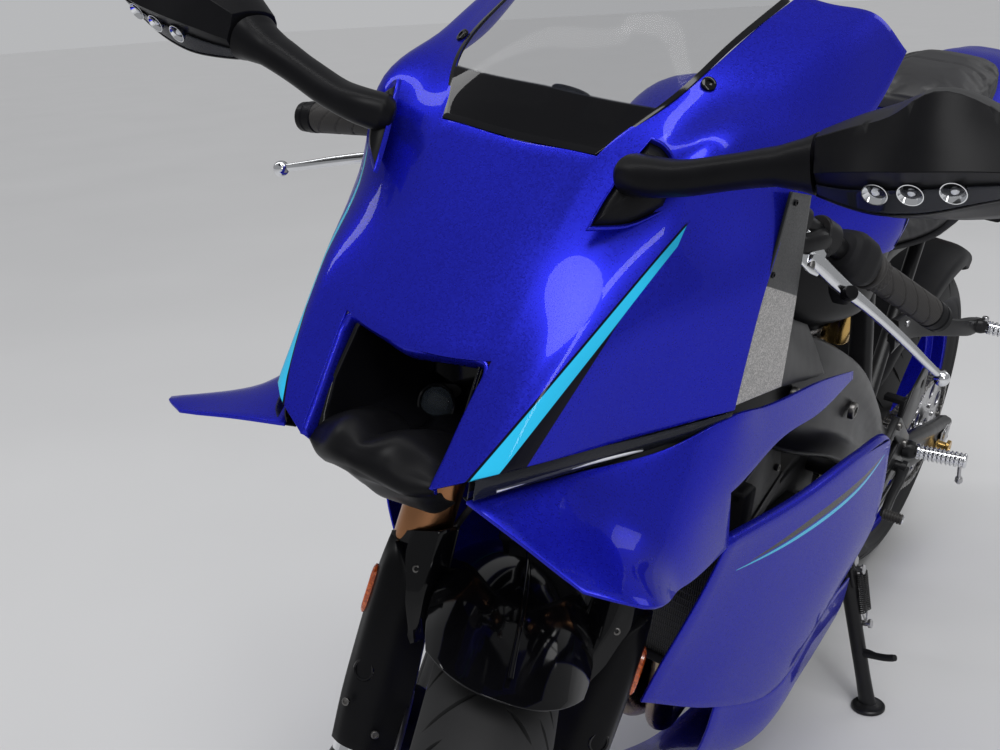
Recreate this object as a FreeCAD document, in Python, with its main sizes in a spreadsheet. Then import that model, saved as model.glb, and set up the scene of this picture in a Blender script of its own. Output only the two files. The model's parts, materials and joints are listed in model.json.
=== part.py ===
"""Sport motorcycle, full size, parked on its side stand with the steering on its left stop.

The machine is drawn upright: x to the rider's left, y to the rear, z up, millimetres, with the
front axle of the straight-ahead machine at y = 0. What turns with the bars is drawn in the
steering frame, and one placement then leans the whole machine onto its stand.
"""
import FreeCAD, Part

import math
import os

import Sketcher
from FreeCAD import Placement, Rotation, Vector

# Driving dimensions: name, millimetres or degrees, meaning.
SIZES = (
    ("WheelBase", 1420, "front axle to rear axle"),
    ("FrontTyreRadius", 300, "front tyre, outside"),
    ("FrontTyreWidth", 120, "front tyre, section width"),
    ("FrontCrown", 62, "front tyre, radius of the tread's arc"),
    ("RearTyreRadius", 317, "rear tyre, outside"),
    ("RearTyreWidth", 180, "rear tyre, section width"),
    ("RearCrown", 94, "rear tyre, radius of the tread's arc"),
    ("BeadRadius", 216, "bead seat of both rims"),
    ("RimWall", 5, "thickness of a rim's barrel"),
    ("FrontRimWidth", 94, "front rim over its flanges"),
    ("RearRimWidth", 146, "rear rim over its flanges"),
    ("RimFlange", 11, "height of a rim's flange over the bead seat"),
    ("TyreWall", 9, "thickness of a tyre's wall"),
    ("BeadGap", 0.25, "running gap from tyre to rim"),
    ("SpokeCount", 5, "pairs of spokes in a wheel"),
    ("SpokeWidth", 15, "width of one spoke at its middle"),
    ("SpokeDepth", 22, "depth of one spoke along the axle"),
    ("FrontHubRadius", 30, "front hub, outside"),
    ("RearHubRadius", 44, "rear hub, outside"),
    ("FrontAxleRadius", 12.5, "front axle, outside"),
    ("FrontAxleReach", 135, "front axle's end from the middle plane"),
    ("RearAxleRadius", 12.5, "rear axle, outside"),
    ("AxleGap", 0.06, "running clearance between an axle and its hub"),
    ("FrontDiscRadius", 160, "front brake disc, outside"),
    ("RearDiscRadius", 110, "rear brake disc, outside"),
    ("DiscBand", 34, "width of a disc's braking band"),
    ("FrontDiscThickness", 4.5, "front disc"),
    ("RearDiscThickness", 5, "rear disc"),
    ("FrontDiscPlane", 66, "front disc, middle from the wheel's middle"),
    ("RearDiscPlane", 74, "rear disc, middle from the wheel's middle"),
    ("RakeAngle", 22.6, "steering axis from the vertical, degrees"),
    ("ForkOffset", 28.4, "front axle ahead of the steering axis"),
    ("SteeringLock", 30, "turn of the steering to each stop, degrees"),
    ("LeanAngle", 11, "lean of the parked machine to its left, degrees"),
    ("ForkSpread", 105, "fork leg from the middle plane"),
    ("ForkOuterRadius", 27, "upper fork tube"),
    ("ForkInnerRadius", 21.5, "lower fork tube"),
    ("ForkLength", 742, "fork leg's top above the axle along the leg"),
    ("ForkSealHeight", 245, "lower end of the upper tube above the axle"),
    ("LowerYokeHeight", 468, "lower yoke's underside above the axle"),
    ("UpperYokeHeight", 660, "upper yoke's underside above the axle"),
    ("YokeThickness", 30, "both yokes"),
    ("StemBore", 9, "radius of the steering stem's bore, for a front lift stand"),
    ("StemRadius", 15, "steering stem, outside"),
    ("HeadTubeRadius", 31, "frame's head tube, outside"),
    ("BearingGap", 0.08, "running clearance of the steering stem and pivots"),
    ("PivotY", 868, "swingarm pivot behind the front axle"),
    ("PivotZ", 398, "swingarm pivot above the floor"),
    ("ArmSpread", 134, "swingarm beam from the middle plane"),
    ("ArmHeight", 74, "swingarm beam, height at the pivot"),
    ("ArmThickness", 26, "swingarm beam, thickness"),
    ("SpoolRadius", 15, "paddock-stand spools' heads, outside"),
    ("SpoolWaist", 9, "paddock-stand spools' waists, outside"),
    ("SpoolHead", 6, "thickness of a paddock-stand spool's head"),
    ("SpoolLength", 24, "paddock-stand spools, from the swingarm's face"),
    ("ChainPitch", 15.875, "drive chain, pitch"),
    ("FrontTeeth", 16, "gearbox sprocket, teeth"),
    ("RearTeeth", 43, "rear sprocket, teeth"),
    ("ChainWidth", 17, "drive chain over its plates"),
    ("ChainHeight", 15, "drive chain, height of a plate"),
    ("ChainPlane", 104, "chain's middle from the middle plane"),
    ("EngineHalfWidth", 160, "crankcase covers from the middle plane"),
    ("PanelWall", 3, "thickness of a moulded panel"),
    ("ScreenWall", 2.5, "thickness of the windscreen"),
    ("SeatHeight", 830, "rider's seat above the floor"),
    ("TankTop", 1016, "fuel tank's top above the floor"),
    ("BarRadius", 11, "clip-on bar tube"),
    ("GripRadius", 16.5, "hand grip, outside"),
    ("GripLength", 124, "hand grip"),
    ("StandLegRadius", 12, "side stand's leg"),
    ("StandPinRadius", 8, "side stand's pivot pin"),
    ("StandFold", 100, "swing of the side stand, degrees"),
    ("PegRadius", 12, "foot pegs"),
    ("PlateWall", 5, "thickness of the number plate's board"),
    ("PlateBolt", 3, "radius of the number plate's two threads"),
)

doc = FreeCAD.newDocument("SportMotorcycle")
sheet = doc.addObject("Spreadsheet::Sheet", "Sheet")
for row, (alias, value, meaning) in enumerate(SIZES, start=1):
    sheet.set(f"A{row}", meaning)
    sheet.set(f"B{row}", str(value))
    sheet.setAlias(f"B{row}", alias)
doc.recompute()


def size(alias):
    """Value of one driving dimension."""
    return float(sheet.get(alias))


RAKE = math.radians(size("RakeAngle"))
AXLE_FRONT = Vector(0, 0, size("FrontTyreRadius"))
AXLE_REAR = Vector(0, size("WheelBase"), size("RearTyreRadius"))
PIVOT = Vector(0, size("PivotY"), size("PivotZ"))
# The steering frame has its origin on the steering axis, beside the front axle.
STEER_ORIGIN = AXLE_FRONT + Vector(0, math.cos(RAKE), -math.sin(RAKE)) * size("ForkOffset")
STEER_UPRIGHT = Placement(STEER_ORIGIN, Rotation(Vector(1, 0, 0), -size("RakeAngle")))
STEER_TURN = Placement(Vector(), Rotation(Vector(0, 0, 1), size("SteeringLock")))
STEERED = STEER_UPRIGHT.multiply(STEER_TURN)
ALONG_X = Rotation(Vector(0, 1, 0), 90)
ALONG_Y = Rotation(Vector(1, 0, 0), -90)


def lowest_of_tyre(place, centre, radius, crown):
    """Height of a placed tyre's lowest point: its tread is an arc swept round a circle."""
    axis = place.Rotation.multVec(Vector(1, 0, 0))
    middle = place.multVec(centre)
    return middle.z - (radius - crown) * math.sqrt(1 - axis.z ** 2) - crown


def parked_placement():
    """Placement that leans the machine and pitches it until both tyres touch the floor."""
    pitch = 0.0
    height = 0.0
    for _ in range(8):
        turn = Rotation(Vector(0, 1, 0), size("LeanAngle")).multiply(Rotation(Vector(1, 0, 0), pitch))
        parked = Placement(Vector(0, 0, height), turn)
        front = lowest_of_tyre(parked.multiply(STEERED), STEERED.inverse().multVec(AXLE_FRONT_STEERED),
                               size("FrontTyreRadius"), size("FrontCrown"))
        rear = lowest_of_tyre(parked, AXLE_REAR, size("RearTyreRadius"), size("RearCrown"))
        pitch += math.degrees((front - rear) / size("WheelBase"))
        height -= rear
    return parked


AXLE_IN_STEERING = Vector(0, -size("ForkOffset"), 0)
AXLE_FRONT_STEERED = STEERED.multVec(AXLE_IN_STEERING)
PARKED = parked_placement()
STEERED_PARKED = PARKED.multiply(STEERED)
SUB_PARTS = []
# Shapes as drawn, on the upright machine or in the steering frame, to fit other pieces against.
DRAWN = {}


def sub_part(made, label, place):
    """Names a finished object as one sub-part and puts it where it stands on the parked machine."""
    made.Label = label
    made.Placement = place.multiply(made.Placement)
    SUB_PARTS.append(made)
    return made


def shaped(label, shape, place):
    """Sub-part whose shape is worked out here from the sheet's sizes."""
    feature = doc.addObject("Part::Feature", label)
    feature.Shape = shape
    DRAWN[label] = shape
    return sub_part(feature, label, place)


def origin_plane(body, role):
    """One of a body's own origin planes or axes."""
    return next(item for item in body.Origin.OriginFeatures if item.Role == role)


def new_sketch(body, name, role):
    """Empty sketch on one of a body's own origin planes."""
    sketch = body.newObject("Sketcher::SketchObject", name)
    sketch.AttachmentSupport = (origin_plane(body, role), "")
    sketch.MapMode = "FlatFace"
    return sketch


def draw_outline(sketch, corners):
    """Closed outline of straight lines, its ends joined by constraints."""
    first = sketch.GeometryCount
    count = len(corners)
    for index, (across, up) in enumerate(corners):
        after = corners[(index + 1) % count]
        sketch.addGeometry(Part.LineSegment(Vector(across, up, 0), Vector(after[0], after[1], 0)))
    for index in range(count):
        joined = first + (index + 1) % count
        sketch.addConstraint(Sketcher.Constraint("Coincident", first + index, 2, joined, 1))


def draw_circle(sketch, radius, across=0.0, up=0.0):
    """Circle whose radius follows an expression on the sheet."""
    index = sketch.addGeometry(Part.Circle(Vector(across, up, 0), Vector(0, 0, 1), 10))
    sketch.addConstraint(Sketcher.Constraint("Radius", index, 10))
    sketch.setExpression(f"Constraints[{sketch.ConstraintCount - 1}]", radius)


def revolved_body(name, outlines, role="XY_Plane", axis="X_Axis"):
    """Body turned about the wheel's axle, x, from outlines of (x, radius) corners."""
    body = doc.addObject("PartDesign::Body", name)
    sketch = new_sketch(body, name + "Section", role)
    for corners in outlines:
        draw_outline(sketch, corners)
    turned = body.newObject("PartDesign::Revolution", name + "Turned")
    turned.Profile = sketch
    turned.ReferenceAxis = (origin_plane(body, axis), [""])
    turned.Angle = 360
    return body


def pad_on(body, name, sketch, length, middle=True):
    """Pad of a sketch, its length an expression on the sheet."""
    pad = body.newObject("PartDesign::Pad", name)
    pad.Profile = sketch
    pad.setExpression("Length", length)
    if middle:
        pad.SideType = "Symmetric"
    return pad


def polar(body, name, originals, count, axis="X_Axis"):
    """Polar pattern about one of the body's origin axes."""
    pattern = body.newObject("PartDesign::PolarPattern", name)
    pattern.Originals = originals
    pattern.Axis = (origin_plane(body, axis), [""])
    pattern.Angle = 360
    pattern.setExpression("Occurrences", count)
    body.Tip = pattern
    return pattern


def rod(start, end, radius):
    """Round bar between two points."""
    along = end - start
    return Part.makeCylinder(radius, along.Length, start, along)


def tube(start, end, radius, bore):
    """Round tube between two points."""
    return rod(start, end, radius).cut(rod(start, end, bore))


def path_wire(points, bend):
    """Wire of straight runs through the points, joined by tangent arcs of radius bend."""
    edges = []
    last = points[0]
    for before, corner, after in zip(points, points[1:], points[2:]):
        into = (corner - before).normalize()
        out = (after - corner).normalize()
        turn = into.getAngle(out)
        reach = bend * math.tan(turn / 2)
        start = corner - into * reach
        end = corner + out * reach
        toward = (out - into).normalize()
        middle = corner + toward * (bend / math.cos(turn / 2) - bend)
        edges.append(Part.LineSegment(last, start).toShape())
        edges.append(Part.Arc(start, middle, end).toShape())
        last = end
    edges.append(Part.LineSegment(last, points[-1]).toShape())
    return Part.Wire(edges)


def bent_rod(points, radius, bend):
    """Round bar along straight runs and tangent arcs."""
    wire = path_wire(points, bend)
    circle = Part.Wire(Part.Circle(points[0], points[1] - points[0], radius).toShape())
    return wire.makePipeShell([circle], True, False)


def polygon(points):
    """Closed wire of straight lines."""
    return Part.makePolygon(list(points) + [points[0]])


def plate(points, thickness_vector):
    """Flat plate from a closed outline."""
    return Part.Face(polygon(points)).extrude(thickness_vector)


def loft(wires, ruled=True):
    """Solid through closed wires."""
    return Part.makeLoft(wires, True, ruled)


def fitted(shape, *labels):
    """A shape cut back where it meets finished pieces, so that their faces touch."""
    return largest(shape.cut([DRAWN[label] for label in labels]))


def largest(shape):
    """Biggest solid of a shape."""
    return max(shape.Solids, key=lambda solid: solid.Volume)


def fitted_pair(shape, *labels):
    """A piece of the left side fitted as above, with its copy on the right."""
    return both_sides(fitted(shape, *labels))


def stay(panel, start, toward, radius):
    """Round stay from a point inside the machine out to the middle of a panel's wall."""
    line = Part.LineSegment(start, toward).toShape().common(panel)
    if not line.Edges:
        raise RuntimeError(f"no panel between {start} and {toward}")
    return rod(start, line.Edges[0].CenterOfMass, radius)


def mirrored(shape):
    """Other side's copy of a shape."""
    return shape.mirror(Vector(0, 0, 0), Vector(1, 0, 0))


def both_sides(shape):
    """A shape and its copy on the other side, as one compound."""
    return Part.makeCompound([shape, mirrored(shape)])


def between(before, start, end, after, share):
    """Point on a smooth curve from start to end, drawn by the points on either side of them."""
    ahead = (end - before) * 0.5
    behind = (after - start) * 0.5
    square = share * share
    cube = square * share
    return (start * (2 * cube - 3 * square + 1) + ahead * (cube - 2 * square + share)
            + end * (3 * square - 2 * cube) + behind * (cube - square))


def smoothed_line(points, steps):
    """Line of points, some missing, with steps spans between each two neighbours."""
    line = []
    last = len(points) - 1
    for index in range(last):
        start, end = points[index], points[index + 1]
        if start is None or end is None:
            line += [start] + [None] * (steps - 1)
            continue
        before = points[index - 1] if index > 0 and points[index - 1] else start * 2 - end
        after = points[index + 2] if index < last - 1 and points[index + 2] else end * 2 - start
        line += [between(before, start, end, after, step / steps) for step in range(steps)]
    return line + [points[last]]


def smoothed(rows, steps):
    """Grid of points made finer in both directions."""
    wide = [smoothed_line(row, steps) for row in rows]
    columns = [smoothed_line(list(column), steps) for column in zip(*wide)]
    return [list(row) for row in zip(*columns)]


def moulding(grids, wall, steps=2, whole=False):
    """Thin moulded panel of even wall from grids of outer points; whole adds the other side.

    Rows run up or back and their points run outward, so that the outer face looks out.
    """
    quads = []
    for grid in grids:
        rows = smoothed([[Vector(*p) if p else None for p in row] for row in grid], steps)
        for low, high in zip(rows, rows[1:]):
            for j in range(len(low) - 1):
                corners = (low[j], low[j + 1], high[j + 1], high[j])
                if all(corner is not None for corner in corners):
                    quads.append(corners)
    if whole:
        quads += [tuple(Vector(-p.x, p.y, p.z) for p in (a, d, c, b)) for a, b, c, d in list(quads)]

    def key(point):
        return round(point.x, 2) + 0.0, round(point.y, 2) + 0.0, round(point.z, 2) + 0.0

    normals = {}
    outer = {}
    for a, b, c, d in quads:
        normal = (c - a).cross(d - b)
        for corner in (a, b, c, d):
            outer[key(corner)] = corner
            normals[key(corner)] = normals.get(key(corner), Vector()) + normal
    inner = {name: point - Vector(normals[name]).normalize() * wall for name, point in outer.items()}
    edges = set()
    triangles = []
    for quad in quads:
        names = [key(corner) for corner in quad]
        edges.update(zip(names, names[1:] + names[:1]))
        a, b, c, d = names
        triangles += [(outer[a], outer[b], outer[c]), (outer[a], outer[c], outer[d]),
                      (inner[a], inner[c], inner[b]), (inner[a], inner[d], inner[c])]
    for a, b in edges:
        if (b, a) not in edges:
            triangles += [(outer[b], outer[a], inner[a]), (outer[b], inner[a], inner[b])]
    shell = Part.Shell([Part.Face(polygon(corners)) for corners in triangles])
    return Part.Solid(shell)


def arch(y, half, bottom, shoulder, top):
    """Cross-section of a tank or tail: flat bottom, straight sides, one arc over the top."""
    low_left = Vector(half, y, bottom)
    low_right = Vector(-half, y, bottom)
    high_left = Vector(half, y, shoulder)
    high_right = Vector(-half, y, shoulder)
    crown = Part.Arc(high_right, Vector(0, y, top), high_left).toShape()
    straight = [Part.LineSegment(high_left, low_left).toShape(),
                Part.LineSegment(low_left, low_right).toShape(),
                Part.LineSegment(low_right, high_right).toShape()]
    return Part.Wire([crown] + straight)


def make_tyre(label, radius, width, crown, rim_width, place):
    """Tyre: the tread's arc, two walls and two beads, hollow and open to the rim."""
    bead = size("BeadRadius") + size("BeadGap")
    half = width / 2
    reach = math.asin(half / crown) if half < crown else math.pi / 2
    shoulder = radius - crown * (1 - math.cos(reach))
    wall = size("TyreWall")
    foot = rim_width / 2 - size("RimWall") - size("BeadGap")

    def turned(across, height):
        return Vector(across, height, 0)

    inner_crown = crown - wall
    inner_half = inner_crown * math.sin(reach)
    inner_shoulder = radius - crown + inner_crown * math.cos(reach)
    edges = [
        Part.Arc(turned(-half, shoulder), turned(0, radius), turned(half, shoulder)).toShape(),
        Part.LineSegment(turned(half, shoulder), turned(foot, bead + size("RimFlange"))).toShape(),
        Part.LineSegment(turned(foot, bead + size("RimFlange")), turned(foot, bead)).toShape(),
        Part.LineSegment(turned(foot, bead), turned(foot - wall, bead)).toShape(),
        Part.LineSegment(turned(foot - wall, bead), turned(inner_half, inner_shoulder)).toShape(),
        Part.Arc(turned(inner_half, inner_shoulder), turned(0, radius - wall),
                 turned(-inner_half, inner_shoulder)).toShape(),
        Part.LineSegment(turned(-inner_half, inner_shoulder), turned(wall - foot, bead)).toShape(),
        Part.LineSegment(turned(wall - foot, bead), turned(-foot, bead)).toShape(),
        Part.LineSegment(turned(-foot, bead), turned(-foot, bead + size("RimFlange"))).toShape(),
        Part.LineSegment(turned(-foot, bead + size("RimFlange")), turned(-half, shoulder)).toShape(),
    ]
    section = Part.Face(Part.Wire(edges))
    return shaped(label, section.revolve(Vector(), Vector(1, 0, 0), 360), place)


def make_rim(label, width_name, hub_name, hub_half, axle_name, place):
    """Cast wheel: barrel with flanges and a drop centre, bored hub, pairs of thin spokes."""
    bead = size("BeadRadius")
    wall = size("RimWall")
    half = size(width_name) / 2
    flange = bead + size("RimFlange")
    drop = bead - 16
    well = half - 26
    hub = size(hub_name)
    bore = size(axle_name) + size("AxleGap")
    barrel = [(-half, flange), (-half + wall, flange), (-half + wall, bead), (-well, bead),
              (-well + 8, drop), (well - 8, drop), (well, bead), (half - wall, bead),
              (half - wall, flange), (half, flange), (half, bead - wall), (well + 3, bead - wall),
              (well - 5, drop - wall), (5 - well, drop - wall), (-well - 3, bead - wall),
              (-half, bead - wall)]
    core = [(-hub_half, bore), (hub_half, bore), (hub_half, hub), (-hub_half, hub)]
    body = revolved_body(label, [barrel, core])
    sketch = new_sketch(body, label + "SpokePair", "YZ_Plane")
    gap_angle = math.radians(9)
    spread = math.radians(15)
    end = drop - wall + 1
    half_spoke = size("SpokeWidth") / 2
    for side in (1, -1):
        root = (math.sin(gap_angle) * side * hub * 0.9, math.cos(gap_angle) * hub * 0.9)
        tip = (math.sin(spread) * side * end, math.cos(spread) * end)
        run = math.hypot(tip[0] - root[0], tip[1] - root[1])
        normal = ((tip[1] - root[1]) / run, -(tip[0] - root[0]) / run)
        corners = [(root[0] - normal[0] * half_spoke * 1.25, root[1] - normal[1] * half_spoke * 1.25),
                   (tip[0] - normal[0] * half_spoke * 0.8, tip[1] - normal[1] * half_spoke * 0.8),
                   (tip[0] + normal[0] * half_spoke * 0.8, tip[1] + normal[1] * half_spoke * 0.8),
                   (root[0] + normal[0] * half_spoke * 1.25, root[1] + normal[1] * half_spoke * 1.25)]
        draw_outline(sketch, corners)
    pad = pad_on(body, label + "Spokes", sketch, "Sheet.SpokeDepth")
    doc.recompute()
    polar(body, label + "SpokeRing", [pad], "Sheet.SpokeCount")
    return sub_part(body, label, place)


def disc_body(name, radius_name, thickness_name, holes, inner_radius):
    """Brake disc: braking band with rows of round holes, joined to its carrier by five arms."""
    body = doc.addObject("PartDesign::Body", name)
    sketch = new_sketch(body, name + "Band", "YZ_Plane")
    draw_circle(sketch, "Sheet." + radius_name)
    draw_circle(sketch, f"Sheet.{radius_name} - Sheet.DiscBand")
    band = pad_on(body, name + "BandPad", sketch, "Sheet." + thickness_name)
    middle = size(radius_name) - size("DiscBand") / 2
    hole_sketch = new_sketch(body, name + "Holes", "YZ_Plane")
    draw_circle(hole_sketch, "4 mm", middle + 7, 0)
    turned = math.radians(180 / holes)
    draw_circle(hole_sketch, "4 mm", (middle - 7) * math.cos(turned), (middle - 7) * math.sin(turned))
    doc.recompute()
    pocket = body.newObject("PartDesign::Pocket", name + "HolePair")
    pocket.Profile = hole_sketch
    pocket.Type = "ThroughAll"
    pocket.SideType = "Symmetric"
    doc.recompute()
    polar(body, name + "HoleRing", [pocket], str(holes))
    doc.recompute()
    carrier = new_sketch(body, name + "Carrier", "YZ_Plane")
    draw_circle(carrier, f"{inner_radius + 9} mm")
    draw_circle(carrier, f"{inner_radius} mm")
    pad_on(body, name + "CarrierPad", carrier, "Sheet." + thickness_name)
    arm = new_sketch(body, name + "Arm", "YZ_Plane")
    outer = size(radius_name) - size("DiscBand") + 3
    draw_outline(arm, [(-9, inner_radius + 5), (9, inner_radius + 5), (6, outer), (-6, outer)])
    arm_pad = pad_on(body, name + "ArmPad", arm, "Sheet." + thickness_name)
    doc.recompute()
    polar(body, name + "ArmRing", [arm_pad], "Sheet.SpokeCount")
    return body


def make_wheels():
    """Front and rear wheel, each with its tyre and discs; the rear one with its sprocket."""
    front = STEERED_PARKED.multiply(Placement(AXLE_IN_STEERING, Rotation()))
    rear = PARKED.multiply(Placement(AXLE_REAR, Rotation()))
    make_tyre("front_tyre", size("FrontTyreRadius"), size("FrontTyreWidth"), size("FrontCrown"),
              size("FrontRimWidth"), front)
    make_tyre("rear_tyre", size("RearTyreRadius"), size("RearTyreWidth"), size("RearCrown"),
              size("RearRimWidth"), rear)
    disc_seat = size("FrontDiscPlane") - size("FrontDiscThickness") / 2
    make_rim("front_rim", "FrontRimWidth", "FrontHubRadius", disc_seat, "FrontAxleRadius", front)
    rear_seat = size("RearDiscPlane") - size("RearDiscThickness") / 2
    make_rim("rear_rim", "RearRimWidth", "RearHubRadius", rear_seat, "RearAxleRadius", rear)
    discs = []
    for side in (1, -1):
        disc = disc_body(f"FrontDisc{'Left' if side > 0 else 'Right'}", "FrontDiscRadius",
                         "FrontDiscThickness", 24, size("FrontAxleRadius") + 6)
        disc.Placement = Placement(Vector(side * size("FrontDiscPlane"), 0, 0), Rotation())
        discs.append(disc)
    pair = doc.addObject("Part::Compound", "FrontDiscs")
    pair.Links = discs
    sub_part(pair, "front_discs", front)
    rear_disc = disc_body("RearDisc", "RearDiscRadius", "RearDiscThickness", 18,
                          size("RearAxleRadius") + 6)
    rear_disc.Placement = Placement(Vector(-size("RearDiscPlane"), 0, 0), Rotation())
    sub_part(rear_disc, "rear_disc", rear)
    make_sprocket(rear)


def sprocket_outline(teeth, tooth_depth):
    """Corners of a toothed wheel: each tooth a short flat tip between two flanks."""
    pitch_radius = size("ChainPitch") / 2 / math.sin(math.pi / teeth)
    root = pitch_radius - tooth_depth * 0.6
    tip = pitch_radius + tooth_depth * 0.4
    corners = []
    step = 2 * math.pi / teeth
    for tooth in range(teeth):
        for share, radius in ((-0.3, root), (-0.12, tip), (0.12, tip), (0.3, root)):
            angle = (tooth + share) * step
            corners.append((radius * math.cos(angle), radius * math.sin(angle)))
    return corners


def make_sprocket(place):
    """Rear sprocket, bolted to the left of the rear hub."""
    body = doc.addObject("PartDesign::Body", "RearSprocket")
    sketch = new_sketch(body, "SprocketTeeth", "YZ_Plane")
    draw_outline(sketch, sprocket_outline(int(size("RearTeeth")), 8))
    draw_circle(sketch, "Sheet.RearAxleRadius + 6")
    pad_on(body, "SprocketPad", sketch, "6 mm")
    doc.recompute()
    window = new_sketch(body, "SprocketWindow", "YZ_Plane")
    draw_circle(window, "17 mm", 76, 0)
    pocket = body.newObject("PartDesign::Pocket", "SprocketWindowCut")
    pocket.Profile = window
    pocket.Type = "ThroughAll"
    pocket.SideType = "Symmetric"
    doc.recompute()
    polar(body, "SprocketWindows", [pocket], "Sheet.SpokeCount + 1")
    body.Placement = Placement(Vector(size("ChainPlane"), 0, 0), Rotation())
    sub_part(body, "rear_sprocket", place)


def fork_leg(side, low, high, radius):
    """Round piece of one fork leg between two heights above the axle."""
    x = side * size("ForkSpread")
    y = -size("ForkOffset")
    return rod(Vector(x, y, low), Vector(x, y, high), radius)


def make_fork():
    """Upper and lower fork tubes, axle clamps, yokes with the stem, front axle."""
    seal = size("ForkSealHeight")
    gold = []
    lower = []
    for side in (1, -1):
        top = fork_leg(side, seal, size("ForkLength"), size("ForkOuterRadius"))
        inner_bore = fork_leg(side, seal, seal + 120, size("ForkInnerRadius"))
        gold.append(top.cut(inner_bore))
        slider = fork_leg(side, 0, seal + 120, size("ForkInnerRadius"))
        x = side * size("ForkSpread")
        y = -size("ForkOffset")
        clamp = plate([Vector(x - side * 24, y - 30, -30), Vector(x - side * 24, y + 26, -30),
                       Vector(x - side * 24, y + 30, 30), Vector(x - side * 24, y + 24, 92),
                       Vector(x - side * 24, y - 24, 92), Vector(x - side * 24, y - 34, 20)],
                      Vector(side * 48, 0, 0))
        caliper_lug = plate([Vector(x - side * 20, y + across, up) for across, up in (
            (20, 4), (118, 36), (128, 62), (98, 100), (20, 84))], Vector(side * 14, 0, 0))
        foot = slider.fuse([clamp, caliper_lug]).removeSplitter()
        bore = rod(Vector(x - 60, y, 0), Vector(x + 60, y, 0), size("FrontAxleRadius"))
        lower.append(foot.cut(bore))
    shaped("fork_upper_tubes", Part.makeCompound(gold), STEERED_PARKED)
    shaped("fork_lower_legs", Part.makeCompound(lower), STEERED_PARKED)
    axle = doc.addObject("Part::Cylinder", "FrontAxle")
    axle.setExpression("Radius", "Sheet.FrontAxleRadius")
    axle.setExpression("Height", "Sheet.FrontAxleReach * 2")
    axle.Placement = Placement(Vector(-size("FrontAxleReach"), -size("ForkOffset"), 0), ALONG_X)
    sub_part(axle, "front_axle", STEERED_PARKED)


def yoke_shape(height, arm_front, stem_radius):
    """One fork yoke: a plate with two clamps round the legs and a boss on the steering axis."""
    spread = size("ForkSpread")
    y = -size("ForkOffset")
    thick = size("YokeThickness")
    clamp = size("ForkOuterRadius") + 9
    bar = plate([Vector(-spread, y - 16, height), Vector(0, y - arm_front, height),
                 Vector(spread, y - 16, height), Vector(spread, y + 18, height),
                 Vector(36, 30, height), Vector(-36, 30, height), Vector(-spread, y + 18, height)],
                Vector(0, 0, thick))
    solids = [fork_ring(side, height, clamp) for side in (1, -1)]
    boss = rod(Vector(0, 0, height), Vector(0, 0, height + thick), size("HeadTubeRadius") + 3)
    whole = bar.fuse(solids + [boss])
    for side in (1, -1):
        whole = whole.cut(fork_leg(side, height - 1, height + thick + 1, size("ForkOuterRadius")))
    return whole.cut(rod(Vector(0, 0, height - 1), Vector(0, 0, height + thick + 1), stem_radius))


def fork_ring(side, height, radius):
    """Clamp boss of a yoke round one leg."""
    return fork_leg(side, height, height + size("YokeThickness"), radius)


def make_yokes():
    """Upper yoke, and lower yoke with the hollow stem pressed into it."""
    low = size("LowerYokeHeight")
    high = size("UpperYokeHeight")
    thick = size("YokeThickness")
    shaped("upper_yoke", yoke_shape(high, 10, size("StemRadius")), STEERED_PARKED)
    lower = yoke_shape(low, 22, size("StemBore"))
    stem = tube(Vector(0, 0, low), Vector(0, 0, high + thick + 12), size("StemRadius"),
                size("StemBore"))
    nut = tube(Vector(0, 0, high + thick), Vector(0, 0, high + thick + 12), 21,
               size("StemRadius") - 1)
    shaped("lower_yoke", lower.fuse([stem, nut]).removeSplitter(), STEERED_PARKED)


# The clip-on bars in the steering frame: the outer end, the sweep back and the droop.
BAR_END = Vector(358, 112, 685)
BAR_SWEEP = math.radians(36)
BAR_DROOP = math.radians(7.5)
BAR_ALONG = Vector(math.cos(BAR_DROOP) * math.cos(BAR_SWEEP), math.cos(BAR_DROOP) * math.sin(BAR_SWEEP),
                   -math.sin(BAR_DROOP))
LEVER_BALL = Vector(346, 19, 628)
LEVER_PIVOT = Vector(203, -30, 705)


def on_bar(distance):
    """Point on the left bar's axis, a distance in from its outer end."""
    return BAR_END - BAR_ALONG * distance


def make_bars():
    """Clip-on clamps with their bars, grips, switch housings and levers, both sides."""
    clamp_height = on_bar(300).z - 12
    radius = size("BarRadius")
    bar = rod(on_bar(308), on_bar(4), radius)
    clamp = fork_leg(1, clamp_height - 12, clamp_height + 26, size("ForkOuterRadius") + 8)
    bridge = rod(on_bar(318), on_bar(262), 17)
    whole = bar.fuse([clamp, bridge])
    whole = whole.cut(fork_leg(1, clamp_height - 40, clamp_height + 60, size("ForkOuterRadius")))
    shaped("clip_on_bars", both_sides(whole), STEERED_PARKED)

    grip_end = on_bar(12)
    grip = tube(on_bar(12 + size("GripLength")), grip_end, size("GripRadius"), radius)
    flange = tube(on_bar(12 + size("GripLength") + 6), on_bar(12 + size("GripLength")), 22, radius)
    shaped("hand_grips", both_sides(grip.fuse(flange)), STEERED_PARKED)

    cap = tube(on_bar(12), on_bar(0), 17, radius).fuse(rod(on_bar(4), on_bar(-24), 15.5))
    housing = tube(on_bar(192), on_bar(12 + size("GripLength") + 7), 23, radius)
    perch = rod(on_bar(212), LEVER_PIVOT, 9).fuse(tube(on_bar(222), on_bar(192), 18, radius))
    perch = perch.cut(rod(on_bar(250), on_bar(150), radius))
    left = perch.fuse(housing)
    shaped("switch_housings", Part.makeCompound([left, mirrored(left), cap, mirrored(cap)]),
           STEERED_PARKED)
    make_levers(left)


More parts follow.
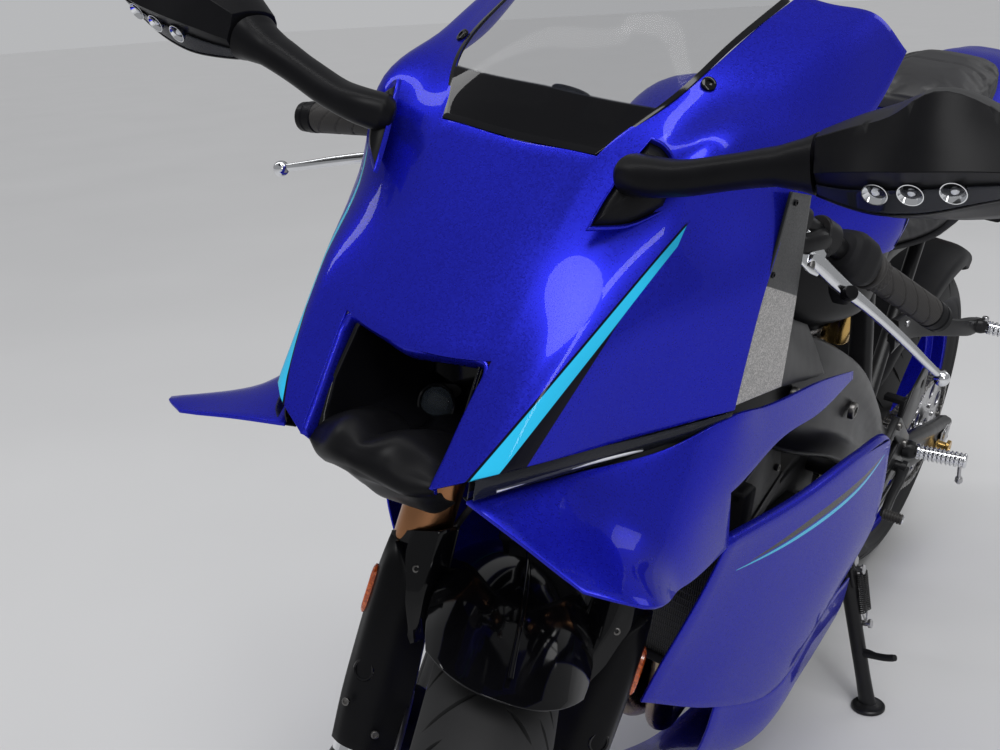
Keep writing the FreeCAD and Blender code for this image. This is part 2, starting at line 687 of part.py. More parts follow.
def make_levers(perch):
    """Clutch and brake lever: flat tapering blades with a ball at the tip."""
    along = LEVER_BALL - LEVER_PIVOT
    outward = Vector(along).normalize()
    up = Vector(0, 0.35, 0.94)
    back = outward.cross(up).normalize()
    wires = []
    # share of the way to the ball, bow to the front, half height, half thickness
    for share, bow, half_high, half_thick in ((0.02, 0, 11, 7), (0.2, 3, 10, 6), (0.45, 4, 8, 5),
                                              (0.75, 1, 6.5, 4.5), (0.97, 0, 5.5, 4.5)):
        centre = LEVER_PIVOT + along * share + Vector(0, -bow, 0)
        high = up * half_high
        thick = back * half_thick
        wires.append(polygon([centre + high, centre + thick, centre - high, centre - thick]))
    blade = loft(wires).cut(perch)
    ball = Part.makeSphere(9.5, LEVER_BALL)
    shaped("control_levers", both_sides(largest(blade.fuse(ball))), STEERED_PARKED)


def make_front_fender():
    """Front mudguard: an arch over the tyre, with the leg guards and side wings moulded on."""
    centre = AXLE_IN_STEERING
    wires = []
    # angle back from straight up in degrees, half width, drop of the edge, radius of the crown
    for angle, half, drop, radius in ((-58, 22, 8, 325), (-40, 62, 30, 330), (-10, 74, 46, 334),
                                      (20, 78, 52, 336), (48, 70, 44, 336)):
        turn = Rotation(Vector(1, 0, 0), -angle)
        wall = size("PanelWall")

        def point(across, height):
            return centre + turn.multVec(Vector(across, 0, height))

        outer = [point(-half, radius - drop), point(0, radius), point(half, radius - drop)]
        inner = [point(half - wall, radius - drop), point(0, radius - wall),
                 point(wall - half, radius - drop)]
        wires.append(Part.Wire([
            Part.Arc(*outer).toShape(), Part.LineSegment(outer[2], inner[0]).toShape(),
            Part.Arc(*inner).toShape(), Part.LineSegment(inner[2], outer[0]).toShape()]))
    hood = loft(wires, ruled=False)
    x = size("ForkSpread")
    y = -size("ForkOffset")
    leg = size("ForkInnerRadius")
    guard = plate([Vector(x - 34, y - 42, 92), Vector(x - 34, y - 46, 210), Vector(x - 34, y - 40, 240),
                   Vector(x - 34, y + 4, 240), Vector(x - 34, y - 6, 92)], Vector(64, 0, 0))
    guard = guard.cut(fork_leg(1, 60, 300, size("ForkOuterRadius") + 1))
    cheek = plate([Vector(x - 34, y + across, up) for across, up in (
        (-50, 196), (-64, 268), (-58, 308), (46, 308), (40, 262), (2, 196))], Vector(3.6, 0, 0))
    boss = rod(Vector(x, y - 36, 150), Vector(x, y - 12, 150), 7).cut(fork_leg(1, 60, 240, leg))
    left = guard.fuse([cheek, boss])
    wing = loft([polygon([Vector(72, y - 62, 268), Vector(74, y - 62, 268), Vector(74, y - 10, 232),
                          Vector(72, y - 10, 232)]),
                 polygon([Vector(112, y - 66, 236), Vector(115, y - 66, 236), Vector(114, y - 30, 200),
                          Vector(111, y - 30, 200)])])
    left = left.fuse(wing)
    shaped("front_fender", hood.fuse([left, mirrored(left)]), STEERED_PARKED)


def make_front_calipers():
    """Radial calipers behind the legs, each a block with a slot for its disc."""
    plane = size("FrontDiscPlane")
    y = -size("ForkOffset")
    radius = size("FrontDiscRadius")
    corners = []
    for corner_radius, angle in ((118, 14), (186, 14), (190, 30), (186, 46), (118, 46)):
        turned = math.radians(angle)
        corners.append(Vector(plane - 26, y + corner_radius * math.cos(turned),
                              corner_radius * math.sin(turned)))
    block = plate(corners, Vector(size("ForkSpread") - 20 - plane + 26, 0, 0))
    slot = rod(Vector(plane - size("FrontDiscThickness") / 2 - 2, y, 0),
               Vector(plane + size("FrontDiscThickness") / 2 + 2, y, 0), radius + 5)
    shaped("front_calipers", both_sides(block.cut(slot)), STEERED_PARKED)


def make_frame():
    """Cast twin-spar frame: head tube, two spars round the engine, pivot plates, cross tubes."""
    low = size("LowerYokeHeight") + size("YokeThickness") + 2
    high = size("UpperYokeHeight") - 2
    down = STEER_UPRIGHT
    head = rod(Vector(0, 0, low), Vector(0, 0, high), size("HeadTubeRadius"))
    head = head.transformGeometry(down.toMatrix())
    bore = rod(Vector(0, 0, low - 5), Vector(0, 0, high + 5), size("StemRadius") + size("BearingGap"))
    bore = bore.transformGeometry(down.toMatrix())
    # y, middle x, half thickness, top and bottom of the spar
    stations = ((262, 20, 14, 862, 770), (330, 78, 15, 842, 722), (450, 128, 15, 790, 650),
                (640, 148, 15, 700, 570), (800, 146, 14, 590, 470), (900, 140, 12, 520, 330),
                (952, 140, 10, 496, 326))
    wires = []
    for y, x, half, top, bottom in stations:
        wires.append(polygon([Vector(x - half, y, bottom), Vector(x + half, y, bottom + 14),
                              Vector(x + half, y, top - 14), Vector(x - half, y, top)]))
    spar = loft(wires)
    whole = spar.fuse([mirrored(spar), head])
    for y, z, radius in ((880, 470, 16), (900, 345, 11)):
        whole = whole.fuse(rod(Vector(-140, y, z), Vector(140, y, z), radius))
    pivot = rod(PIVOT - Vector(150, 0, 0), PIVOT + Vector(150, 0, 0), 13)
    whole = whole.cut(bore).fuse(pivot)
    shaped("main_frame", whole.removeSplitter(), PARKED)


def make_swingarm():
    """Swingarm: pivot tube, two tapering beams, a brace ahead of the tyre, and axle slots."""
    spread = size("ArmSpread")
    half = size("ArmThickness") / 2
    axle = AXLE_REAR
    root = 68
    wires = []
    # share of the way to the axle, half height, lift of the middle, middle from the middle plane
    for share, high, lift, middle in ((0.0, size("ArmHeight") / 2, 0, root), (0.18, 38, 6, root + 4),
                                      (0.42, 36, 10, spread - 14), (0.7, 30, 10, spread),
                                      (1.08, 24, 0, spread)):
        centre = PIVOT + (axle - PIVOT) * share + Vector(middle, 0, lift)
        wires.append(polygon([centre + Vector(half, 0, high), centre + Vector(half, 0, -high),
                              centre + Vector(-half, 0, -high), centre + Vector(-half, 0, high)]))
    beam = loft(wires)
    pivot_tube = rod(PIVOT - Vector(root + half, 0, 0), PIVOT + Vector(root + half, 0, 0), 27)
    brace_y = PIVOT.y + 96
    brace = Part.makeBox(2 * root, 58, 60, Vector(-root, brace_y - 40, PIVOT.z - 26))
    whole = beam.fuse([mirrored(beam), pivot_tube, brace])
    whole = whole.cut(rod(PIVOT - Vector(200, 0, 0), PIVOT + Vector(200, 0, 0), 13.3))
    reach = spread + half + 5
    whole = whole.cut(rod(axle - Vector(reach, 0, 0), axle + Vector(reach, 0, 0),
                          size("RearAxleRadius") + 0.1))
    shaped("swingarm", whole.removeSplitter(), PARKED)
    make_rear_axle(reach)
    make_spools(spread + half)


def make_rear_axle(reach):
    """Rear axle through the swingarm's ends."""
    axle = doc.addObject("Part::Cylinder", "RearAxle")
    axle.setExpression("Radius", "Sheet.RearAxleRadius")
    axle.Height = 2 * reach
    axle.Placement = Placement(AXLE_REAR - Vector(reach, 0, 0), ALONG_X)
    sub_part(axle, "rear_axle", PARKED)


# Middle of the paddock-stand spools' screws, from the rear axle.
SPOOL_PLACE = Vector(0, -52, -2)


def make_spools(arm_face):
    """Paddock-stand spools on the swingarm: a waist between the arm's face and a wider head."""
    spools = []
    for side in (1, -1):
        foot = AXLE_REAR + SPOOL_PLACE + Vector(side * arm_face, 0, 0)
        face = foot + Vector(side * size("SpoolLength"), 0, 0)
        head = face - Vector(side * size("SpoolHead"), 0, 0)
        waist = rod(foot, face, size("SpoolWaist"))
        spools.append(waist.fuse(rod(head, face, size("SpoolRadius"))))
    shaped("paddock_spools", Part.makeCompound(spools), PARKED)


# Wall of the crankcase behind the gearbox sprocket.
SPROCKET_SEAT = 84


def make_engine():
    """Three-cylinder engine as one block: crankcase, inclined cylinders, round side covers."""
    half = size("EngineHalfWidth")
    case_half = half - 38
    case = plate([Vector(-case_half, y, z) for y, z in (
        (520, 250), (600, 196), (810, 196), (834, 300), (834, 470), (760, 520), (560, 470))],
        Vector(2 * case_half, 0, 0))
    head_half = 98
    top = plate([Vector(-head_half, y, z) for y, z in ((520, 440), (650, 500), (560, 700), (420, 650))],
                Vector(2 * head_half, 0, 0))
    covers = [rod(Vector(case_half - 4, 610, 330), Vector(half, 610, 330), 78),
              rod(Vector(4 - case_half, 650, 330), Vector(-half, 650, 330), 92)]
    pocket = Part.makeBox(half, 200, 150, Vector(SPROCKET_SEAT, PIVOT.y - 150, PIVOT.z - 84))
    mounts = [rod(Vector(-140, y, z), Vector(140, y, z), 14) for y, z in ((790, 482), (560, 640))]
    whole = case.fuse([top] + covers).removeSplitter().cut(pocket).fuse(mounts)
    shaped("engine_block", fitted(whole, "main_frame"), PARKED)


def make_radiator():
    """Radiator behind the front wheel, tilted back, with its side tanks."""
    core = plate([Vector(-150, y, z) for y, z in ((338, 640), (368, 640), (384, 380), (354, 380))],
                 Vector(300, 0, 0))
    arms = [rod(Vector(side * 126, 352, 626), Vector(side * 126, 462, 664), 8) for side in (1, -1)]
    shaped("radiator", fitted(core.fuse(arms), "main_frame"), PARKED)


def make_exhaust():
    """Three header pipes into one underslung silencer on the right."""
    pipes = []
    for x in (-66, 0, 66):
        pipes.append(bent_rod([Vector(x, 472, 566), Vector(x, 426, 470), Vector(x, 424, 320),
                               Vector(x * 0.6, 520, 176), Vector(x * 0.5, 640, 172)], 18, 40))
    wires = []
    # y, half width and height of the box's bottom, half width and height of its top
    for y, low_half, low, high_half, high in ((622, 40, 164, 60, 192), (660, 54, 158, 84, 193),
                                              (900, 64, 152, 96, 193), (985, 52, 170, 84, 214)):
        wires.append(polygon([Vector(-high_half, y, high), Vector(high_half, y, high),
                              Vector(low_half, y, low), Vector(-low_half, y, low)]))
    box = loft(wires)
    outlet = tube(Vector(-60, 975, 192), Vector(-92, 1030, 204), 24, 20)
    shaped("exhaust", fitted(box.fuse(pipes + [outlet]), "engine_block"), PARKED)


def make_shock():
    """Rear damper with its spring's outside, between frame and swingarm."""
    foot = PIVOT + Vector(0, 84, 34.3)
    head = Vector(0, 884, 700)
    along = (head - foot).normalize()
    spring = rod(foot + along * 60, head - along * 40, 34)
    damper = rod(foot, head, 20)
    shaped("rear_shock", fitted(damper.fuse(spring), "swingarm", "main_frame"), PARKED)


def make_chain():
    """Drive chain as one loop round both sprockets, its link plates in the outline."""
    pitch = size("ChainPitch")
    front_radius = pitch / 2 / math.sin(math.pi / size("FrontTeeth"))
    rear_radius = pitch / 2 / math.sin(math.pi / size("RearTeeth"))
    front = Vector(0, PIVOT.y - 92, PIVOT.z - 8)
    rear = AXLE_REAR
    span = rear - front
    base = math.atan2(span.z, span.y)
    lean = math.acos((rear_radius - front_radius) / span.Length)

    def ring(extra):
        """Closed loop outline this far outside the pitch line."""
        def at(centre, radius, angle):
            return centre + Vector(0, math.cos(angle), math.sin(angle)) * (radius + extra)

        up = base + math.pi - lean
        down = base - math.pi + lean
        front_arc = Part.Arc(at(front, front_radius, up), at(front, front_radius, base + math.pi),
                             at(front, front_radius, down)).toShape()
        rear_arc = Part.Arc(at(rear, rear_radius, down), at(rear, rear_radius, base),
                            at(rear, rear_radius, up)).toShape()
        low = Part.LineSegment(at(front, front_radius, down), at(rear, rear_radius, down)).toShape()
        high = Part.LineSegment(at(rear, rear_radius, up), at(front, front_radius, up)).toShape()
        return Part.Wire([front_arc, low, rear_arc, high])

    half = size("ChainHeight") / 2
    across = Vector(size("ChainWidth"), 0, 0)
    band = Part.Face(ring(half)).extrude(across).cut(Part.Face(ring(4)).extrude(across))
    band.translate(Vector(size("ChainPlane") - size("ChainWidth") / 2, 0, 0))
    gear = rod(Vector(SPROCKET_SEAT, front.y, front.z), front + Vector(size("ChainPlane") + 3, 0, 0),
               front_radius + 4)
    shaped("drive_chain", band, PARKED)
    shaped("drive_sprocket", gear, PARKED)


def make_tank_and_seats():
    """Fuel tank, rider's seat, pillion seat, tail cowl and the rails under them."""
    top = size("TankTop")
    seat = size("SeatHeight")
    # y, half width, bottom, shoulder, top
    tank = [arch(400, 88, 850, 900, 950), arch(480, 146, 778, 896, top - 12),
            arch(590, 182, 770, 890, top), arch(700, 160, 775, 870, top - 26),
            arch(800, 104, 785, 842, top - 92), arch(862, 88, 790, 822, 858)]
    shaped("fuel_tank", fitted(loft(tank, ruled=False), "main_frame"), PARKED)
    rider = [arch(862.3, 84, seat - 69, seat - 28, seat + 4), arch(960, 112, seat - 64, seat - 26, seat),
             arch(1080, 142, seat - 55.5, seat - 16, seat + 6), arch(1170, 140, seat - 32.5, seat + 10, seat + 42)]
    shaped("rider_seat", loft(rider), PARKED)
    pillion = [arch(1196, 92, 906, 940, 950), arch(1300, 104, 920, 958, 972),
               arch(1420, 92, 938, 976, 990), arch(1480, 60, 950, 980, 992)]
    tail = [arch(1176, 128, 800, 880, 917), arch(1300, 122, 836, 900, 933),
            arch(1430, 104, 876, 930, 950), arch(1560, 78, 910, 960, 978), arch(1700, 40, 940, 968, 980)]
    shaped("tail_cowl", loft(tail, ruled=False), PARKED)
    shaped("pillion_seat", fitted(loft(pillion, ruled=False), "tail_cowl"), PARKED)
    rails = []
    for side in (1, -1):
        upper = bent_rod([Vector(side * 118, 852, 560), Vector(side * 84, 868, 744),
                          Vector(side * 78, 1100, 761), Vector(side * 70, 1440, 862.5)], 14, 30)
        brace = rod(Vector(side * 118, 884, 520), Vector(side * 78, 1160, 772), 11)
        rails.append(upper.fuse(brace))
    cross = rod(Vector(-80, 1060, 752), Vector(80, 1060, 752), 11)
    shaped("rear_subframe", fitted(rails[0].fuse([rails[1], cross]), "main_frame", "rider_seat",
                                   "tail_cowl"), PARKED)


# The number plate's board: its outward normal, and the middle between its two threads.
PLATE_NORMAL = Vector(0, 140, 60).normalize()
PLATE_HOLE = Vector(0, 1732, 716)
PLATE_HOLE_SPREAD = 70


def make_tail_details():
    """Tail lamp, plate holder with its indicators, and the hugger over the rear tyre."""
    lamp = loft([polygon([Vector(-34, 1700, 946), Vector(34, 1700, 946), Vector(38, 1700, 968),
                          Vector(-38, 1700, 968)]),
                 polygon([Vector(-20, 1724, 950), Vector(20, 1724, 950), Vector(24, 1724, 964),
                          Vector(-24, 1724, 964)])])
    shaped("tail_lamp", lamp, PARKED)
    arm = loft([polygon([Vector(-34, 1560, 920), Vector(34, 1560, 920), Vector(34, 1640, 934),
                         Vector(-34, 1640, 934)]),
                polygon([Vector(-26, 1698, 770), Vector(26, 1698, 770), Vector(26, 1716, 784),
                         Vector(-26, 1716, 784)])])
    board = plate([Vector(-90, 1702, 786), Vector(90, 1702, 786), Vector(90, 1762, 646),
                   Vector(-90, 1762, 646)], PLATE_NORMAL * size("PlateWall"))
    for side in (1, -1):
        hole = PLATE_HOLE + Vector(side * PLATE_HOLE_SPREAD, 0, 0)
        board = board.cut(rod(hole - PLATE_NORMAL * 20, hole + PLATE_NORMAL * 20, size("PlateBolt")))
    lamps = [rod(Vector(side * 20, 1694, 806), Vector(side * 110, 1700, 812), 6) for side in (1, -1)]
    lamps += [rod(Vector(side * 105, 1690, 812), Vector(side * 105, 1722, 812), 15) for side in (1, -1)]
    shaped("plate_holder", fitted(arm.fuse([board] + lamps), "tail_cowl"), PARKED)
    wires = []
    # angle back from straight up, half width
    for angle, half in ((-62, 70), (-30, 96), (0, 98), (28, 84)):
        turn = Rotation(Vector(1, 0, 0), -angle)
        radius = size("RearTyreRadius") + 26
        drop = 34
        wall = size("PanelWall")

        def point(across, height):
            return AXLE_REAR + turn.multVec(Vector(across, 0, height))

        outer = [point(-half, radius - drop), point(0, radius), point(half, radius - drop)]
        inner = [point(half - wall, radius - drop), point(0, radius - wall),
                 point(wall - half, radius - drop)]
        wires.append(Part.Wire([
            Part.Arc(*outer).toShape(), Part.LineSegment(outer[2], inner[0]).toShape(),
            Part.Arc(*inner).toShape(), Part.LineSegment(inner[2], outer[0]).toShape()]))
    brackets = []
    for side in (1, -1):
        post = Part.makeBox(8, 20, 80, Vector(-124 if side < 0 else 116, 1130, 396))
        brackets.append(post.fuse(Part.makeBox(54, 20, 10, Vector(-122 if side < 0 else 68, 1130, 464))))
    shaped("rear_hugger", fitted(loft(wires, ruled=False).fuse(brackets), "swingarm"), PARKED)


# The left half of the upper cowl, rows from its lower edge up: points from the middle outward.
COWL_ROWS = (
    (None, (64, -115, 801), (97, -104, 818), (158, 46, 822), (200, 114, 834)),
    (None, (67, -88, 845), (103, -76, 858), (158, 40, 860), (203, 112, 884)),
    ((0, -72, 883), (70, -59, 889), (110, -42, 900), (164, 40, 912), (205, 116, 935)),
    ((0, -10, 955), (70, -4, 955), (118, 15, 955), (168, 68, 962), (204, 134, 975)),
    ((0, 54, 1025), (74, 56, 1027), (112, 58, 1024), (152, 72, 1034), (201, 156, 1008)),
    (None, None, (126, 150, 1080), (165, 180, 1080), (205, 232, 1036)),
    (None, None, (136, 230, 1112), (176, 270, 1113), (207, 306, 1062)),
    (None, None, (142, 300, 1136), (180, 335, 1134), (205, 366, 1104)),
)


def make_upper_cowl():
    """Upper cowl: two cheeks beside the intake, the panel over it, the rising rear wings."""
    shaped("upper_cowl", moulding([COWL_ROWS], size("PanelWall"), whole=True), PARKED)


def make_intake():
    """Air intake's duct behind the cowl's mouth, and the satin chin under it."""
    wall = size("PanelWall")

    mouth = [(x, -109 + 0.636 * (z - 801), z)
             for x, z in ((0, 882), (67, 886), (63, 803), (0, 803))]
    throat = [(0, 60, 870), (46, 60, 874), (46, 60, 826), (0, 60, 826)]
    duct = moulding([(mouth, throat)], wall, steps=1, whole=True)
    # y, half width, bottom and top of the closed part that runs back to the head tube
    neck = [polygon([Vector(-half, y, low), Vector(half, y, low), Vector(half, y, high),
                     Vector(-half, y, high)])
            for y, half, low, high in ((56, 46, 826, 873), (132, 34, 832, 872), (240, 28, 838, 868))]
    post = Part.makeBox(40, 14, 134, Vector(-20, 104, 866))
    shaped("intake_duct", fitted(duct.fuse([loft(neck), post]), "upper_cowl", "main_frame"), PARKED)
    chin = (
        ((0, -50, 766), (36, -50, 768), (66, -46, 778)),
        ((0, -96, 776), (34, -92, 776), (62, -84, 784)),
        ((0, -134, 795), (28, -132, 794), (50, -124, 794)),
        ((0, -110, 802), (40, -110, 802), (66, -112, 802)),
    )
    web = Part.makeBox(60, 4, 46, Vector(-30, -92, 774))
    shaped("nose_chin", fitted(moulding([chin], wall, whole=True).fuse(web), "intake_duct",
                               "upper_cowl"), PARKED)


def make_screen_and_dash():
    """Clear windscreen, the dark panel under it and the instrument."""
    screen_rows = (
        ((0, 54, 1026), (38, 54.5, 1027), (73, 56, 1028)),
        ((0, 104, 1080), (62, 108, 1079), (121, 118, 1064)),
        ((0, 172, 1132), (72, 176, 1126), (132, 192, 1098)),
        ((0, 262, 1180), (70, 264, 1168), (139, 280, 1131)),
    )
    screen = moulding([screen_rows], size("ScreenWall"), whole=True)
    shaped("windscreen", fitted(screen, "upper_cowl"), PARKED)
    hood = plate([Vector(-92, y, z) for y, z in (
        (86, 1010), (150, 1030), (176, 1020), (150, 990), (86, 1000))], Vector(184, 0, 0))
    shaped("instrument_panel", fitted(hood, "intake_duct"), PARKED)


def make_side_panels():
    """Winglets, grey strips, satin inner panels, side fairings and the lower cowl."""
    wall = size("PanelWall")
    blade = (
        ((90, -106, 798), (145, -112, 788), (200, -117, 775)),
        ((132, -30, 806), (172, -60, 785), (229, -102, 771)),
        ((172, 50, 812), (200, 20, 764), (222, 10, 724)),
        ((200, 116, 828), (205, 130, 752), (202, 160, 682)),
        ((201, 190, 812), (204, 236, 762), None),
        ((196, 360, 780), (198, 370, 742), None),
        ((184, 520, 738), (184, 526, 726), None),
    )
    shaped("winglets", fitted_pair(moulding([blade], wall), "upper_cowl"), PARKED)
    strip = (
        ((199.5, 113.5, 838), (195, 200, 820)),
        ((202.5, 112, 886), (199, 178, 880)),
        ((204.5, 116, 934), (203, 150, 930)),
        ((203.6, 134, 975), (203, 147, 976)),
    )
    shaped("grey_strips", fitted_pair(moulding([strip], wall), "upper_cowl", "winglets"), PARKED)
    panel = (
        ((195, 199, 822), (186, 330, 784), (172, 450, 752)),
        ((198, 184, 868), (180, 300, 826), (162, 440, 780)),
        ((200, 173, 892), (174, 280, 868), (152, 420, 812)),
    )
    shaped("inner_panels", fitted_pair(moulding([panel], wall), "grey_strips", "winglets"), PARKED)
    fairing = (
        ((202, 158.5, 684), (176, 150, 580), (146, 160, 478)),
        ((212, 330, 660), (206, 320, 540), (176, 300, 400)),
        ((216, 520, 640), (222, 500, 500), (196, 460, 340)),
        ((206, 690, 596), (214, 680, 480), (190, 640, 360)),
        ((198, 742, 560), (200, 730, 470), (186, 690, 380)),
    )
    skin = moulding([fairing], wall)
    stays = [stay(skin, Vector(148, y, z), Vector(260, y, z), 6) for y, z in ((560, 612), (700, 560))]
    stays.append(stay(skin, Vector(146, 362, 560), Vector(260, 362, 560), 6))
    shaped("side_fairings", fitted_pair(skin.fuse(stays), "winglets", "main_frame", "radiator"),
           PARKED)
    belly = (
        ((176, 300, 400), (150, 336, 290), (40, 372, 205)),
        ((196, 460, 340), (172, 480, 230), (40, 500, 150)),
        ((190, 640, 360), (168, 660, 220), (60, 680, 142)),
        ((176, 800, 320), (160, 820, 220), (90, 830, 150)),
    )
    skin = moulding([belly], wall)
    stays = [stay(skin, Vector(116, y, z), Vector(260, y, z), 6) for y, z in ((540, 280), (780, 300))]
    shaped("lower_cowls", fitted_pair(skin.fuse(stays), "side_fairings", "engine_block"), PARKED)


def make_lamps():
    """Lamp lens deep in the intake and the two slit position lamps."""
    lens = rod(Vector(0, -20, 845.3), Vector(0, 8, 845.3), 22)
    rib = Part.makeBox(6, 10, 90, Vector(-3, -4, 800))
    shaped("head_lamp", fitted(lens.fuse(rib), "intake_duct"), PARKED)
    slit = (
        ((96, -104, 818), (96, -106, 801)),
        ((132, -24, 823), (132, -25, 808)),
        ((184, 84, 829), (184, 84, 820)),
    )
    slits = moulding([slit], size("ScreenWall"))
    shaped("position_lamps", fitted_pair(slits, "upper_cowl", "winglets"), PARKED)


def make_mirrors():
    """Mirrors: a triangular base on the cowl, an arm, and a head with its lamp in front."""
    def section(x, *corners):
        """Cross-section of the arm or head at x, from (y, z) corners."""
        return polygon([Vector(x, y, z) for y, z in corners])

    base = loft([polygon([Vector(96, 20, 984), Vector(150, 74, 1032), Vector(102, 84, 1046)]),
                 polygon([Vector(122, 6, 1012), Vector(148, 38, 1042), Vector(124, 44, 1046)])])
    arm = loft([section(118, (6, 1010), (44, 1008), (44, 1040), (6, 1042)),
                section(256, (-4, 1040), (50, 1036), (50, 1074), (-4, 1072))])
    head = loft([section(256, (-5, 1038), (54, 1030), (56, 1078), (-4, 1076)),
                 section(322, (-40, 1028), (66, 1018), (74, 1120), (-20, 1118)),
                 section(406, (-22, 1032), (62, 1026), (68, 1096), (-14, 1092))])
    shaped("mirrors", fitted_pair(base.fuse([arm, head]), "upper_cowl", "windscreen"), PARKED)


def make_footrests():
    """Rider's footrest hangers with pegs and pedals, and the pillion's."""
    hanger = plate([Vector(148, y, z) for y, z in (
        (884, 470), (948, 520), (1050, 452), (1052, 424), (940, 380), (884, 400))],
        Vector(12, 0, 0))
    peg = rod(Vector(160, 1030, 438), Vector(252, 1044, 445), size("PegRadius"))
    pedal = bent_rod([Vector(172, 1000, 420), Vector(178, 930, 398), Vector(182, 886, 392),
                      Vector(204, 884, 394)], 6, 8)
    heel = rod(Vector(158, 1000, 420), Vector(174, 1000, 420), 9)
    shaped("footrests", fitted_pair(hanger.fuse([peg, pedal, heel]), "main_frame"), PARKED)
    arm = loft([polygon([Vector(109, 968, 610), Vector(117, 968, 610), Vector(117, 1016, 656),
                         Vector(109, 1016, 656)]),
                polygon([Vector(180, 1196, 600), Vector(190, 1196, 600), Vector(190, 1222, 610),
                         Vector(180, 1222, 610)])])
    back_peg = rod(Vector(186, 1210, 606), Vector(262, 1220, 610), size("PegRadius") - 1)
    shaped("pillion_footrests", fitted_pair(arm.fuse(back_peg), "rear_subframe"), PARKED)


def make_rear_brake():
    """Rear caliper over the disc, on the swingarm."""
    x = -size("RearDiscPlane")
    block = plate([Vector(x - 22, AXLE_REAR.y - 60, AXLE_REAR.z + 62),
                   Vector(x - 22, AXLE_REAR.y + 10, AXLE_REAR.z + 84),
                   Vector(x - 22, AXLE_REAR.y + 2, AXLE_REAR.z + 122),
                   Vector(x - 22, AXLE_REAR.y - 84, AXLE_REAR.z + 104)], Vector(44, 0, 0))
    slot = rod(Vector(x - 5, AXLE_REAR.y, AXLE_REAR.z), Vector(x + 5, AXLE_REAR.y, AXLE_REAR.z),
               size("RearDiscRadius") + 4)
    carrier = Part.makeBox(34, 44, 66, Vector(-126, AXLE_REAR.y - 74, AXLE_REAR.z + 20))
    shaped("rear_caliper", fitted(block.cut(slot).fuse(carrier), "swingarm"), PARKED)


# The side stand: its pivot and its foot when it is down, on the upright machine.
STAND_PIVOT = Vector(134, 928, 272)
STAND_FOOT = Vector(238, 908, 0)
STAND_TILT = 18.6


def in_stand_pivot(shape):
    """Moves a shape drawn round the origin, x along the pivot pin, to the stand's pivot."""
    shape.Placement = Placement(STAND_PIVOT, Rotation(Vector(0, 1, 0), -STAND_TILT))
    return shape


def pivot_disc(start, end, radius):
    """Round piece about the stand's pivot pin, between two places along it."""
    return in_stand_pivot(rod(Vector(start, 0, 0), Vector(end, 0, 0), radius))


def make_side_stand():
    """Side stand: two ears on the frame's tongue, leg, and a foot flat on the floor when parked."""
    floor_point = PARKED.multVec(STAND_FOOT)
    foot_centre = PARKED.inverse().multVec(Vector(floor_point.x, floor_point.y, 0))
    up = PARKED.inverse().Rotation.multVec(Vector(0, 0, 1))
    disc = rod(foot_centre, foot_centre + up * 7, 26)
    along = (foot_centre - STAND_PIVOT).normalize()
    leg = rod(STAND_PIVOT + along * 26, foot_centre + up * 4, size("StandLegRadius"))
    leg = leg.cut(rod(foot_centre, foot_centre - up * 40, 80))
    eye = size("StandPinRadius") + 8
    gap = 0.4
    tongue = 6
    ears = [pivot_disc(tongue + gap, tongue + 8, eye), pivot_disc(-tongue - 8, -tongue - gap, eye)]
    knuckle = rod(STAND_PIVOT + along * 6, STAND_PIVOT + along * 40, eye - 2)
    knuckle = knuckle.cut(pivot_disc(-tongue - gap, tongue + gap, eye + 6))
    whole = disc.fuse([leg, knuckle] + ears)
    whole = whole.cut(pivot_disc(-30, 30, size("StandPinRadius") + size("BearingGap")))
    shaped("side_stand", whole.removeSplitter(), PARKED)
    pin = pivot_disc(-tongue - 9, tongue + 9, size("StandPinRadius"))
    lug = pivot_disc(-tongue, tongue, eye)
    web = in_stand_pivot(Part.makeBox(2 * tongue, 24, 30, Vector(-tongue, -12, 4)))
    post = Part.makeBox(24, 24, 44, Vector(119, STAND_PIVOT.y - 12, 297))
    shaped("stand_bracket", fitted(pin.fuse([lug, web, post]), "main_frame"), PARKED)


def box_of_all():
    """Exact box of the whole parked machine."""
    boxes = [item.Shape.optimalBoundingBox(False) for item in SUB_PARTS]
    whole = boxes[0]
    for box in boxes[1:]:
        whole.add(box)
    return whole


def move_to_origin():
    """Puts the origin under the middle of the parked machine's box, on the floor."""
    doc.recompute()
    whole = box_of_all()
    shift = Vector(-(whole.XMin + whole.XMax) / 2, -(whole.YMin + whole.YMax) / 2, -whole.ZMin)
    for item in SUB_PARTS:
        item.Placement = Placement(shift, Rotation()).multiply(item.Placement)
    return shift


def check_and_write():
    """Checks every object and writes one STEP file for each sub-part."""
    doc.recompute()
    for item in doc.Objects:
        if "Invalid" in item.State or "Error" in item.State:
            raise RuntimeError(f"{item.Name} failed: {item.State}")
    os.makedirs("parts", exist_ok=True)
    for item in SUB_PARTS:
        shape = item.Shape
        if shape.isNull() or not shape.isValid():
            raise RuntimeError(f"{item.Label} has no valid shape")
        shape.exportStep(f"parts/{item.Label}.step")
        print(f"{item.Label:20s} solids {len(shape.Solids)} volume {shape.Volume / 1000:.0f} cm3")


make_wheels()
make_fork()
make_yokes()
make_bars()
make_front_fender()
make_front_calipers()
make_frame()
make_swingarm()
make_engine()
make_radiator()
make_exhaust()
make_shock()
make_chain()
make_tank_and_seats()
make_tail_details()
make_upper_cowl()
make_intake()
make_screen_and_dash()
make_side_panels()
make_lamps()
make_mirrors()
make_footrests()
make_rear_brake()
make_side_stand()
SHIFT = move_to_origin()
check_and_write()
print("parked placement", PARKED, "shift", SHIFT)
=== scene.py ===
"""Sport motorcycle parked on its side stand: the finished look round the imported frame.

Pieces are drawn in millimetres on the upright machine, x to the rider's left, y to the rear and
z up, or in the steering's or a wheel's own frame, and each object's matrix puts them in place.
"""

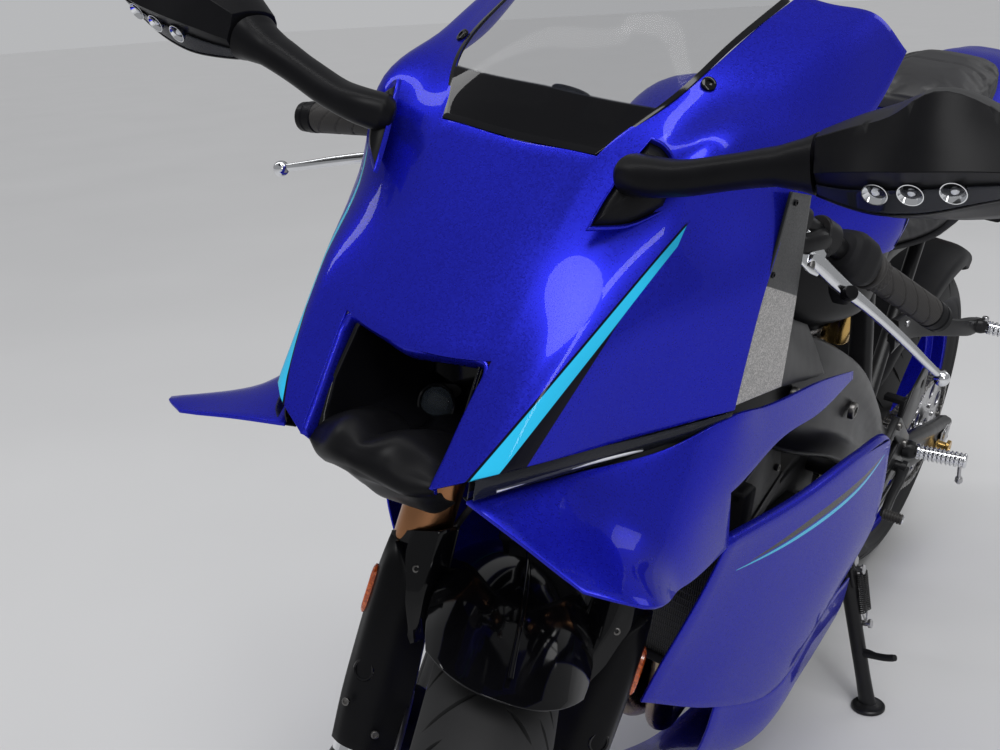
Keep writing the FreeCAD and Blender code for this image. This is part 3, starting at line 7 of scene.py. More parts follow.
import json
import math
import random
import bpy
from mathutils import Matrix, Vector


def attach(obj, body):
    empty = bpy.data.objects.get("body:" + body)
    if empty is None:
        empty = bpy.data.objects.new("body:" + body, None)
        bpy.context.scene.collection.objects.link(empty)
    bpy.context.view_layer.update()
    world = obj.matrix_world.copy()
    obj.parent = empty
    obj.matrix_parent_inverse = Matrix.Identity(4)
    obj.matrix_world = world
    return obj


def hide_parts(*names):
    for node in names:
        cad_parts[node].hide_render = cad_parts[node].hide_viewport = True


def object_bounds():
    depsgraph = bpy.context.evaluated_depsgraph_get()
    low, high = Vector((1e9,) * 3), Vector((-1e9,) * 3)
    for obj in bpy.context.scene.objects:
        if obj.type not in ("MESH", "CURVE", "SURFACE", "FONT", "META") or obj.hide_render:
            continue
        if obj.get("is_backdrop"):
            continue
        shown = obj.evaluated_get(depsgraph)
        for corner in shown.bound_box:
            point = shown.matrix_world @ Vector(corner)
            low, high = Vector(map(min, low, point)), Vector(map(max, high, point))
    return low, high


bl_info = {
    "name": "Sport motorcycle",
    "version": (1, 0, 0),
    "blender": (4, 5, 0),
    "location": "3D View > Sidebar > Motorcycle",
    "description": "Builds a parked sport motorcycle round its packed frame",
    "category": "Object",
}

import bmesh
import bpy
from bpy.props import FloatProperty, FloatVectorProperty, IntProperty, PointerProperty
from mathutils import Matrix, Vector

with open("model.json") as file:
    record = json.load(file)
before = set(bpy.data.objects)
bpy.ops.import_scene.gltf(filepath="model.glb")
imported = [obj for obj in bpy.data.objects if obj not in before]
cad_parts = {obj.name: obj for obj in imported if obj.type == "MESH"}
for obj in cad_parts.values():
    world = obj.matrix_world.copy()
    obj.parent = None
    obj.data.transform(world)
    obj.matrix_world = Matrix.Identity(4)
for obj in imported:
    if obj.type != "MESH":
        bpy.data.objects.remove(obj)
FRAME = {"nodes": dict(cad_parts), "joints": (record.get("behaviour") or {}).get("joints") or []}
CAD_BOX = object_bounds()
NODES = FRAME["nodes"]
JOINTS = {joint["name"]: joint for joint in FRAME["joints"]}

MM = 0.001
RAKE = math.radians(22.6)
FORK_OFFSET = 28.4
STEERING_LOCK = math.radians(30)
AXLE_FRONT = Vector((0, 0, 300))
AXLE_REAR = Vector((0, 1420, 317))
PIVOT = Vector((0, 868, 398))
FORK_SPREAD = 105


def shift(vector):
    """Matrix that moves by a vector in millimetres."""
    return Matrix.Translation(Vector(vector) * MM)


def upright_to_parked():
    """Matrix of the leaning machine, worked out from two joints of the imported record."""
    across = Vector(JOINTS["rear_wheel"]["axis"])
    steering = Vector(JOINTS["steering"]["axis"])
    side = across.cross(steering)
    back = steering * math.sin(RAKE) - side * math.cos(RAKE)
    up = steering * math.cos(RAKE) + side * math.sin(RAKE)
    turn = Matrix((across, back, up)).transposed().to_4x4()
    place = Vector(JOINTS["rear_wheel"]["pos_m"]) - turn @ (AXLE_REAR * MM)
    return Matrix.Translation(place) @ turn


BIKE = upright_to_parked()
STEER_ORIGIN = AXLE_FRONT + Vector((0, math.cos(RAKE), -math.sin(RAKE))) * FORK_OFFSET
STEERING = (BIKE @ shift(STEER_ORIGIN) @ Matrix.Rotation(-RAKE, 4, "X")
            @ Matrix.Rotation(STEERING_LOCK, 4, "Z"))
FRONT_WHEEL = STEERING @ shift((0, -FORK_OFFSET, 0))
REAR_WHEEL = BIKE @ shift(AXLE_REAR)


# Shaders

class Signal:
    """Socket of a node tree that takes part in Python arithmetic."""

    def __init__(self, recipe, socket):
        self.recipe = recipe
        self.socket = socket

    def math(self, operation, *values):
        return self.recipe.add("ShaderNodeMath", {"operation": operation}, values)["Value"]

    def __add__(self, other):
        return self.math("ADD", self, other)

    __radd__ = __add__

    def __sub__(self, other):
        return self.math("SUBTRACT", self, other)

    def __rsub__(self, other):
        return self.math("SUBTRACT", other, self)

    def __mul__(self, other):
        return self.math("MULTIPLY", self, other)

    __rmul__ = __mul__

    def __truediv__(self, other):
        return self.math("DIVIDE", self, other)

    def __abs__(self):
        return self.math("ABSOLUTE", self)

    def over(self, level, blur):
        """1 where the value is over a level, 0 under it, with a soft step between."""
        settings = {"interpolation_type": "SMOOTHSTEP"}
        values = {"Value": self, "From Min": level - blur, "From Max": level + blur}
        return self.recipe.add("ShaderNodeMapRange", settings, values)["Result"]


class Node:
    """A node whose outputs are signals."""

    def __init__(self, recipe, node):
        self.recipe = recipe
        self.node = node

    def __getitem__(self, name):
        if self.node.bl_idname == "ShaderNodeMix":
            return Signal(self.recipe, next(s for s in self.node.outputs if s.enabled))
        return Signal(self.recipe, self.node.outputs[name])


class Recipe:
    """A material and the nodes that make it."""

    def __init__(self, name):
        self.material = bpy.data.materials.new(name)
        self.material.use_nodes = True
        self.tree = self.material.node_tree
        self.shader = self.tree.nodes["Principled BSDF"]

    def add(self, kind, settings=None, values=None):
        """New node of a kind, its settings made first and then its sockets' values or links."""
        node = self.tree.nodes.new(kind)
        for name, value in (settings or {}).items():
            if name == "stops":
                self.set_stops(node.color_ramp, value)
            else:
                setattr(node, name, value)
        pairs = values.items() if isinstance(values, dict) else enumerate(values or ())
        for name, value in pairs:
            if kind == "ShaderNodeMix" and isinstance(name, str):
                socket = next(s for s in node.inputs if s.name == name and s.enabled)
            else:
                socket = node.inputs[name]
            self.put(socket, value)
        return Node(self, node)

    def set_stops(self, ramp, stops):
        while len(ramp.elements) < len(stops):
            ramp.elements.new(1.0)
        for element, (position, colour) in zip(ramp.elements, stops):
            element.position = position
            element.color = (*colour, 1.0)

    def put(self, socket, value):
        if isinstance(value, Signal):
            self.tree.links.new(value.socket, socket)
        elif socket.type == "RGBA" and len(value) == 3:
            socket.default_value = (*value, 1.0)
        else:
            socket.default_value = value

    def set(self, **values):
        """Sets or links sockets of the surface shader, named with underscores for spaces."""
        for name, value in values.items():
            self.put(self.shader.inputs[name.replace("_", " ")], value)
        return self

    def place(self):
        """Position on the piece in its own frame, in metres."""
        return self.add("ShaderNodeTexCoord")["Object"]

    def axes(self):
        """The three coordinates of that position in millimetres."""
        parts = self.add("ShaderNodeSeparateXYZ", values={"Vector": self.place()})
        return parts["X"] * 1000, parts["Y"] * 1000, parts["Z"] * 1000

    def noise(self, size, detail=2.0, roughness=0.5, kind="ShaderNodeTexNoise"):
        """Noise whose features are about this many millimetres across."""
        values = {"Vector": self.place(), "Scale": 1000 / size, "Detail": detail,
                  "Roughness": roughness}
        return self.add(kind, values=values)["Fac"]

    def cells(self, size):
        """Random value for each cell of about this many millimetres."""
        cell = self.add("ShaderNodeTexVoronoi", values={"Vector": self.place(), "Scale": 1000 / size})
        parts = self.add("ShaderNodeSeparateColor", values={"Color": cell["Color"]})
        return parts["Red"]

    def mix(self, share, first, second):
        """Colour between two colours."""
        values = {"Factor": share, "A": first, "B": second}
        return self.add("ShaderNodeMix", {"data_type": "RGBA"}, values)["Result"]

    def bump(self, height, strength, depth=1.0):
        """Normal of a surface with this height, depth in millimetres."""
        values = {"Strength": strength, "Distance": depth * MM, "Height": height}
        return self.add("ShaderNodeBump", values=values)["Normal"]


# Meshes

def spline_point(before, start, end, after, share):
    """Point between start and end on a smooth curve, with its neighbours where it has them."""
    slope = end - start
    span = slope.length
    leave = arrive = slope
    if before is not None:
        back = (start - before).length
        leave = (slope * back + (start - before) * (span * span / back)) / (back + span)
    if after is not None:
        ahead = (after - end).length
        arrive = (slope * ahead + (after - end) * (span * span / ahead)) / (ahead + span)
    t = share
    return (start * (1 - t * t * (3 - 2 * t)) + end * (t * t * (3 - 2 * t))
            + leave * (t * (1 - t) ** 2) - arrive * (t * t * (1 - t)))


def refine(points, steps, breaks=(), closed=False):
    """Smooth run of points through some, with a corner at each break and None left as a gap."""
    count = len(points)
    fine = []
    for i in range(count if closed else count - 1):
        around = [i - 1, i, i + 1, i + 2]
        if closed:
            before, start, end, after = (points[k % count] for k in around)
        else:
            before, start, end, after = (points[k] if 0 <= k < count else None for k in around)
        if i in breaks:
            before = None
        if (i + 1) % count in breaks:
            after = None
        for step in range(steps):
            if start is None or (step and end is None):
                fine.append(None)
            elif step == 0:
                fine.append(start.copy())
            elif (end - start).length < 1e-6:
                fine.append(start.copy())
            else:
                before = None if before is None or (start - before).length < 1e-6 else before
                after = None if after is None or (after - end).length < 1e-6 else after
                fine.append(spline_point(before, start, end, after, step / steps))
    if not closed:
        fine.append(None if points[-1] is None else points[-1].copy())
    return fine


def vectors(rows):
    """Rows of coordinates as vectors, with None kept."""
    return [[None if point is None else Vector(point) for point in row] for row in rows]


def mirrored_rows(rows):
    """Half rows that start at the middle plane, with their other half put before them."""
    whole = []
    for row in rows:
        other = [None if p is None else Vector((-p[0], p[1], p[2])) for p in row[:0:-1]]
        whole.append(other + [None if p is None else Vector(p) for p in row])
    return whole


def fine_grid(rows, along, across, row_breaks=(), column_breaks=(), closed=False):
    """Fine grid of points through a coarse grid."""
    rough = [refine(row, across, column_breaks, closed) for row in rows]
    columns = [refine([row[k] for row in rough], along, row_breaks) for k in range(len(rough[0]))]
    return [[column[i] for column in columns] for i in range(len(columns[0]))]


def grid_mesh(rows, closed=False, paint=None, caps=False):
    """Vertices, faces and material numbers of a grid of points."""
    vertices = []
    number = {}
    for i, row in enumerate(rows):
        for j, point in enumerate(row):
            if point is not None:
                number[i, j] = len(vertices)
                vertices.append(point)
    faces = []
    indices = []
    width = len(rows[0])
    for i in range(len(rows) - 1):
        for j in range(width if closed else width - 1):
            k = (j + 1) % width
            corners = [(i, j), (i, k), (i + 1, k), (i + 1, j)]
            if all(corner in number for corner in corners):
                faces.append([number[corner] for corner in corners])
                indices.append(paint(i, j) if paint else 0)
    if caps:
        faces.append([number[0, j] for j in range(width)][::-1])
        faces.append([number[len(rows) - 1, j] for j in range(width)])
        indices += [paint(0, 0) if paint else 0, paint(len(rows) - 2, 0) if paint else 0]
    return vertices, faces, indices


def add_mesh(name, vertices, faces, place, materials, indices=None, sharp=40, scale=MM):
    """New object from vertices in millimetres in its own frame."""
    mesh = bpy.data.meshes.new(name)
    mesh.from_pydata([Vector(v) * scale for v in vertices], [], faces)
    for material in materials:
        mesh.materials.append(material)
    if indices:
        mesh.polygons.foreach_set("material_index", indices)
    mesh.validate()
    smooth(mesh, sharp)
    thing = bpy.data.objects.new(name, mesh)
    bpy.context.scene.collection.objects.link(thing)
    thing.matrix_world = place
    return thing


def smooth(mesh, sharp):
    """Smooth shading, with edges sharper than an angle kept."""
    mesh.polygons.foreach_set("use_smooth", [True] * len(mesh.polygons))
    mesh.set_sharp_from_angle(angle=math.radians(sharp))


def tidy_mesh(thing, distance=0.02):
    """Joins points that coincide and turns every face outwards."""
    work = bmesh.new()
    work.from_mesh(thing.data)
    bmesh.ops.remove_doubles(work, verts=work.verts, dist=distance * MM)
    bmesh.ops.recalc_face_normals(work, faces=work.faces)
    work.to_mesh(thing.data)
    work.free()
    return thing


def modify(thing, kind, **settings):
    """Adds a modifier with its settings."""
    modifier = thing.modifiers.new(kind.title(), kind)
    for name, value in settings.items():
        setattr(modifier, name, value)
    return modifier


def thicken(thing, thickness, edge=0.6, offset=-1, rim=None):
    """Gives a skin its thickness and rounds its rim."""
    settings = {"thickness": thickness * MM, "offset": offset, "use_even_offset": True,
                "use_quality_normals": True, "thickness_clamp": 1.5}
    if rim is not None:
        settings["material_offset_rim"] = rim
    modify(thing, "SOLIDIFY", **settings)
    if edge:
        round_edges(thing, edge)


def round_edges(thing, width, segments=2, angle=50):
    """Rounds the edges that are sharper than an angle."""
    modify(thing, "BEVEL", width=width * MM, segments=segments, limit_method="ANGLE",
           angle_limit=math.radians(angle), use_clamp_overlap=True, harden_normals=False)


def mirror(thing):
    """Adds the other side of the machine."""
    modify(thing, "MIRROR", use_axis=(True, False, False), use_mirror_merge=True,
           merge_threshold=0.02 * MM)


def ride(thing, body, slot, *replaced):
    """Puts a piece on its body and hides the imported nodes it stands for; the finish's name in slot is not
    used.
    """
    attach(thing, body)
    if replaced:
        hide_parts(*replaced)
    return thing


def panel(name, rows, materials, along=6, across=6, row_breaks=(), column_breaks=(),
          thickness=3.0, edge=0.6, whole=False, sides=2, paint=None, place=None, flip=False,
          sharp=40, rim=None):
    """Moulded panel through a coarse grid of points: one half of a pair, or one across the middle."""
    grid = mirrored_rows(rows) if whole else vectors(rows)
    fine = fine_grid(grid, along, across, row_breaks, column_breaks)
    vertices, faces, indices = grid_mesh(fine, paint=paint)
    if flip:
        faces = [face[::-1] for face in faces]
    thing = add_mesh(name, vertices, faces, BIKE if place is None else place, materials, indices, sharp)
    if sides == 2 and not whole:
        mirror(thing)
    if thickness:
        thicken(thing, thickness, edge, rim=rim)
    return thing


def loft(name, loops, materials, along=4, around=3, breaks=(), corners=(), place=None, edge=0,
         sides=1, paint=None, sharp=40, caps=True):
    """Closed solid through loops of the same number of points."""
    fine = fine_grid(vectors(loops), along, around, breaks, corners, closed=True)
    vertices, faces, indices = grid_mesh(fine, closed=True, paint=paint, caps=caps)
    thing = add_mesh(name, vertices, faces, BIKE if place is None else place, materials, indices, sharp)
    tidy_mesh(thing)
    if sides == 2:
        mirror(thing)
    if edge:
        round_edges(thing, edge)
    return thing


def transported(points):
    """Pairs of directions square to a path, carried along it without twist."""
    frames = []
    side = None
    for i in range(len(points)):
        ahead = (points[min(i + 1, len(points) - 1)] - points[max(i - 1, 0)]).normalized()
        if side is None:
            guess = Vector((0, 0, 1)) if abs(ahead.z) < 0.9 else Vector((0, 1, 0))
            side = ahead.cross(guess).normalized()
        side = (side - ahead * side.dot(ahead)).normalized()
        frames.append((side, ahead.cross(side).normalized()))
    return frames


def round_sections(stations, sides=20, steps=5, square=1.0, flat=None):
    """Loops round a path; a station is a point and one radius or a pair of them."""
    centres = refine([Vector(s[0]) for s in stations], steps)
    sizes = [s[1] if isinstance(s[1], (tuple, list)) else (s[1], s[1]) for s in stations]
    radii = refine([Vector((a, b, i * 0.01)) for i, (a, b) in enumerate(sizes)], steps)
    loops = []
    for centre, radius, (side, up) in zip(centres, radii, transported(centres)):
        if flat is not None:
            ahead = side.cross(up)
            up = (Vector(flat) - ahead * ahead.dot(Vector(flat))).normalized()
            side = up.cross(ahead)
        loop = []
        for k in range(sides):
            angle = math.tau * k / sides
            c, s = math.cos(angle), math.sin(angle)
            c = math.copysign(abs(c) ** square, c)
            s = math.copysign(abs(s) ** square, s)
            loop.append(centre + side * (radius.x * c) + up * (radius.y * s))
        loops.append(loop)
    return loops


def rod(name, stations, materials, place=None, sides=20, steps=5, square=1.0, flat=None, edge=0,
        paint=None, sharp=40, mirrored=False):
    """Solid of round or oval section along a path."""
    loops = round_sections(stations, sides, steps, square, flat)
    vertices, faces, indices = grid_mesh(loops, closed=True, paint=paint, caps=True)
    thing = add_mesh(name, vertices, faces, BIKE if place is None else place, materials, indices, sharp)
    tidy_mesh(thing)
    if mirrored:
        mirror(thing)
    if edge:
        round_edges(thing, edge)
    return thing


def lathe(name, profile, materials, place, sides=64, edge=0, sharp=35, closed=False, paint=None):
    """Turned piece about the frame's x axis; the profile's points are (radius, place along it)."""
    rows = []
    for k in range(sides):
        angle = math.tau * k / sides
        rows.append([Vector((x, r * math.cos(angle), r * math.sin(angle))) for r, x in profile])
    vertices = [p for row in rows for p in row]
    width = len(profile)
    faces = []
    indices = []
    for k in range(sides):
        n = (k + 1) % sides
        for j in range(width if closed else width - 1):
            m = (j + 1) % width
            faces.append([k * width + j, k * width + m, n * width + m, n * width + j])
            indices.append(paint(k, j) if paint else 0)
    thing = add_mesh(name, vertices, faces, place, materials, indices, sharp)
    tidy_mesh(thing)
    if edge:
        round_edges(thing, edge)
    return thing


def along_x(centre, direction, place=None):
    """Frame whose x axis runs along a direction of the machine, at a point in millimetres."""
    turn = Vector(direction).to_track_quat("X", "Z").to_matrix().to_4x4()
    return (BIKE if place is None else place) @ shift(centre) @ turn


def circle(radius, count, centre=(0, 0), start=0.0):
    """Points of a circle in a plane."""
    step = math.tau / count
    return [(centre[0] + radius * math.cos(start + k * step),
             centre[1] + radius * math.sin(start + k * step)) for k in range(count)]


def plate(name, outline, holes, thickness, materials, place, edge=0.4, sharp=40):
    """Flat plate with holes, drawn in the frame's y and z and as thick along its x."""
    work = bmesh.new()
    for loop in [outline] + list(holes):
        corners = [work.verts.new((0, y * MM, z * MM)) for y, z in loop]
        for k, corner in enumerate(corners):
            work.edges.new((corner, corners[(k + 1) % len(corners)]))
    bmesh.ops.triangle_fill(work, edges=work.edges, use_beauty=True, use_dissolve=False)
    mesh = bpy.data.meshes.new(name)
    work.to_mesh(mesh)
    work.free()
    for material in materials:
        mesh.materials.append(material)
    smooth(mesh, sharp)
    thing = bpy.data.objects.new(name, mesh)
    bpy.context.scene.collection.objects.link(thing)
    thing.matrix_world = place
    modify(thing, "SOLIDIFY", thickness=thickness * MM, offset=0)
    if edge:
        round_edges(thing, edge)
    return thing


def joined(name, things):
    """One object from several in the same frame, each with its modifiers applied."""
    first = things[0]
    work = bmesh.new()
    materials = []
    graph = bpy.context.evaluated_depsgraph_get()
    home = first.matrix_world.inverted()
    for thing in things:
        shape = bpy.data.meshes.new_from_object(thing.evaluated_get(graph))
        shape.transform(home @ thing.matrix_world)
        numbers = []
        for material in shape.materials:
            if material not in materials:
                materials.append(material)
            numbers.append(materials.index(material))
        for polygon in shape.polygons:
            polygon.material_index = numbers[polygon.material_index] if numbers else 0
        work.from_mesh(shape)
        bpy.data.meshes.remove(shape)
    mesh = bpy.data.meshes.new(name)
    work.to_mesh(mesh)
    work.free()
    for material in materials:
        mesh.materials.append(material)
    whole = bpy.data.objects.new(name, mesh)
    bpy.context.scene.collection.objects.link(whole)
    whole.matrix_world = first.matrix_world
    for thing in things:
        bpy.data.objects.remove(thing)
    return whole


def screws(name, spots, radius, height, materials, frame, socket=0.5, domed=True):
    """Socket-headed screws at points and directions of a frame."""
    vertices = []
    faces = []
    indices = []
    sides = 24
    rings = [(radius, -0.4 * height, 0), (radius, 0.6 * height, 0)]
    if domed:
        rings += [(0.93 * radius, 0.86 * height, 0), (0.78 * radius, height, 0)]
    else:
        rings += [(0.94 * radius, height, 0)]
    rings += [(socket * radius, height, 1), (socket * radius * 0.96, 0.35 * height, 1),
              (0.02 * radius, 0.25 * height, 1)]
    for centre, direction in spots:
        turn = Vector(direction).to_track_quat("X", "Z").to_matrix()
        base = len(vertices)
        for r, x, inner in rings:
            for k in range(sides):
                angle = math.tau * k / sides
                reach = r
                if inner:
                    sector = (angle + math.pi / 6) % (math.pi / 3) - math.pi / 6
                    reach = r / math.cos(sector)
                spot = Vector((x, reach * math.cos(angle), reach * math.sin(angle)))
                vertices.append(Vector(centre) + turn @ spot)
        for i in range(len(rings) - 1):
            for k in range(sides):
                n = (k + 1) % sides
                faces.append([base + i * sides + k, base + i * sides + n,
                              base + (i + 1) * sides + n, base + (i + 1) * sides + k])
                indices.append(0)
    thing = add_mesh(name, vertices, faces, frame, materials, indices, 35)
    return thing


# Finishes

def looks():
    """Sizes and colours that a user may change."""
    return bpy.context.scene.motorcycle_looks


def flaked_paint(recipe, colour, deep, share=None, other=None):
    """Metallic paint under a clear coat, part of it in another colour where a mask is given."""
    flakes = recipe.cells(1.1)
    drift = recipe.noise(90, 3.0)
    base = recipe.mix(flakes * 0.22 + drift * 0.2 + 0.22, deep, colour)
    metal = 0.72
    if share is not None:
        base = recipe.mix(share, base, other)
        metal = (1 - share) * 0.72
    recipe.set(Base_Color=base, Metallic=metal, Roughness=flakes * 0.12 + 0.26, Coat_Weight=0.38,
               Coat_Roughness=0.02, Coat_IOR=1.4, IOR=1.2, Specular_Tint=(0.05, 0.06, 0.6),
               Normal=recipe.bump(flakes, 0.12, 0.05))
    return recipe


def paint_blue(name):
    recipe = Recipe(name)
    return flaked_paint(recipe, looks().paint, looks().paint_shade).material


def plane_over(axes, points, inside, blur=0.25):
    """1 on one point's side of a plane through three points of the machine, with a soft edge."""
    a, b, c = (Vector(p) for p in points)
    normal = (b - a).cross(c - a).normalized()
    if normal.dot(Vector(inside) - a) < 0:
        normal.negate()
    x, y, z = axes
    return (x * normal.x + y * normal.y + z * normal.z).over(normal.dot(a), blur)


def plain(name, colour, roughness=0.4, metallic=0.0, coat=0.0, grain=None, depth=0.05, strength=0.3,
          wear=0.12, size=25, **more):
    """Finish of one colour with slow variation, and a grain of a size in millimetres."""
    recipe = Recipe(name)
    drift = recipe.noise(size, 4.0)
    lighter = [min(1, c * (1 + 2.2 * wear) + 0.01 * wear) for c in colour]
    darker = [c * (1 - wear) for c in colour]
    recipe.set(Base_Color=recipe.mix(drift, darker, lighter), Metallic=metallic,
               Roughness=drift * (0.5 * roughness * wear * 4) + roughness * (1 - wear), **more)
    if coat:
        recipe.set(Coat_Weight=coat, Coat_Roughness=0.03)
    if grain:
        recipe.set(Normal=recipe.bump(recipe.noise(grain, 3.0, 0.6), strength, depth))
    return recipe.material


def black_gloss(name):
    return plain(name, (0.003, 0.003, 0.004), 0.08, grain=60, depth=0.15, strength=0.15, IOR=1.36)


def black_satin(name):
    return plain(name, (0.005, 0.005, 0.006), 0.36, grain=0.7, depth=0.03, strength=0.3, IOR=1.2)


def black_grained(name):
    """Moulded plastic with a coarse grain."""
    recipe = Recipe(name)
    grain = recipe.cells(0.8) * 0.6 + recipe.noise(0.6) * 0.5
    drift = recipe.noise(40)
    recipe.set(Base_Color=recipe.mix(drift, (0.007, 0.007, 0.008), (0.015, 0.015, 0.017)),
               Roughness=drift * 0.12 + 0.48, IOR=1.24,
               Normal=recipe.bump(grain, 0.4, 0.08))
    return recipe.material


def black_alloy(name):
    """Powder-coated castings and brackets."""
    return plain(name, (0.008, 0.008, 0.009), 0.34, metallic=0.1, grain=1.6, depth=0.06,
                 strength=0.35, wear=0.2, IOR=1.34)


def engine_black(name):
    return plain(name, (0.014, 0.014, 0.016), 0.4, metallic=0.4, grain=1.2, depth=0.1,
                 strength=0.5, wear=0.25)


def cast_alloy(name):
    return plain(name, (0.42, 0.42, 0.43), 0.38, metallic=1.0, grain=0.9, depth=0.08, strength=0.4)


def polished_alloy(name):
    return plain(name, (0.78, 0.79, 0.81), 0.16, metallic=1.0, grain=12, depth=0.06, strength=0.2,
                 wear=0.06)


def chrome(name):
    return plain(name, (0.85, 0.86, 0.88), 0.05, metallic=1.0, wear=0.03)


def bare_steel(name):
    return plain(name, (0.45, 0.45, 0.46), 0.3, metallic=1.0, grain=2.0, depth=0.02)


def dark_steel(name):
    return plain(name, (0.16, 0.155, 0.15), 0.35, metallic=1.0, grain=1.5, depth=0.03)


def gold_alloy(name):
    return plain(name, (0.62, 0.40, 0.13), 0.24, metallic=1.0, grain=0.5, depth=0.01, wear=0.08)


def bronze_alloy(name):
    return plain(name, (0.36, 0.17, 0.08), 0.26, metallic=1.0, grain=0.5, depth=0.01, wear=0.08)


def ground_steel(name):
    """Brake disc: turned marks round the axle."""
    recipe = Recipe(name)
    _, y, z = recipe.axes()
    reach = recipe.add("ShaderNodeMath", {"operation": "SQRT"}, [y * y + z * z])["Value"]
    ring = recipe.add("ShaderNodeTexNoise", {"noise_dimensions": "1D"},
                      {"W": reach, "Scale": 2.2, "Detail": 4.0, "Roughness": 0.8})["Fac"]
    drift = recipe.noise(30)
    recipe.set(Base_Color=recipe.mix(ring, (0.36, 0.36, 0.37), (0.62, 0.62, 0.64)), Metallic=1.0,
               Roughness=drift * 0.12 + 0.24, Normal=recipe.bump(ring, 0.4, 0.06))
    return recipe.material


def exhaust_steel(name):
    """Headers: steel with heat colours that change along the pipe."""
    recipe = Recipe(name)
    heat = recipe.noise(120, 2.0)
    ramp = recipe.add("ShaderNodeValToRGB", {"stops": [
        (0.0, (0.36, 0.33, 0.30)), (0.42, (0.42, 0.33, 0.22)), (0.55, (0.30, 0.20, 0.22)),
        (0.68, (0.20, 0.22, 0.33)), (1.0, (0.42, 0.40, 0.38))]}, {"Fac": heat})["Color"]
    recipe.set(Base_Color=ramp, Metallic=1.0, Roughness=recipe.noise(8) * 0.2 + 0.2,
               Normal=recipe.bump(recipe.noise(3), 0.2, 0.05))
    return recipe.material


def tyre_rubber(name):
    """Tyre: fine ground texture with a slightly lighter bloom."""
    recipe = Recipe(name)
    grain = recipe.noise(1.0, 4.0, 0.7)
    bloom = recipe.noise(35, 3.0)
    recipe.set(Base_Color=recipe.mix(bloom, (0.010, 0.010, 0.011), (0.022, 0.022, 0.023)),
               Roughness=bloom * 0.15 + 0.62, Normal=recipe.bump(grain, 0.5, 0.12))
    return recipe.material


def grip_rubber(name):
    return plain(name, (0.022, 0.02, 0.019), 0.6, grain=0.5, depth=0.05, strength=0.5)


def hose_rubber(name):
    """Hose: fine woven cover."""
    recipe = Recipe(name)
    weave = recipe.add("ShaderNodeTexWave", {"wave_type": "BANDS", "bands_direction": "DIAGONAL"},
                       {"Vector": recipe.place(), "Scale": 500.0, "Distortion": 1.0})["Fac"]
    recipe.set(Base_Color=recipe.mix(weave, (0.01, 0.01, 0.011), (0.03, 0.03, 0.032)), Roughness=0.5,
               Normal=recipe.bump(weave, 0.3, 0.1))
    return recipe.material


def seat_vinyl(name):
    """Seat cover: pebbled vinyl with soft creases."""
    recipe = Recipe(name)
    pebble = recipe.add("ShaderNodeTexVoronoi", {"feature": "SMOOTH_F1"},
                        {"Vector": recipe.place(), "Scale": 700.0, "Smoothness": 0.6})["Distance"]
    crease = recipe.noise(28, 4.0, 0.6)
    recipe.set(Base_Color=recipe.mix(crease, (0.012, 0.012, 0.013), (0.028, 0.028, 0.031)),
               Roughness=crease * 0.18 + 0.42,
               Normal=recipe.bump(pebble * 0.7 + crease * 1.2, 0.45, 0.35))
    return recipe.material


def grey_metallic(name):
    """Metallic grey with a bright coarse flake, and a painted shade in satin black over the upper half for
    the mirror's shadow; the grey below stands for the lit part.
    """
    recipe = Recipe(name)
    front, height, slope = 150, 931, 0.35
    _, y, z = recipe.axes()
    # Mask of the painted shade: the mirror's shadow over the strip's upper half.
    upper = (z + (y - front) * slope).over(height, 0.5)
    flakes = recipe.cells(1.0)
    spark = flakes.over(0.65, 0.2)
    base = recipe.mix(flakes, (0.24, 0.235, 0.23), (0.40, 0.39, 0.38))
    bright = recipe.mix(spark, base, (0.6, 0.58, 0.57))
    # The painted shade's near-black goes in over the upper half, with the metal taken out there.
    recipe.set(Base_Color=recipe.mix(upper, bright, (0.006, 0.007, 0.009)), Metallic=(1 - upper) * 0.75,
               Roughness=flakes * 0.12 + 0.34, Normal=recipe.bump(flakes, 0.3, 0.06), IOR=1.36)
    return recipe.material


def glassy(name, colour, tint=0.12, roughness=0.02):
    """Clear plastic seen through, with a slight tint that thickens in places."""
    recipe = Recipe(name)
    drift = recipe.noise(70)
    recipe.set(Base_Color=recipe.mix(drift, [c * 0.9 for c in colour], colour),
               Roughness=drift * 0.01 + roughness, Alpha=drift * 0.04 + tint, IOR=1.36)
    return recipe.material


def clear_screen(name):
    """Clear screen with the dark band along its foot."""
    recipe = Recipe(name)
    band_top, droop = 1064, 0.02
    x, _, z = recipe.axes()
    band = 1 - (z + abs(x) * droop).over(band_top, 0.6)
    recipe.set(Base_Color=recipe.mix(band, (0.05, 0.055, 0.07), (0.004, 0.004, 0.005)),
               Roughness=recipe.noise(70) * 0.01 + 0.02, Alpha=band * 0.84 + 0.12, IOR=1.3)
    return recipe.material


def lens_clear(name):
    return glassy(name, (0.75, 0.8, 0.86), 0.22)


def lens_smoke(name):
    return glassy(name, (0.02, 0.022, 0.03), 0.72)


def lamp_glass(name):
    return glassy(name, (0.06, 0.075, 0.09), 0.5)


def red_lens(name):
    recipe = Recipe(name)
    ribs = recipe.add("ShaderNodeTexWave", {"bands_direction": "X"},
                      {"Vector": recipe.place(), "Scale": 120.0})["Fac"]
    recipe.set(Base_Color=recipe.mix(ribs, (0.30, 0.004, 0.004), (0.55, 0.012, 0.01)),
               Roughness=ribs * 0.1 + 0.1, Coat_Weight=1.0, Normal=recipe.bump(ribs, 0.3, 0.3))
    return recipe.material


def amber_reflector(name):
    recipe = Recipe(name)
    prism = recipe.cells(2.6)
    recipe.set(Base_Color=recipe.mix(prism, (0.42, 0.06, 0.01), (0.85, 0.16, 0.02)),
               Roughness=prism * 0.2 + 0.12, Coat_Weight=1.0, Normal=recipe.bump(prism, 0.5, 0.4))
    return recipe.material


def led_white(name):
    recipe = Recipe(name)
    spot = recipe.noise(6)
    recipe.set(Base_Color=recipe.mix(spot, (0.55, 0.58, 0.62), (0.95, 0.96, 1.0)), Roughness=0.2,
               Coat_Weight=1.0)
    return recipe.material


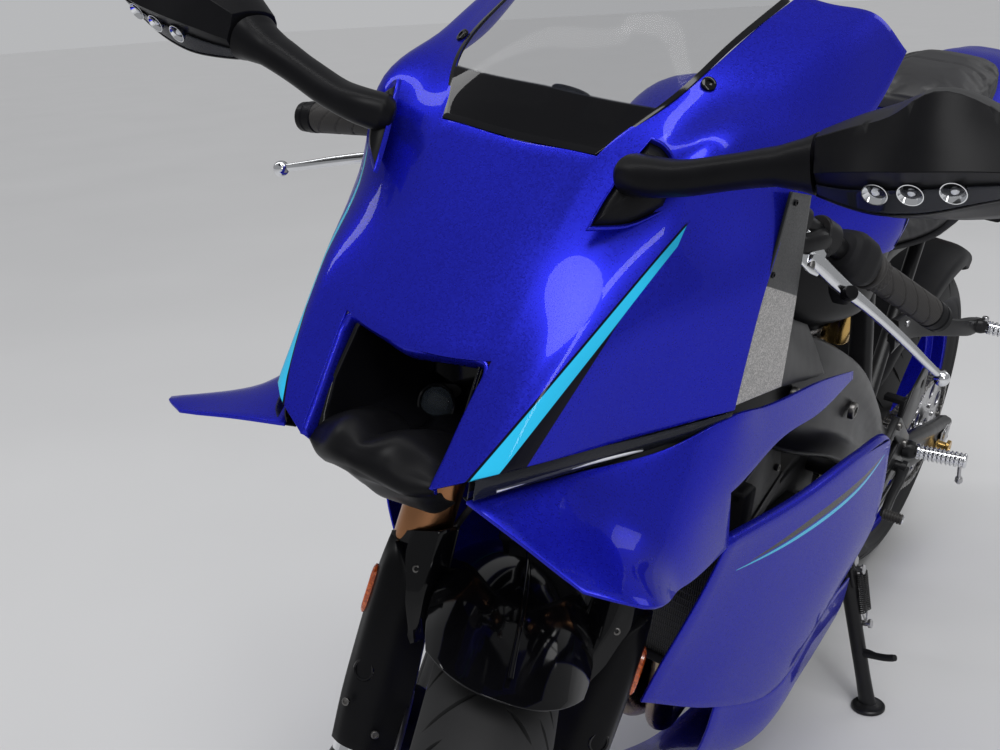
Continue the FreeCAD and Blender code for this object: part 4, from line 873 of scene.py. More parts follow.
def stripe_cyan(name):
    recipe = Recipe(name)
    drift = recipe.noise(60)
    recipe.set(Base_Color=recipe.mix(drift, looks().stripe, [min(1, c * 1.12) for c in looks().stripe]),
               Roughness=0.3, Coat_Weight=1.0, Coat_Roughness=0.02)
    return recipe.material


def wheel_blue(name):
    return flaked_paint(Recipe(name), looks().paint, looks().paint_shade).material


def radiator_core(name):
    """Radiator: rows of fins between flat tubes."""
    recipe = Recipe(name)
    x, _, z = recipe.axes()
    fins = recipe.add("ShaderNodeMath", {"operation": "PINGPONG"}, [x, 1.3])["Value"] / 1.3
    rows = recipe.add("ShaderNodeMath", {"operation": "PINGPONG"}, [z, 4.5])["Value"] / 4.5
    tube = rows.over(0.78, 0.06)
    recipe.set(Base_Color=recipe.mix(tube, recipe.mix(fins, (0.01, 0.01, 0.01), (0.12, 0.12, 0.12)),
                                     (0.05, 0.05, 0.052)),
               Metallic=0.7, Roughness=fins * 0.2 + 0.35,
               Normal=recipe.bump(fins * (1 - tube) + tube * 1.4, 0.8, 1.2))
    return recipe.material


def metal_mesh(name):
    """Fine woven metal guard over a black opening."""
    recipe = Recipe(name)
    x, _, z = recipe.axes()
    first = recipe.add("ShaderNodeMath", {"operation": "PINGPONG"}, [x + z, 1.6])["Value"] / 1.6
    other = recipe.add("ShaderNodeMath", {"operation": "PINGPONG"}, [x - z, 1.6])["Value"] / 1.6
    wire = recipe.add("ShaderNodeMath", {"operation": "MAXIMUM"}, [first, other])["Value"]
    mask = wire.over(0.72, 0.08)
    recipe.set(Base_Color=recipe.mix(mask, (0.003, 0.003, 0.003), (0.07, 0.07, 0.075)),
               Metallic=mask * 0.8, Roughness=0.35, Normal=recipe.bump(wire, 0.7, 0.5))
    return recipe.material


FINISHES = {make.__name__: make for make in (
    paint_blue, black_gloss, black_satin, black_grained, black_alloy, engine_black, cast_alloy,
    polished_alloy, chrome, bare_steel, dark_steel, gold_alloy, bronze_alloy, ground_steel,
    exhaust_steel, tyre_rubber, grip_rubber, hose_rubber, seat_vinyl, grey_metallic, clear_screen,
    lens_clear, lens_smoke, lamp_glass, red_lens, amber_reflector, led_white, stripe_cyan,
    wheel_blue, radiator_core, metal_mesh)}


MADE = {}


def finish(name):
    """Material of a finish, made the first time that it is asked for."""
    if name not in MADE:
        MADE[name] = FINISHES[name](name + "_finish")
    return MADE[name]


def dress(node, name):
    """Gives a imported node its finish."""
    slots = NODES[node].data.materials
    if len(slots) == 0:
        slots.append(finish(name))
    for k in range(len(slots)):
        slots[k] = finish(name)


# Front bodywork

# Half of the upper cowl: rows run from the lower front edge up and back, columns from the middle
# plane out over the intake's edge and the cheek to the lower edge.
COWL = (
    (None, (64, -115, 801), (97, -104, 818), (158, 46, 822), (200, 114, 834)),
    (None, (67, -88, 845), (103, -76, 858), (158, 40, 860), (203, 112, 884)),
    ((0, -72, 883), (70, -59, 889), (110, -42, 900), (164, 40, 912), (205, 116, 935)),
    ((0, -10, 955), (70, -4, 955), (118, 15, 955), (168, 68, 962), (204, 134, 975)),
    ((0, 54, 1025), (74, 56, 1027), (112, 58, 1024), (152, 72, 1034), (201, 156, 1008)),
    (None, (108, 130, 1078), (128, 150, 1081), (165, 180, 1080), (205, 232, 1036)),
    (None, (118, 222, 1119), (140, 232, 1115), (176, 270, 1113), (207, 306, 1062)),
    (None, (124, 292, 1144), (146, 302, 1140), (180, 335, 1134), (205, 366, 1104)),
)
# Direction along which the stripes' edges are square to the cheek.
STRIPE_VIEW = (0.5, -0.76, 0.41)
STRIPE_EDGES = {
    "hairline": ((90.5, -105, 817.8), (155.4, 63.8, 995.8)),
    "colour": ((93.6, -103.7, 819.3), (154.6, 62, 990.6)),
    "band": ((111.8, -86.3, 832.3), (152.9, 55.2, 975.1)),
    "clear": ((122.6, -67.2, 837.2), (138.5, 0.9, 920.7)),
    "tip": ((152.8, 55.1, 975.1), (154.7, 62.2, 992.1)),
}


def stripe_masks(recipe):
    """Masks of the cheek's bright stripe and of the black beside it."""
    x, y, z = recipe.axes()
    axes = (abs(x), y, z)
    past = {}
    for name, (low, high) in STRIPE_EDGES.items():
        ahead = Vector(high) + Vector(STRIPE_VIEW)
        past[name] = plane_over(axes, (high, low, ahead), (200, 116, 884), 0.3)
    bright = past["colour"] * (1 - past["band"]) * (1 - past["tip"])
    hairline = past["hairline"] * (1 - past["colour"]) * (1 - z.over(992, 2))
    band = past["band"] * (1 - past["clear"]) * (1 - z.over(934, 26))
    return bright, hairline + band


def cowl_paint(name):
    """Metallic blue with a bright stripe on each cheek, all under one clear coat."""
    recipe = Recipe(name)
    bright, black = stripe_masks(recipe)
    flaked_paint(recipe, looks().paint, looks().paint_shade, bright + black,
                 recipe.mix(bright, (0.004, 0.004, 0.006), looks().stripe))
    return recipe.material


FINISHES["cowl_paint"] = cowl_paint


class BuildCowl(bpy.types.Operator):
    """Upper cowl, the lip round its intake and the thin edge under the chin"""
    bl_idname = "motorcycle.upper_cowl"
    bl_label = "Upper cowl"

    def execute(self, context):
        cowl = panel("upper_cowl_shell", COWL, [finish("cowl_paint")], 8, 8, whole=True,
                     thickness=looks().panel, edge=0.7, sharp=60)
        ride(cowl, "chassis", "blue_paint", "upper_cowl")
        self.add_lip()
        self.add_chin_edge()
        self.add_buttons()
        return {"FINISHED"}

    def add_lip(self):
        edge = (
            ((0, -72, 883), (0, -0.5, -0.84)), ((25, -67.5, 885.2), (0, -0.5, -0.84)),
            ((50, -62.7, 887.6), (0, -0.5, -0.84)), ((60, -61, 888), (-0.2, -0.48, -0.82)),
            ((66.5, -61, 886.4), (-0.6, -0.4, -0.66)), ((69.2, -64, 880.5), (-0.95, -0.15, -0.25)),
            ((68.8, -72, 869), (-1, 0, 0)),
            ((67.2, -87, 846), (-1, 0, 0)), ((65.8, -100, 824), (-1, 0, 0)),
            ((64, -115, 801), (-1, 0, 0)),
        )
        face = Vector((0, -0.83, 0.55))
        rows = []
        for inward, sink in ((-1.5, 1.2), (0.6, 0.2), (3.0, 2.0), (4.8, 7.0), (5.0, 15)):
            rows.append([Vector(p) + Vector(d) * inward - face * sink for p, d in edge])
        lip = panel("intake_lip", rows, [finish("paint_blue")], 3, 5, whole=True, thickness=0)
        thicken(lip, 1.5, 0, offset=1)
        ride(lip, "chassis", "blue_paint")

    def add_chin_edge(self):
        path = [(65, -110, 799), (60, -103.5, 791), (44, -114.5, 789.5), (22, -124, 797), (0, -128, 803)]
        path += [(-x, y, z) for x, y, z in path[-2::-1]]
        stations = [(point, (1.4, 1.0)) for point in path]
        edge = rod("chin_edge", stations, [finish("paint_blue")], sides=12, steps=6)
        ride(edge, "chassis", "blue_paint")

    def add_buttons(self):
        spots = []
        for side in (1, -1):
            spots.append(((side * 119, 141, 1081), (side * 0.5, -0.62, 0.62)))
        head = screws("cowl_screws", spots, 6.2, 2.6, [finish("black_gloss")], BIKE, 0.42)
        ride(head, "chassis", "black_satin")


class BuildIntake(bpy.types.Operator):
    """Air intake: faceted black duct, round lamp and the moulded chin under it"""
    bl_idname = "motorcycle.intake"
    bl_label = "Air intake"

    def execute(self, context):
        self.add_duct()
        self.add_lamp()
        self.add_chin()
        return {"FINISHED"}

    def add_duct(self):
        rows = (
            ((0, -66, 880), (60, -56, 884), (64, -82, 838), (60, -100, 804), (0, -98, 800)),
            ((0, -44, 868), (56, -34, 880), (59, -58, 836), (54, -72, 802), (0, -74, 800)),
            ((0, -16, 856), (50, -8, 872), (50, -26, 838), (44, -36, 812), (0, -40, 804)),
            ((0, 14, 852), (38, 20, 862), (36, 16, 842), (30, 10, 826), (0, 8, 820)),
        )
        duct = panel("intake_walls", rows, [finish("black_gloss")], 4, 4, row_breaks=(1, 2),
                     column_breaks=(2, 3, 4, 5, 6, 1, 7), whole=True, thickness=1.6, edge=0,
                     sharp=20)
        ride(duct, "chassis", "black_gloss", "intake_duct")
        loops = [[(0, 14, 852), (38, 20, 862), (36, 16, 842), (30, 10, 826), (0, 8, 820),
                  (-30, 10, 826), (-36, 16, 842), (-38, 20, 862)]]
        loops.append([(x * 0.6, y + 14, 840 + (z - 840) * 0.6) for x, y, z in loops[0]])
        loops.append([(x * 0.3, y + 16, 840 + (z - 840) * 0.3) for x, y, z in loops[0]])
        back = loft("intake_floor", loops, [finish("black_gloss")], 1, 1, edge=0.5,
                    breaks=(1,), corners=range(8), sharp=10)
        ride(back, "chassis", "black_gloss")

    def add_lamp(self):
        place = along_x((-1, -22, 817), (0.16, -1, 0.34))
        rim = lathe("lamp_rim", [(0, -30), (15.5, -30), (17.5, -4), (17.5, 1.5), (16.6, 2.6),
                                 (15.2, 2.2), (14.6, 0), (14, -2)],
                    [finish("black_gloss")], place, 56, edge=0)
        ride(rim, "chassis", "black_gloss")
        lens = lathe("lamp_lens_round", [(14.6, -1), (14.2, 0.8), (11.5, 3.2), (7, 4.8), (0, 5.6)],
                     [finish("lamp_glass")], place, 56)
        ride(lens, "chassis", "lamp_lens", "head_lamp")
        bowl = lathe("lamp_bowl", [(14, -2), (10, -9), (5, -13), (0, -14)], [finish("black_gloss")],
                     place, 40)
        ride(bowl, "chassis", "lamp_lens")

    def add_chin(self):
        rows = (
            ((0, -50, 800), (24, -47, 808), (46, -44, 806), (60, -42, 804)),
            ((0, -80, 809), (24, -76, 820), (46, -74, 813), (62, -72, 803)),
            ((0, -106, 817), (23, -103, 825), (45, -97, 814), (63, -94, 802)),
            ((0, -125, 814), (22, -122, 815), (44, -112, 804), (63, -103, 799)),
            ((0, -131, 808), (22, -127.5, 803), (44, -118, 795), (62, -107, 797)),
            ((0, -128, 800), (22, -123, 795), (44, -113, 788), (60, -102, 790)),
            ((0, -110, 780), (22, -110, 787), (42, -100, 783), (57, -90, 785)),
            ((0, -91, 762), (22, -90, 767), (42, -88, 771), (56, -84, 778)),
            ((0, -70, 748), (22, -70, 750), (40, -70, 753), (54, -66, 766)),
        )
        chin = panel("chin_moulding", rows, [finish("black_satin")], 6, 6, whole=True,
                     column_breaks=(3,), thickness=1.6, edge=0.4, sharp=50)
        ride(chin, "chassis", "black_satin", "nose_chin")
        seam = [((0, -60, 803.4), 0.6), ((0, -88, 812), 0.6), ((0, -106, 817.2), 0.6),
                ((0, -119, 816.6), 0.6), ((0, -130.6, 808.6), 0.6)]
        line = rod("chin_seam", seam, [finish("black_gloss")], sides=8, steps=4)
        ride(line, "chassis", "black_satin")


class BuildPositionLamps(bpy.types.Operator):
    """Slim position lamps between the cowl's lower edge and the winglets"""
    bl_idname = "motorcycle.position_lamps"
    bl_label = "Position lamps"

    def execute(self, context):
        lens_rows = (
            ((97, -106, 817.5), (128, -44, 825), (158, 44, 821), (186, 90, 829), (199, 112, 833)),
            ((98, -108, 809), (130, -45, 817), (159, 43, 813), (187, 89, 824), (199.5, 112, 831)),
            ((97, -107, 801), (129, -42, 808), (158, 45, 806), (186, 90, 819), (199, 112, 829)),
        )
        lens = panel("position_lens", lens_rows, [finish("lens_smoke")], 4, 8, thickness=1.2,
                     edge=0.3, flip=True)
        ride(lens, "chassis", "lamp_lens", "position_lamps")
        inner = [[Vector(p) + Vector((-7, 3, -1.5 * k)) for p in row]
                 for k, row in enumerate(lens_rows)]
        back = panel("position_lamp_floor", inner, [finish("black_gloss")], 3, 8, thickness=1.2,
                     edge=0.2, flip=True)
        ride(back, "chassis", "black_gloss")
        guide = [((104, -90, 811), (1.6, 2.6)), ((128, -40, 817), (1.8, 2.8)),
                 ((155, 42, 814), (1.8, 2.8)), ((182, 86, 823), (1.4, 1.8))]
        strip = rod("position_light_guide", [(Vector(p) + Vector((-1, -1, 0)), r) for p, r in guide],
                    [finish("chrome")], sides=12, steps=8, mirrored=True)
        ride(strip, "chassis", "lamp_lens")
        second = [(Vector(p) + Vector((1.5, -0.5, -5.2)), (1.0, 1.4)) for p, r in guide[:3]]
        lower = rod("position_light_guide_lower", second, [finish("led_white")], sides=10, steps=8,
                    mirrored=True)
        ride(lower, "chassis", "lamp_lens")
        return {"FINISHED"}


class BuildWinglets(bpy.types.Operator):
    """Winglets beside the nose, the straps that run back from them and their dark inner faces"""
    bl_idname = "motorcycle.winglets"
    bl_label = "Winglets"

    def execute(self, context):
        rows = (
            ((90, -106, 798), (145, -112, 788), (200, -117, 775)),
            ((132, -30, 806), (172, -60, 785), (229, -102, 771)),
            ((172, 50, 812), (200, 20, 764), (222, 10, 724)),
            ((200, 116, 828), (205, 130, 752), (202, 160, 682)),
            ((201, 190, 812), (204, 236, 762), None),
            ((196, 360, 780), (198, 370, 742), None),
            ((184, 520, 738), (184, 526, 726), None),
        )
        wing = panel("winglet_skins", rows, [finish("paint_blue")], 8, 8, thickness=3.4, edge=1.2,
                     sharp=50)
        ride(wing, "chassis", "blue_paint", "winglets")
        inner = [[None if p is None else Vector(p) + Vector((-7, 6, -2)) for p in row]
                 for row in rows[:4]]
        lining = panel("winglet_linings", inner, [finish("black_satin")], 6, 6, thickness=1.5,
                       edge=0.3)
        ride(lining, "chassis", "black_satin")
        return {"FINISHED"}


class BuildScreen(bpy.types.Operator):
    """Clear screen with its dark border, and the dash's hood behind it"""
    bl_idname = "motorcycle.screen"
    bl_label = "Screen"

    def execute(self, context):
        rows = (
            ((0, 54, 1026), (38, 54.5, 1027), (73, 56, 1028)),
            ((0, 104, 1080), (62, 108, 1079), (106, 116, 1071)),
            ((0, 172, 1132), (72, 176, 1126), (116, 188, 1107)),
            ((0, 262, 1180), (70, 264, 1168), (122, 278, 1139)),
        )

        def border(i, j):
            return 1 if i < 1 or j < 1 or j > 38 else 0

        screen = panel("screen_clear", rows, [finish("clear_screen"), finish("black_gloss")], 12, 10,
                       whole=True, thickness=2.4, edge=0.5, paint=border)
        ride(screen, "chassis", "clear_screen", "windscreen")
        self.add_hood()
        return {"FINISHED"}

    def add_hood(self):
        rows = (
            ((0, 66, 1021), (40, 66, 1021), (72, 68, 1019), (92, 76, 1010)),
            ((0, 88, 1030), (44, 90, 1029), (84, 96, 1024), (108, 106, 1012)),
            ((0, 118, 1038), (48, 120, 1037), (92, 128, 1028), (116, 138, 1014)),
            ((0, 132, 1032), (46, 134, 1031), (88, 140, 1023), (110, 146, 1010)),
        )
        hood = panel("dash_hood", rows, [finish("black_satin")], 6, 6, whole=True, thickness=2,
                     edge=0.6)
        ride(hood, "chassis", "black_satin", "instrument_panel")


# Mirrors: loops of the head run out from its joint, each starting at the front's lower edge.
MIRROR_HEAD = (
    ((262, -2, 1064), (258, 0, 1086), (255, 22, 1088), (253, 46, 1082), (255, 50, 1052),
     (259, 40, 1047), (263, 14, 1047), (263, 4, 1057)),
    ((281, -17, 1071), (279, -9, 1097), (276, 20, 1101), (274, 52, 1094), (276, 58, 1050),
     (280, 48, 1043), (283, 8, 1046), (282, -4, 1060)),
    ((302, -31, 1078), (305, -17, 1110), (299, 20, 1113), (298, 60, 1106), (300, 65, 1048),
     (304, 54, 1040), (306, 2, 1047), (303, -14, 1066)),
    ((328, -40, 1085), (327, -15, 1129), (320, 28, 1126), (320, 70, 1117), (322, 66, 1046),
     (326, 52, 1042), (331, -1, 1053), (329, -21, 1073)),
    ((370, -32, 1093), (365, -3, 1122), (360, 36, 1119), (360, 68, 1111), (364, 64, 1056),
     (368, 54, 1052), (372, -1, 1071), (371, -17, 1084)),
    ((398, -17, 1095), (397, -2, 1103), (394, 34, 1102), (394, 60, 1096), (397, 56, 1066),
     (398, 48, 1064), (399, 4, 1082), (398, -7, 1089)),
    ((405, -8, 1094), (404, 2, 1097), (402, 30, 1096), (402, 50, 1091), (403, 48, 1072),
     (404, 42, 1070), (405, 8, 1084), (405, -1, 1089)),
)


class BuildMirrors(bpy.types.Operator):
    """Mirrors: recessed feet, curved arms, heads with turn lamps under them and their glasses"""
    bl_idname = "motorcycle.mirrors"
    bl_label = "Mirrors"

    def execute(self, context):
        head = loft("mirror_heads", MIRROR_HEAD, [finish("black_satin")], 5, 4, edge=0.6,
                    corners=(0, 1, 4, 6), sides=2, sharp=28)
        ride(head, "chassis", "black_satin", "mirrors")
        arm = (((113, 42, 1022), (6, 7)), ((115, 40, 1023), (13, 16)), ((121, 36, 1025), (16, 20)),
               ((134, 29, 1028), (15, 20)),
               ((158, 25, 1033), (13, 19)), ((196, 23, 1046), (12.5, 18)), ((230, 22, 1058), (13.5, 20)),
               ((248, 22, 1063), (17.5, 22)), ((256, 23, 1065), (20.5, 24)))
        arms = rod("mirror_arms", [(p, (b, a)) for p, (a, b) in arm], [finish("black_satin")],
                   sides=28, steps=6, square=0.85, flat=(0, 0, 1), mirrored=True)
        ride(arms, "chassis", "black_satin")
        self.add_feet()
        self.add_lamps()
        self.add_glasses()
        return {"FINISHED"}

    def add_feet(self):
        rim = ((101, 6, 985), (104, 18, 1004), (111, 36, 1029), (119, 53, 1050), (128, 58, 1046),
               (141, 62, 1022), (139, 56, 1000), (122, 28, 988))
        out = Vector((0.5, -0.78, 0.37))
        middle = sum((Vector(p) for p in rim), Vector()) / len(rim)
        loops = []
        for size, height in ((1.04, -3), (1.03, 1.0), (0.98, 1.4), (0.94, 0.0), (0.9, -1.5),
                             (0.84, 1.5), (0.66, 6.5), (0.4, 10), (0.12, 11)):
            loops.append([middle + (Vector(p) - middle) * size + out * height for p in rim])
        dish = loft("mirror_feet", loops, [finish("paint_blue"), finish("black_satin")], 2, 4,
                    sides=2, paint=lambda i, j: 0 if i < 7 else 1, corners=(0, 3, 6), sharp=50)
        ride(dish, "chassis", "black_satin")

    def add_lamps(self):
        rows = []
        for share in (0.05, 0.5, 0.93):
            row = []
            for loop in MIRROR_HEAD[:6]:
                top, low = Vector(loop[7]), Vector(loop[6])
                row.append(top.lerp(low, share) + Vector((0, -1.6, -0.9)))
            rows.append(row)
        lens = panel("turn_lamp_lenses", rows, [finish("lens_smoke")], 3, 6, thickness=1, edge=0.3,
                     flip=True)
        ride(lens, "chassis", "lamp_lens")
        rings = []
        for centre in ((307, -15, 1064), (329, -19, 1069.5), (353, -18.5, 1076)):
            place = along_x(centre, (0.05, -0.86, -0.5))
            profile = [(0.4, -3.4), (3.2, -3), (6.2, 0.2), (7.6, 2.6), (8.2, 2.6), (8.2, 1.4), (7, -2)]
            rings.append(lathe("turn_lamp_bowl", profile, [finish("chrome")], place, 32))
            bulb = [(0, 1.8), (1.8, 1.4), (2.8, 0), (2.8, -3)]
            rings.append(lathe("turn_lamp_bulb", bulb, [finish("led_white")], place, 24))
        whole = joined("turn_lamp_reflectors", rings)
        whole.data.transform(BIKE.inverted() @ whole.matrix_world)
        whole.matrix_world = BIKE
        mirror(whole)
        ride(whole, "chassis", "lamp_lens")
        edge = [Vector(loop[6]) + Vector((0, -2.2, 0.4)) for loop in MIRROR_HEAD[:6]]
        strip = rod("turn_lamp_borders", [(p, (1.5, 1.1)) for p in edge], [finish("black_gloss")],
                    sides=10, steps=5, mirrored=True)
        ride(strip, "chassis", "black_satin")

    def add_glasses(self):
        rows = []
        for share in (0.1, 0.5, 0.9):
            row = []
            for loop in MIRROR_HEAD[1:6]:
                row.append(Vector(loop[3]).lerp(Vector(loop[4]), share) + Vector((0, 1.2, 0)))
            rows.append(row)
        glass = panel("mirror_glasses", rows, [finish("chrome")], 4, 4, thickness=1.2, edge=0.3)
        ride(glass, "chassis", "bare_alloy")


class BuildCheekTrim(bpy.types.Operator):
    """Grey strips behind the cheeks, the dark panels and ducts behind them"""
    bl_idname = "motorcycle.cheek_trim"
    bl_label = "Cheek trim"

    def execute(self, context):
        rows = (
            ((199.5, 113.5, 838), (199, 165, 829), (197, 232, 816)),
            ((202.5, 112, 886), (201.5, 160, 880), (199, 221, 871)),
            ((204.5, 116, 934), (203.4, 155, 929), (200, 212, 919)),
            ((203.8, 128, 975), (203.2, 160, 970), (200.5, 203, 961)),
            ((203, 139, 1014), (202, 165, 1008), (201, 195, 1001)),
        )
        # The strips' finish paints the mirror's shadow over their upper half as painted shade.
        strip = panel("grey_strip_panels", rows, [finish("grey_metallic")], 8, 6, thickness=2.4,
                      edge=0.7)
        ride(strip, "chassis", "grey_metallic", "grey_strips")
        spots = []
        for side in (1, -1):
            for x, y, z in ((203, 152, 1003), (204.2, 128, 949)):
                spots.append(((side * x, y, z), (side, -0.25, 0.1)))
        heads = screws("strip_screws", spots, 2.6, 1.8, [finish("black_gloss")], BIKE, 0.45)
        ride(heads, "chassis", "black_satin")
        inner = (
            ((195, 199, 822), (188, 290, 797), (178, 400, 766), (172, 452, 752)),
            ((198, 184, 868), (184, 270, 840), (168, 380, 800), (162, 440, 780)),
            ((200, 173, 892), (180, 250, 878), (162, 340, 842), (152, 420, 812)),
        )
        sheet = panel("inner_side_panels", inner, [finish("black_satin")], 6, 6, thickness=2,
                      edge=0.5)
        ride(sheet, "chassis", "black_satin", "inner_panels")
        duct = (
            ((197, 222, 900), (182, 242, 892), (166, 300, 880), (152, 360, 850)),
            ((188, 226, 925), (172, 246, 922), (154, 300, 902), (140, 356, 866)),
            ((170, 228, 934), (152, 250, 932), (136, 300, 910), (124, 350, 872)),
        )
        side = panel("side_ducts", duct, [finish("black_gloss")], 6, 6, thickness=2, edge=0.8,
                     column_breaks=(1,))
        ride(side, "chassis", "black_gloss")
        return {"FINISHED"}


# Side fairing of one side: rows run back from its front edge, columns down from the top edge.
FAIRING = (
    ((202, 158.5, 684), (190, 154, 632), (176, 150, 580), (160, 154, 528), (146, 160, 478)),
    ((212, 330, 660), (211, 324, 600), (206, 320, 540), (193, 310, 468), (176, 300, 400)),
    ((216, 520, 640), (220, 510, 572), (222, 500, 500), (212, 480, 418), (196, 460, 340)),
    ((206, 690, 596), (213, 686, 540), (214, 680, 480), (204, 660, 420), (190, 640, 360)),
    ((198, 742, 560), (201, 736, 514), (200, 730, 470), (194, 710, 424), (186, 690, 380)),
)


def fairing_masks(recipe):
    """Masks of the swoosh along the fairing and of the dark band over it, both tapering forwards."""
    start, length = 205, 462
    height, fall, hollow = 634, 71, 24
    _, y, z = recipe.axes()
    along = (y - start) / length
    middle = along * along * hollow - along * fall + height
    off = z - middle
    inside = along.over(0.0, 0.004) * (1 - along.over(0.99, 0.004))
    width = along * (1 - along) * 9 + 0.5
    swoosh = (1 - (abs(off) - width).over(0, 0.4)) * inside
    reach = along * (1 - along) * 56 + 0.5
    past = (off - width - 2).over(0, 0.4)
    band = past * (1 - (off - reach).over(0, 0.6)) * inside
    return swoosh, band


def fairing_paint(name):
    """Metallic blue with the swoosh and its band under the clear coat."""
    recipe = Recipe(name)
    swoosh, band = fairing_masks(recipe)
    flaked_paint(recipe, looks().paint, looks().paint_shade, swoosh + band,
                 recipe.mix(swoosh, (0.004, 0.004, 0.006), looks().stripe))
    return recipe.material


FINISHES["fairing_paint"] = fairing_paint


class BuildFairings(bpy.types.Operator):
    """Side fairings with their ledges and stripes, and the belly panels under them"""
    bl_idname = "motorcycle.fairings"
    bl_label = "Fairings"

    def execute(self, context):
        side = panel("side_fairing_skins", FAIRING, [finish("fairing_paint")], 8, 6, thickness=3,
                     edge=1.0, row_breaks=(3,), sharp=50)
        ride(side, "chassis", "blue_paint", "side_fairings")
        top = [Vector(row[0]) for row in FAIRING]
        rows = [top, [p + Vector((-4, 0, 3.4)) for p in top], [p + Vector((-11, 0, 3.6)) for p in top],
                [p + Vector((-14, 0, -6)) for p in top]]
        ledge = panel("fairing_ledges", rows, [finish("paint_blue")], 4, 8, thickness=0)
        thicken(ledge, 2, 0, offset=-1)
        ride(ledge, "chassis", "blue_paint")
        belly = (
            ((176, 300, 400), (168, 314, 350), (150, 336, 290), (100, 358, 234), (40, 372, 205)),
            ((196, 460, 340), (192, 468, 285), (172, 480, 230), (112, 492, 176), (40, 500, 150)),
            ((190, 640, 360), (184, 652, 290), (168, 660, 220), (120, 670, 168), (60, 680, 142)),
            ((176, 800, 320), (172, 812, 270), (160, 820, 220), (126, 826, 176), (90, 830, 150)),
        )
        low = panel("belly_panels", belly, [finish("paint_blue")], 8, 6, thickness=3, edge=1.0,
                    sharp=50)
        ride(low, "chassis", "blue_paint", "lower_cowls")
        return {"FINISHED"}


# Controls, in the steering frame

BAR_END = Vector((358, 112, 685))
BAR_ALONG = Vector((0.802, 0.5829, -0.1305)).normalized()


def on_bar(distance):
    """Point on the left bar's axis, a distance in from its outer end."""
    return BAR_END - BAR_ALONG * distance


def turned(name, length, radius, place, materials, sides=72, steps=60, edge=0):
    """Solid round the frame's x axis; the radius is a function of the angle and the place along."""
    rows = []
    for i in range(steps + 1):
        x = length * i / steps
        row = []
        for k in range(sides):
            angle = math.tau * k / sides
            r = radius(angle, x)
            row.append(Vector((x, r * math.cos(angle), r * math.sin(angle))))
        rows.append(row)
    vertices, faces, indices = grid_mesh(rows, closed=True, caps=True)
    thing = add_mesh(name, vertices, faces, place, materials, indices, 60)
    if edge:
        round_edges(thing, edge)
    return thing


def both_ends(name, things, frame):
    """One object from several in a frame of the machine, with its mirror image."""
    whole = joined(name, things)
    whole.data.transform(frame.inverted() @ whole.matrix_world)
    whole.matrix_world = frame
    mirror(whole)
    return whole


def bar_frame(distance):
    """Frame on the left bar whose x axis runs outwards along it."""
    return along_x(on_bar(distance), BAR_ALONG, STEERING)


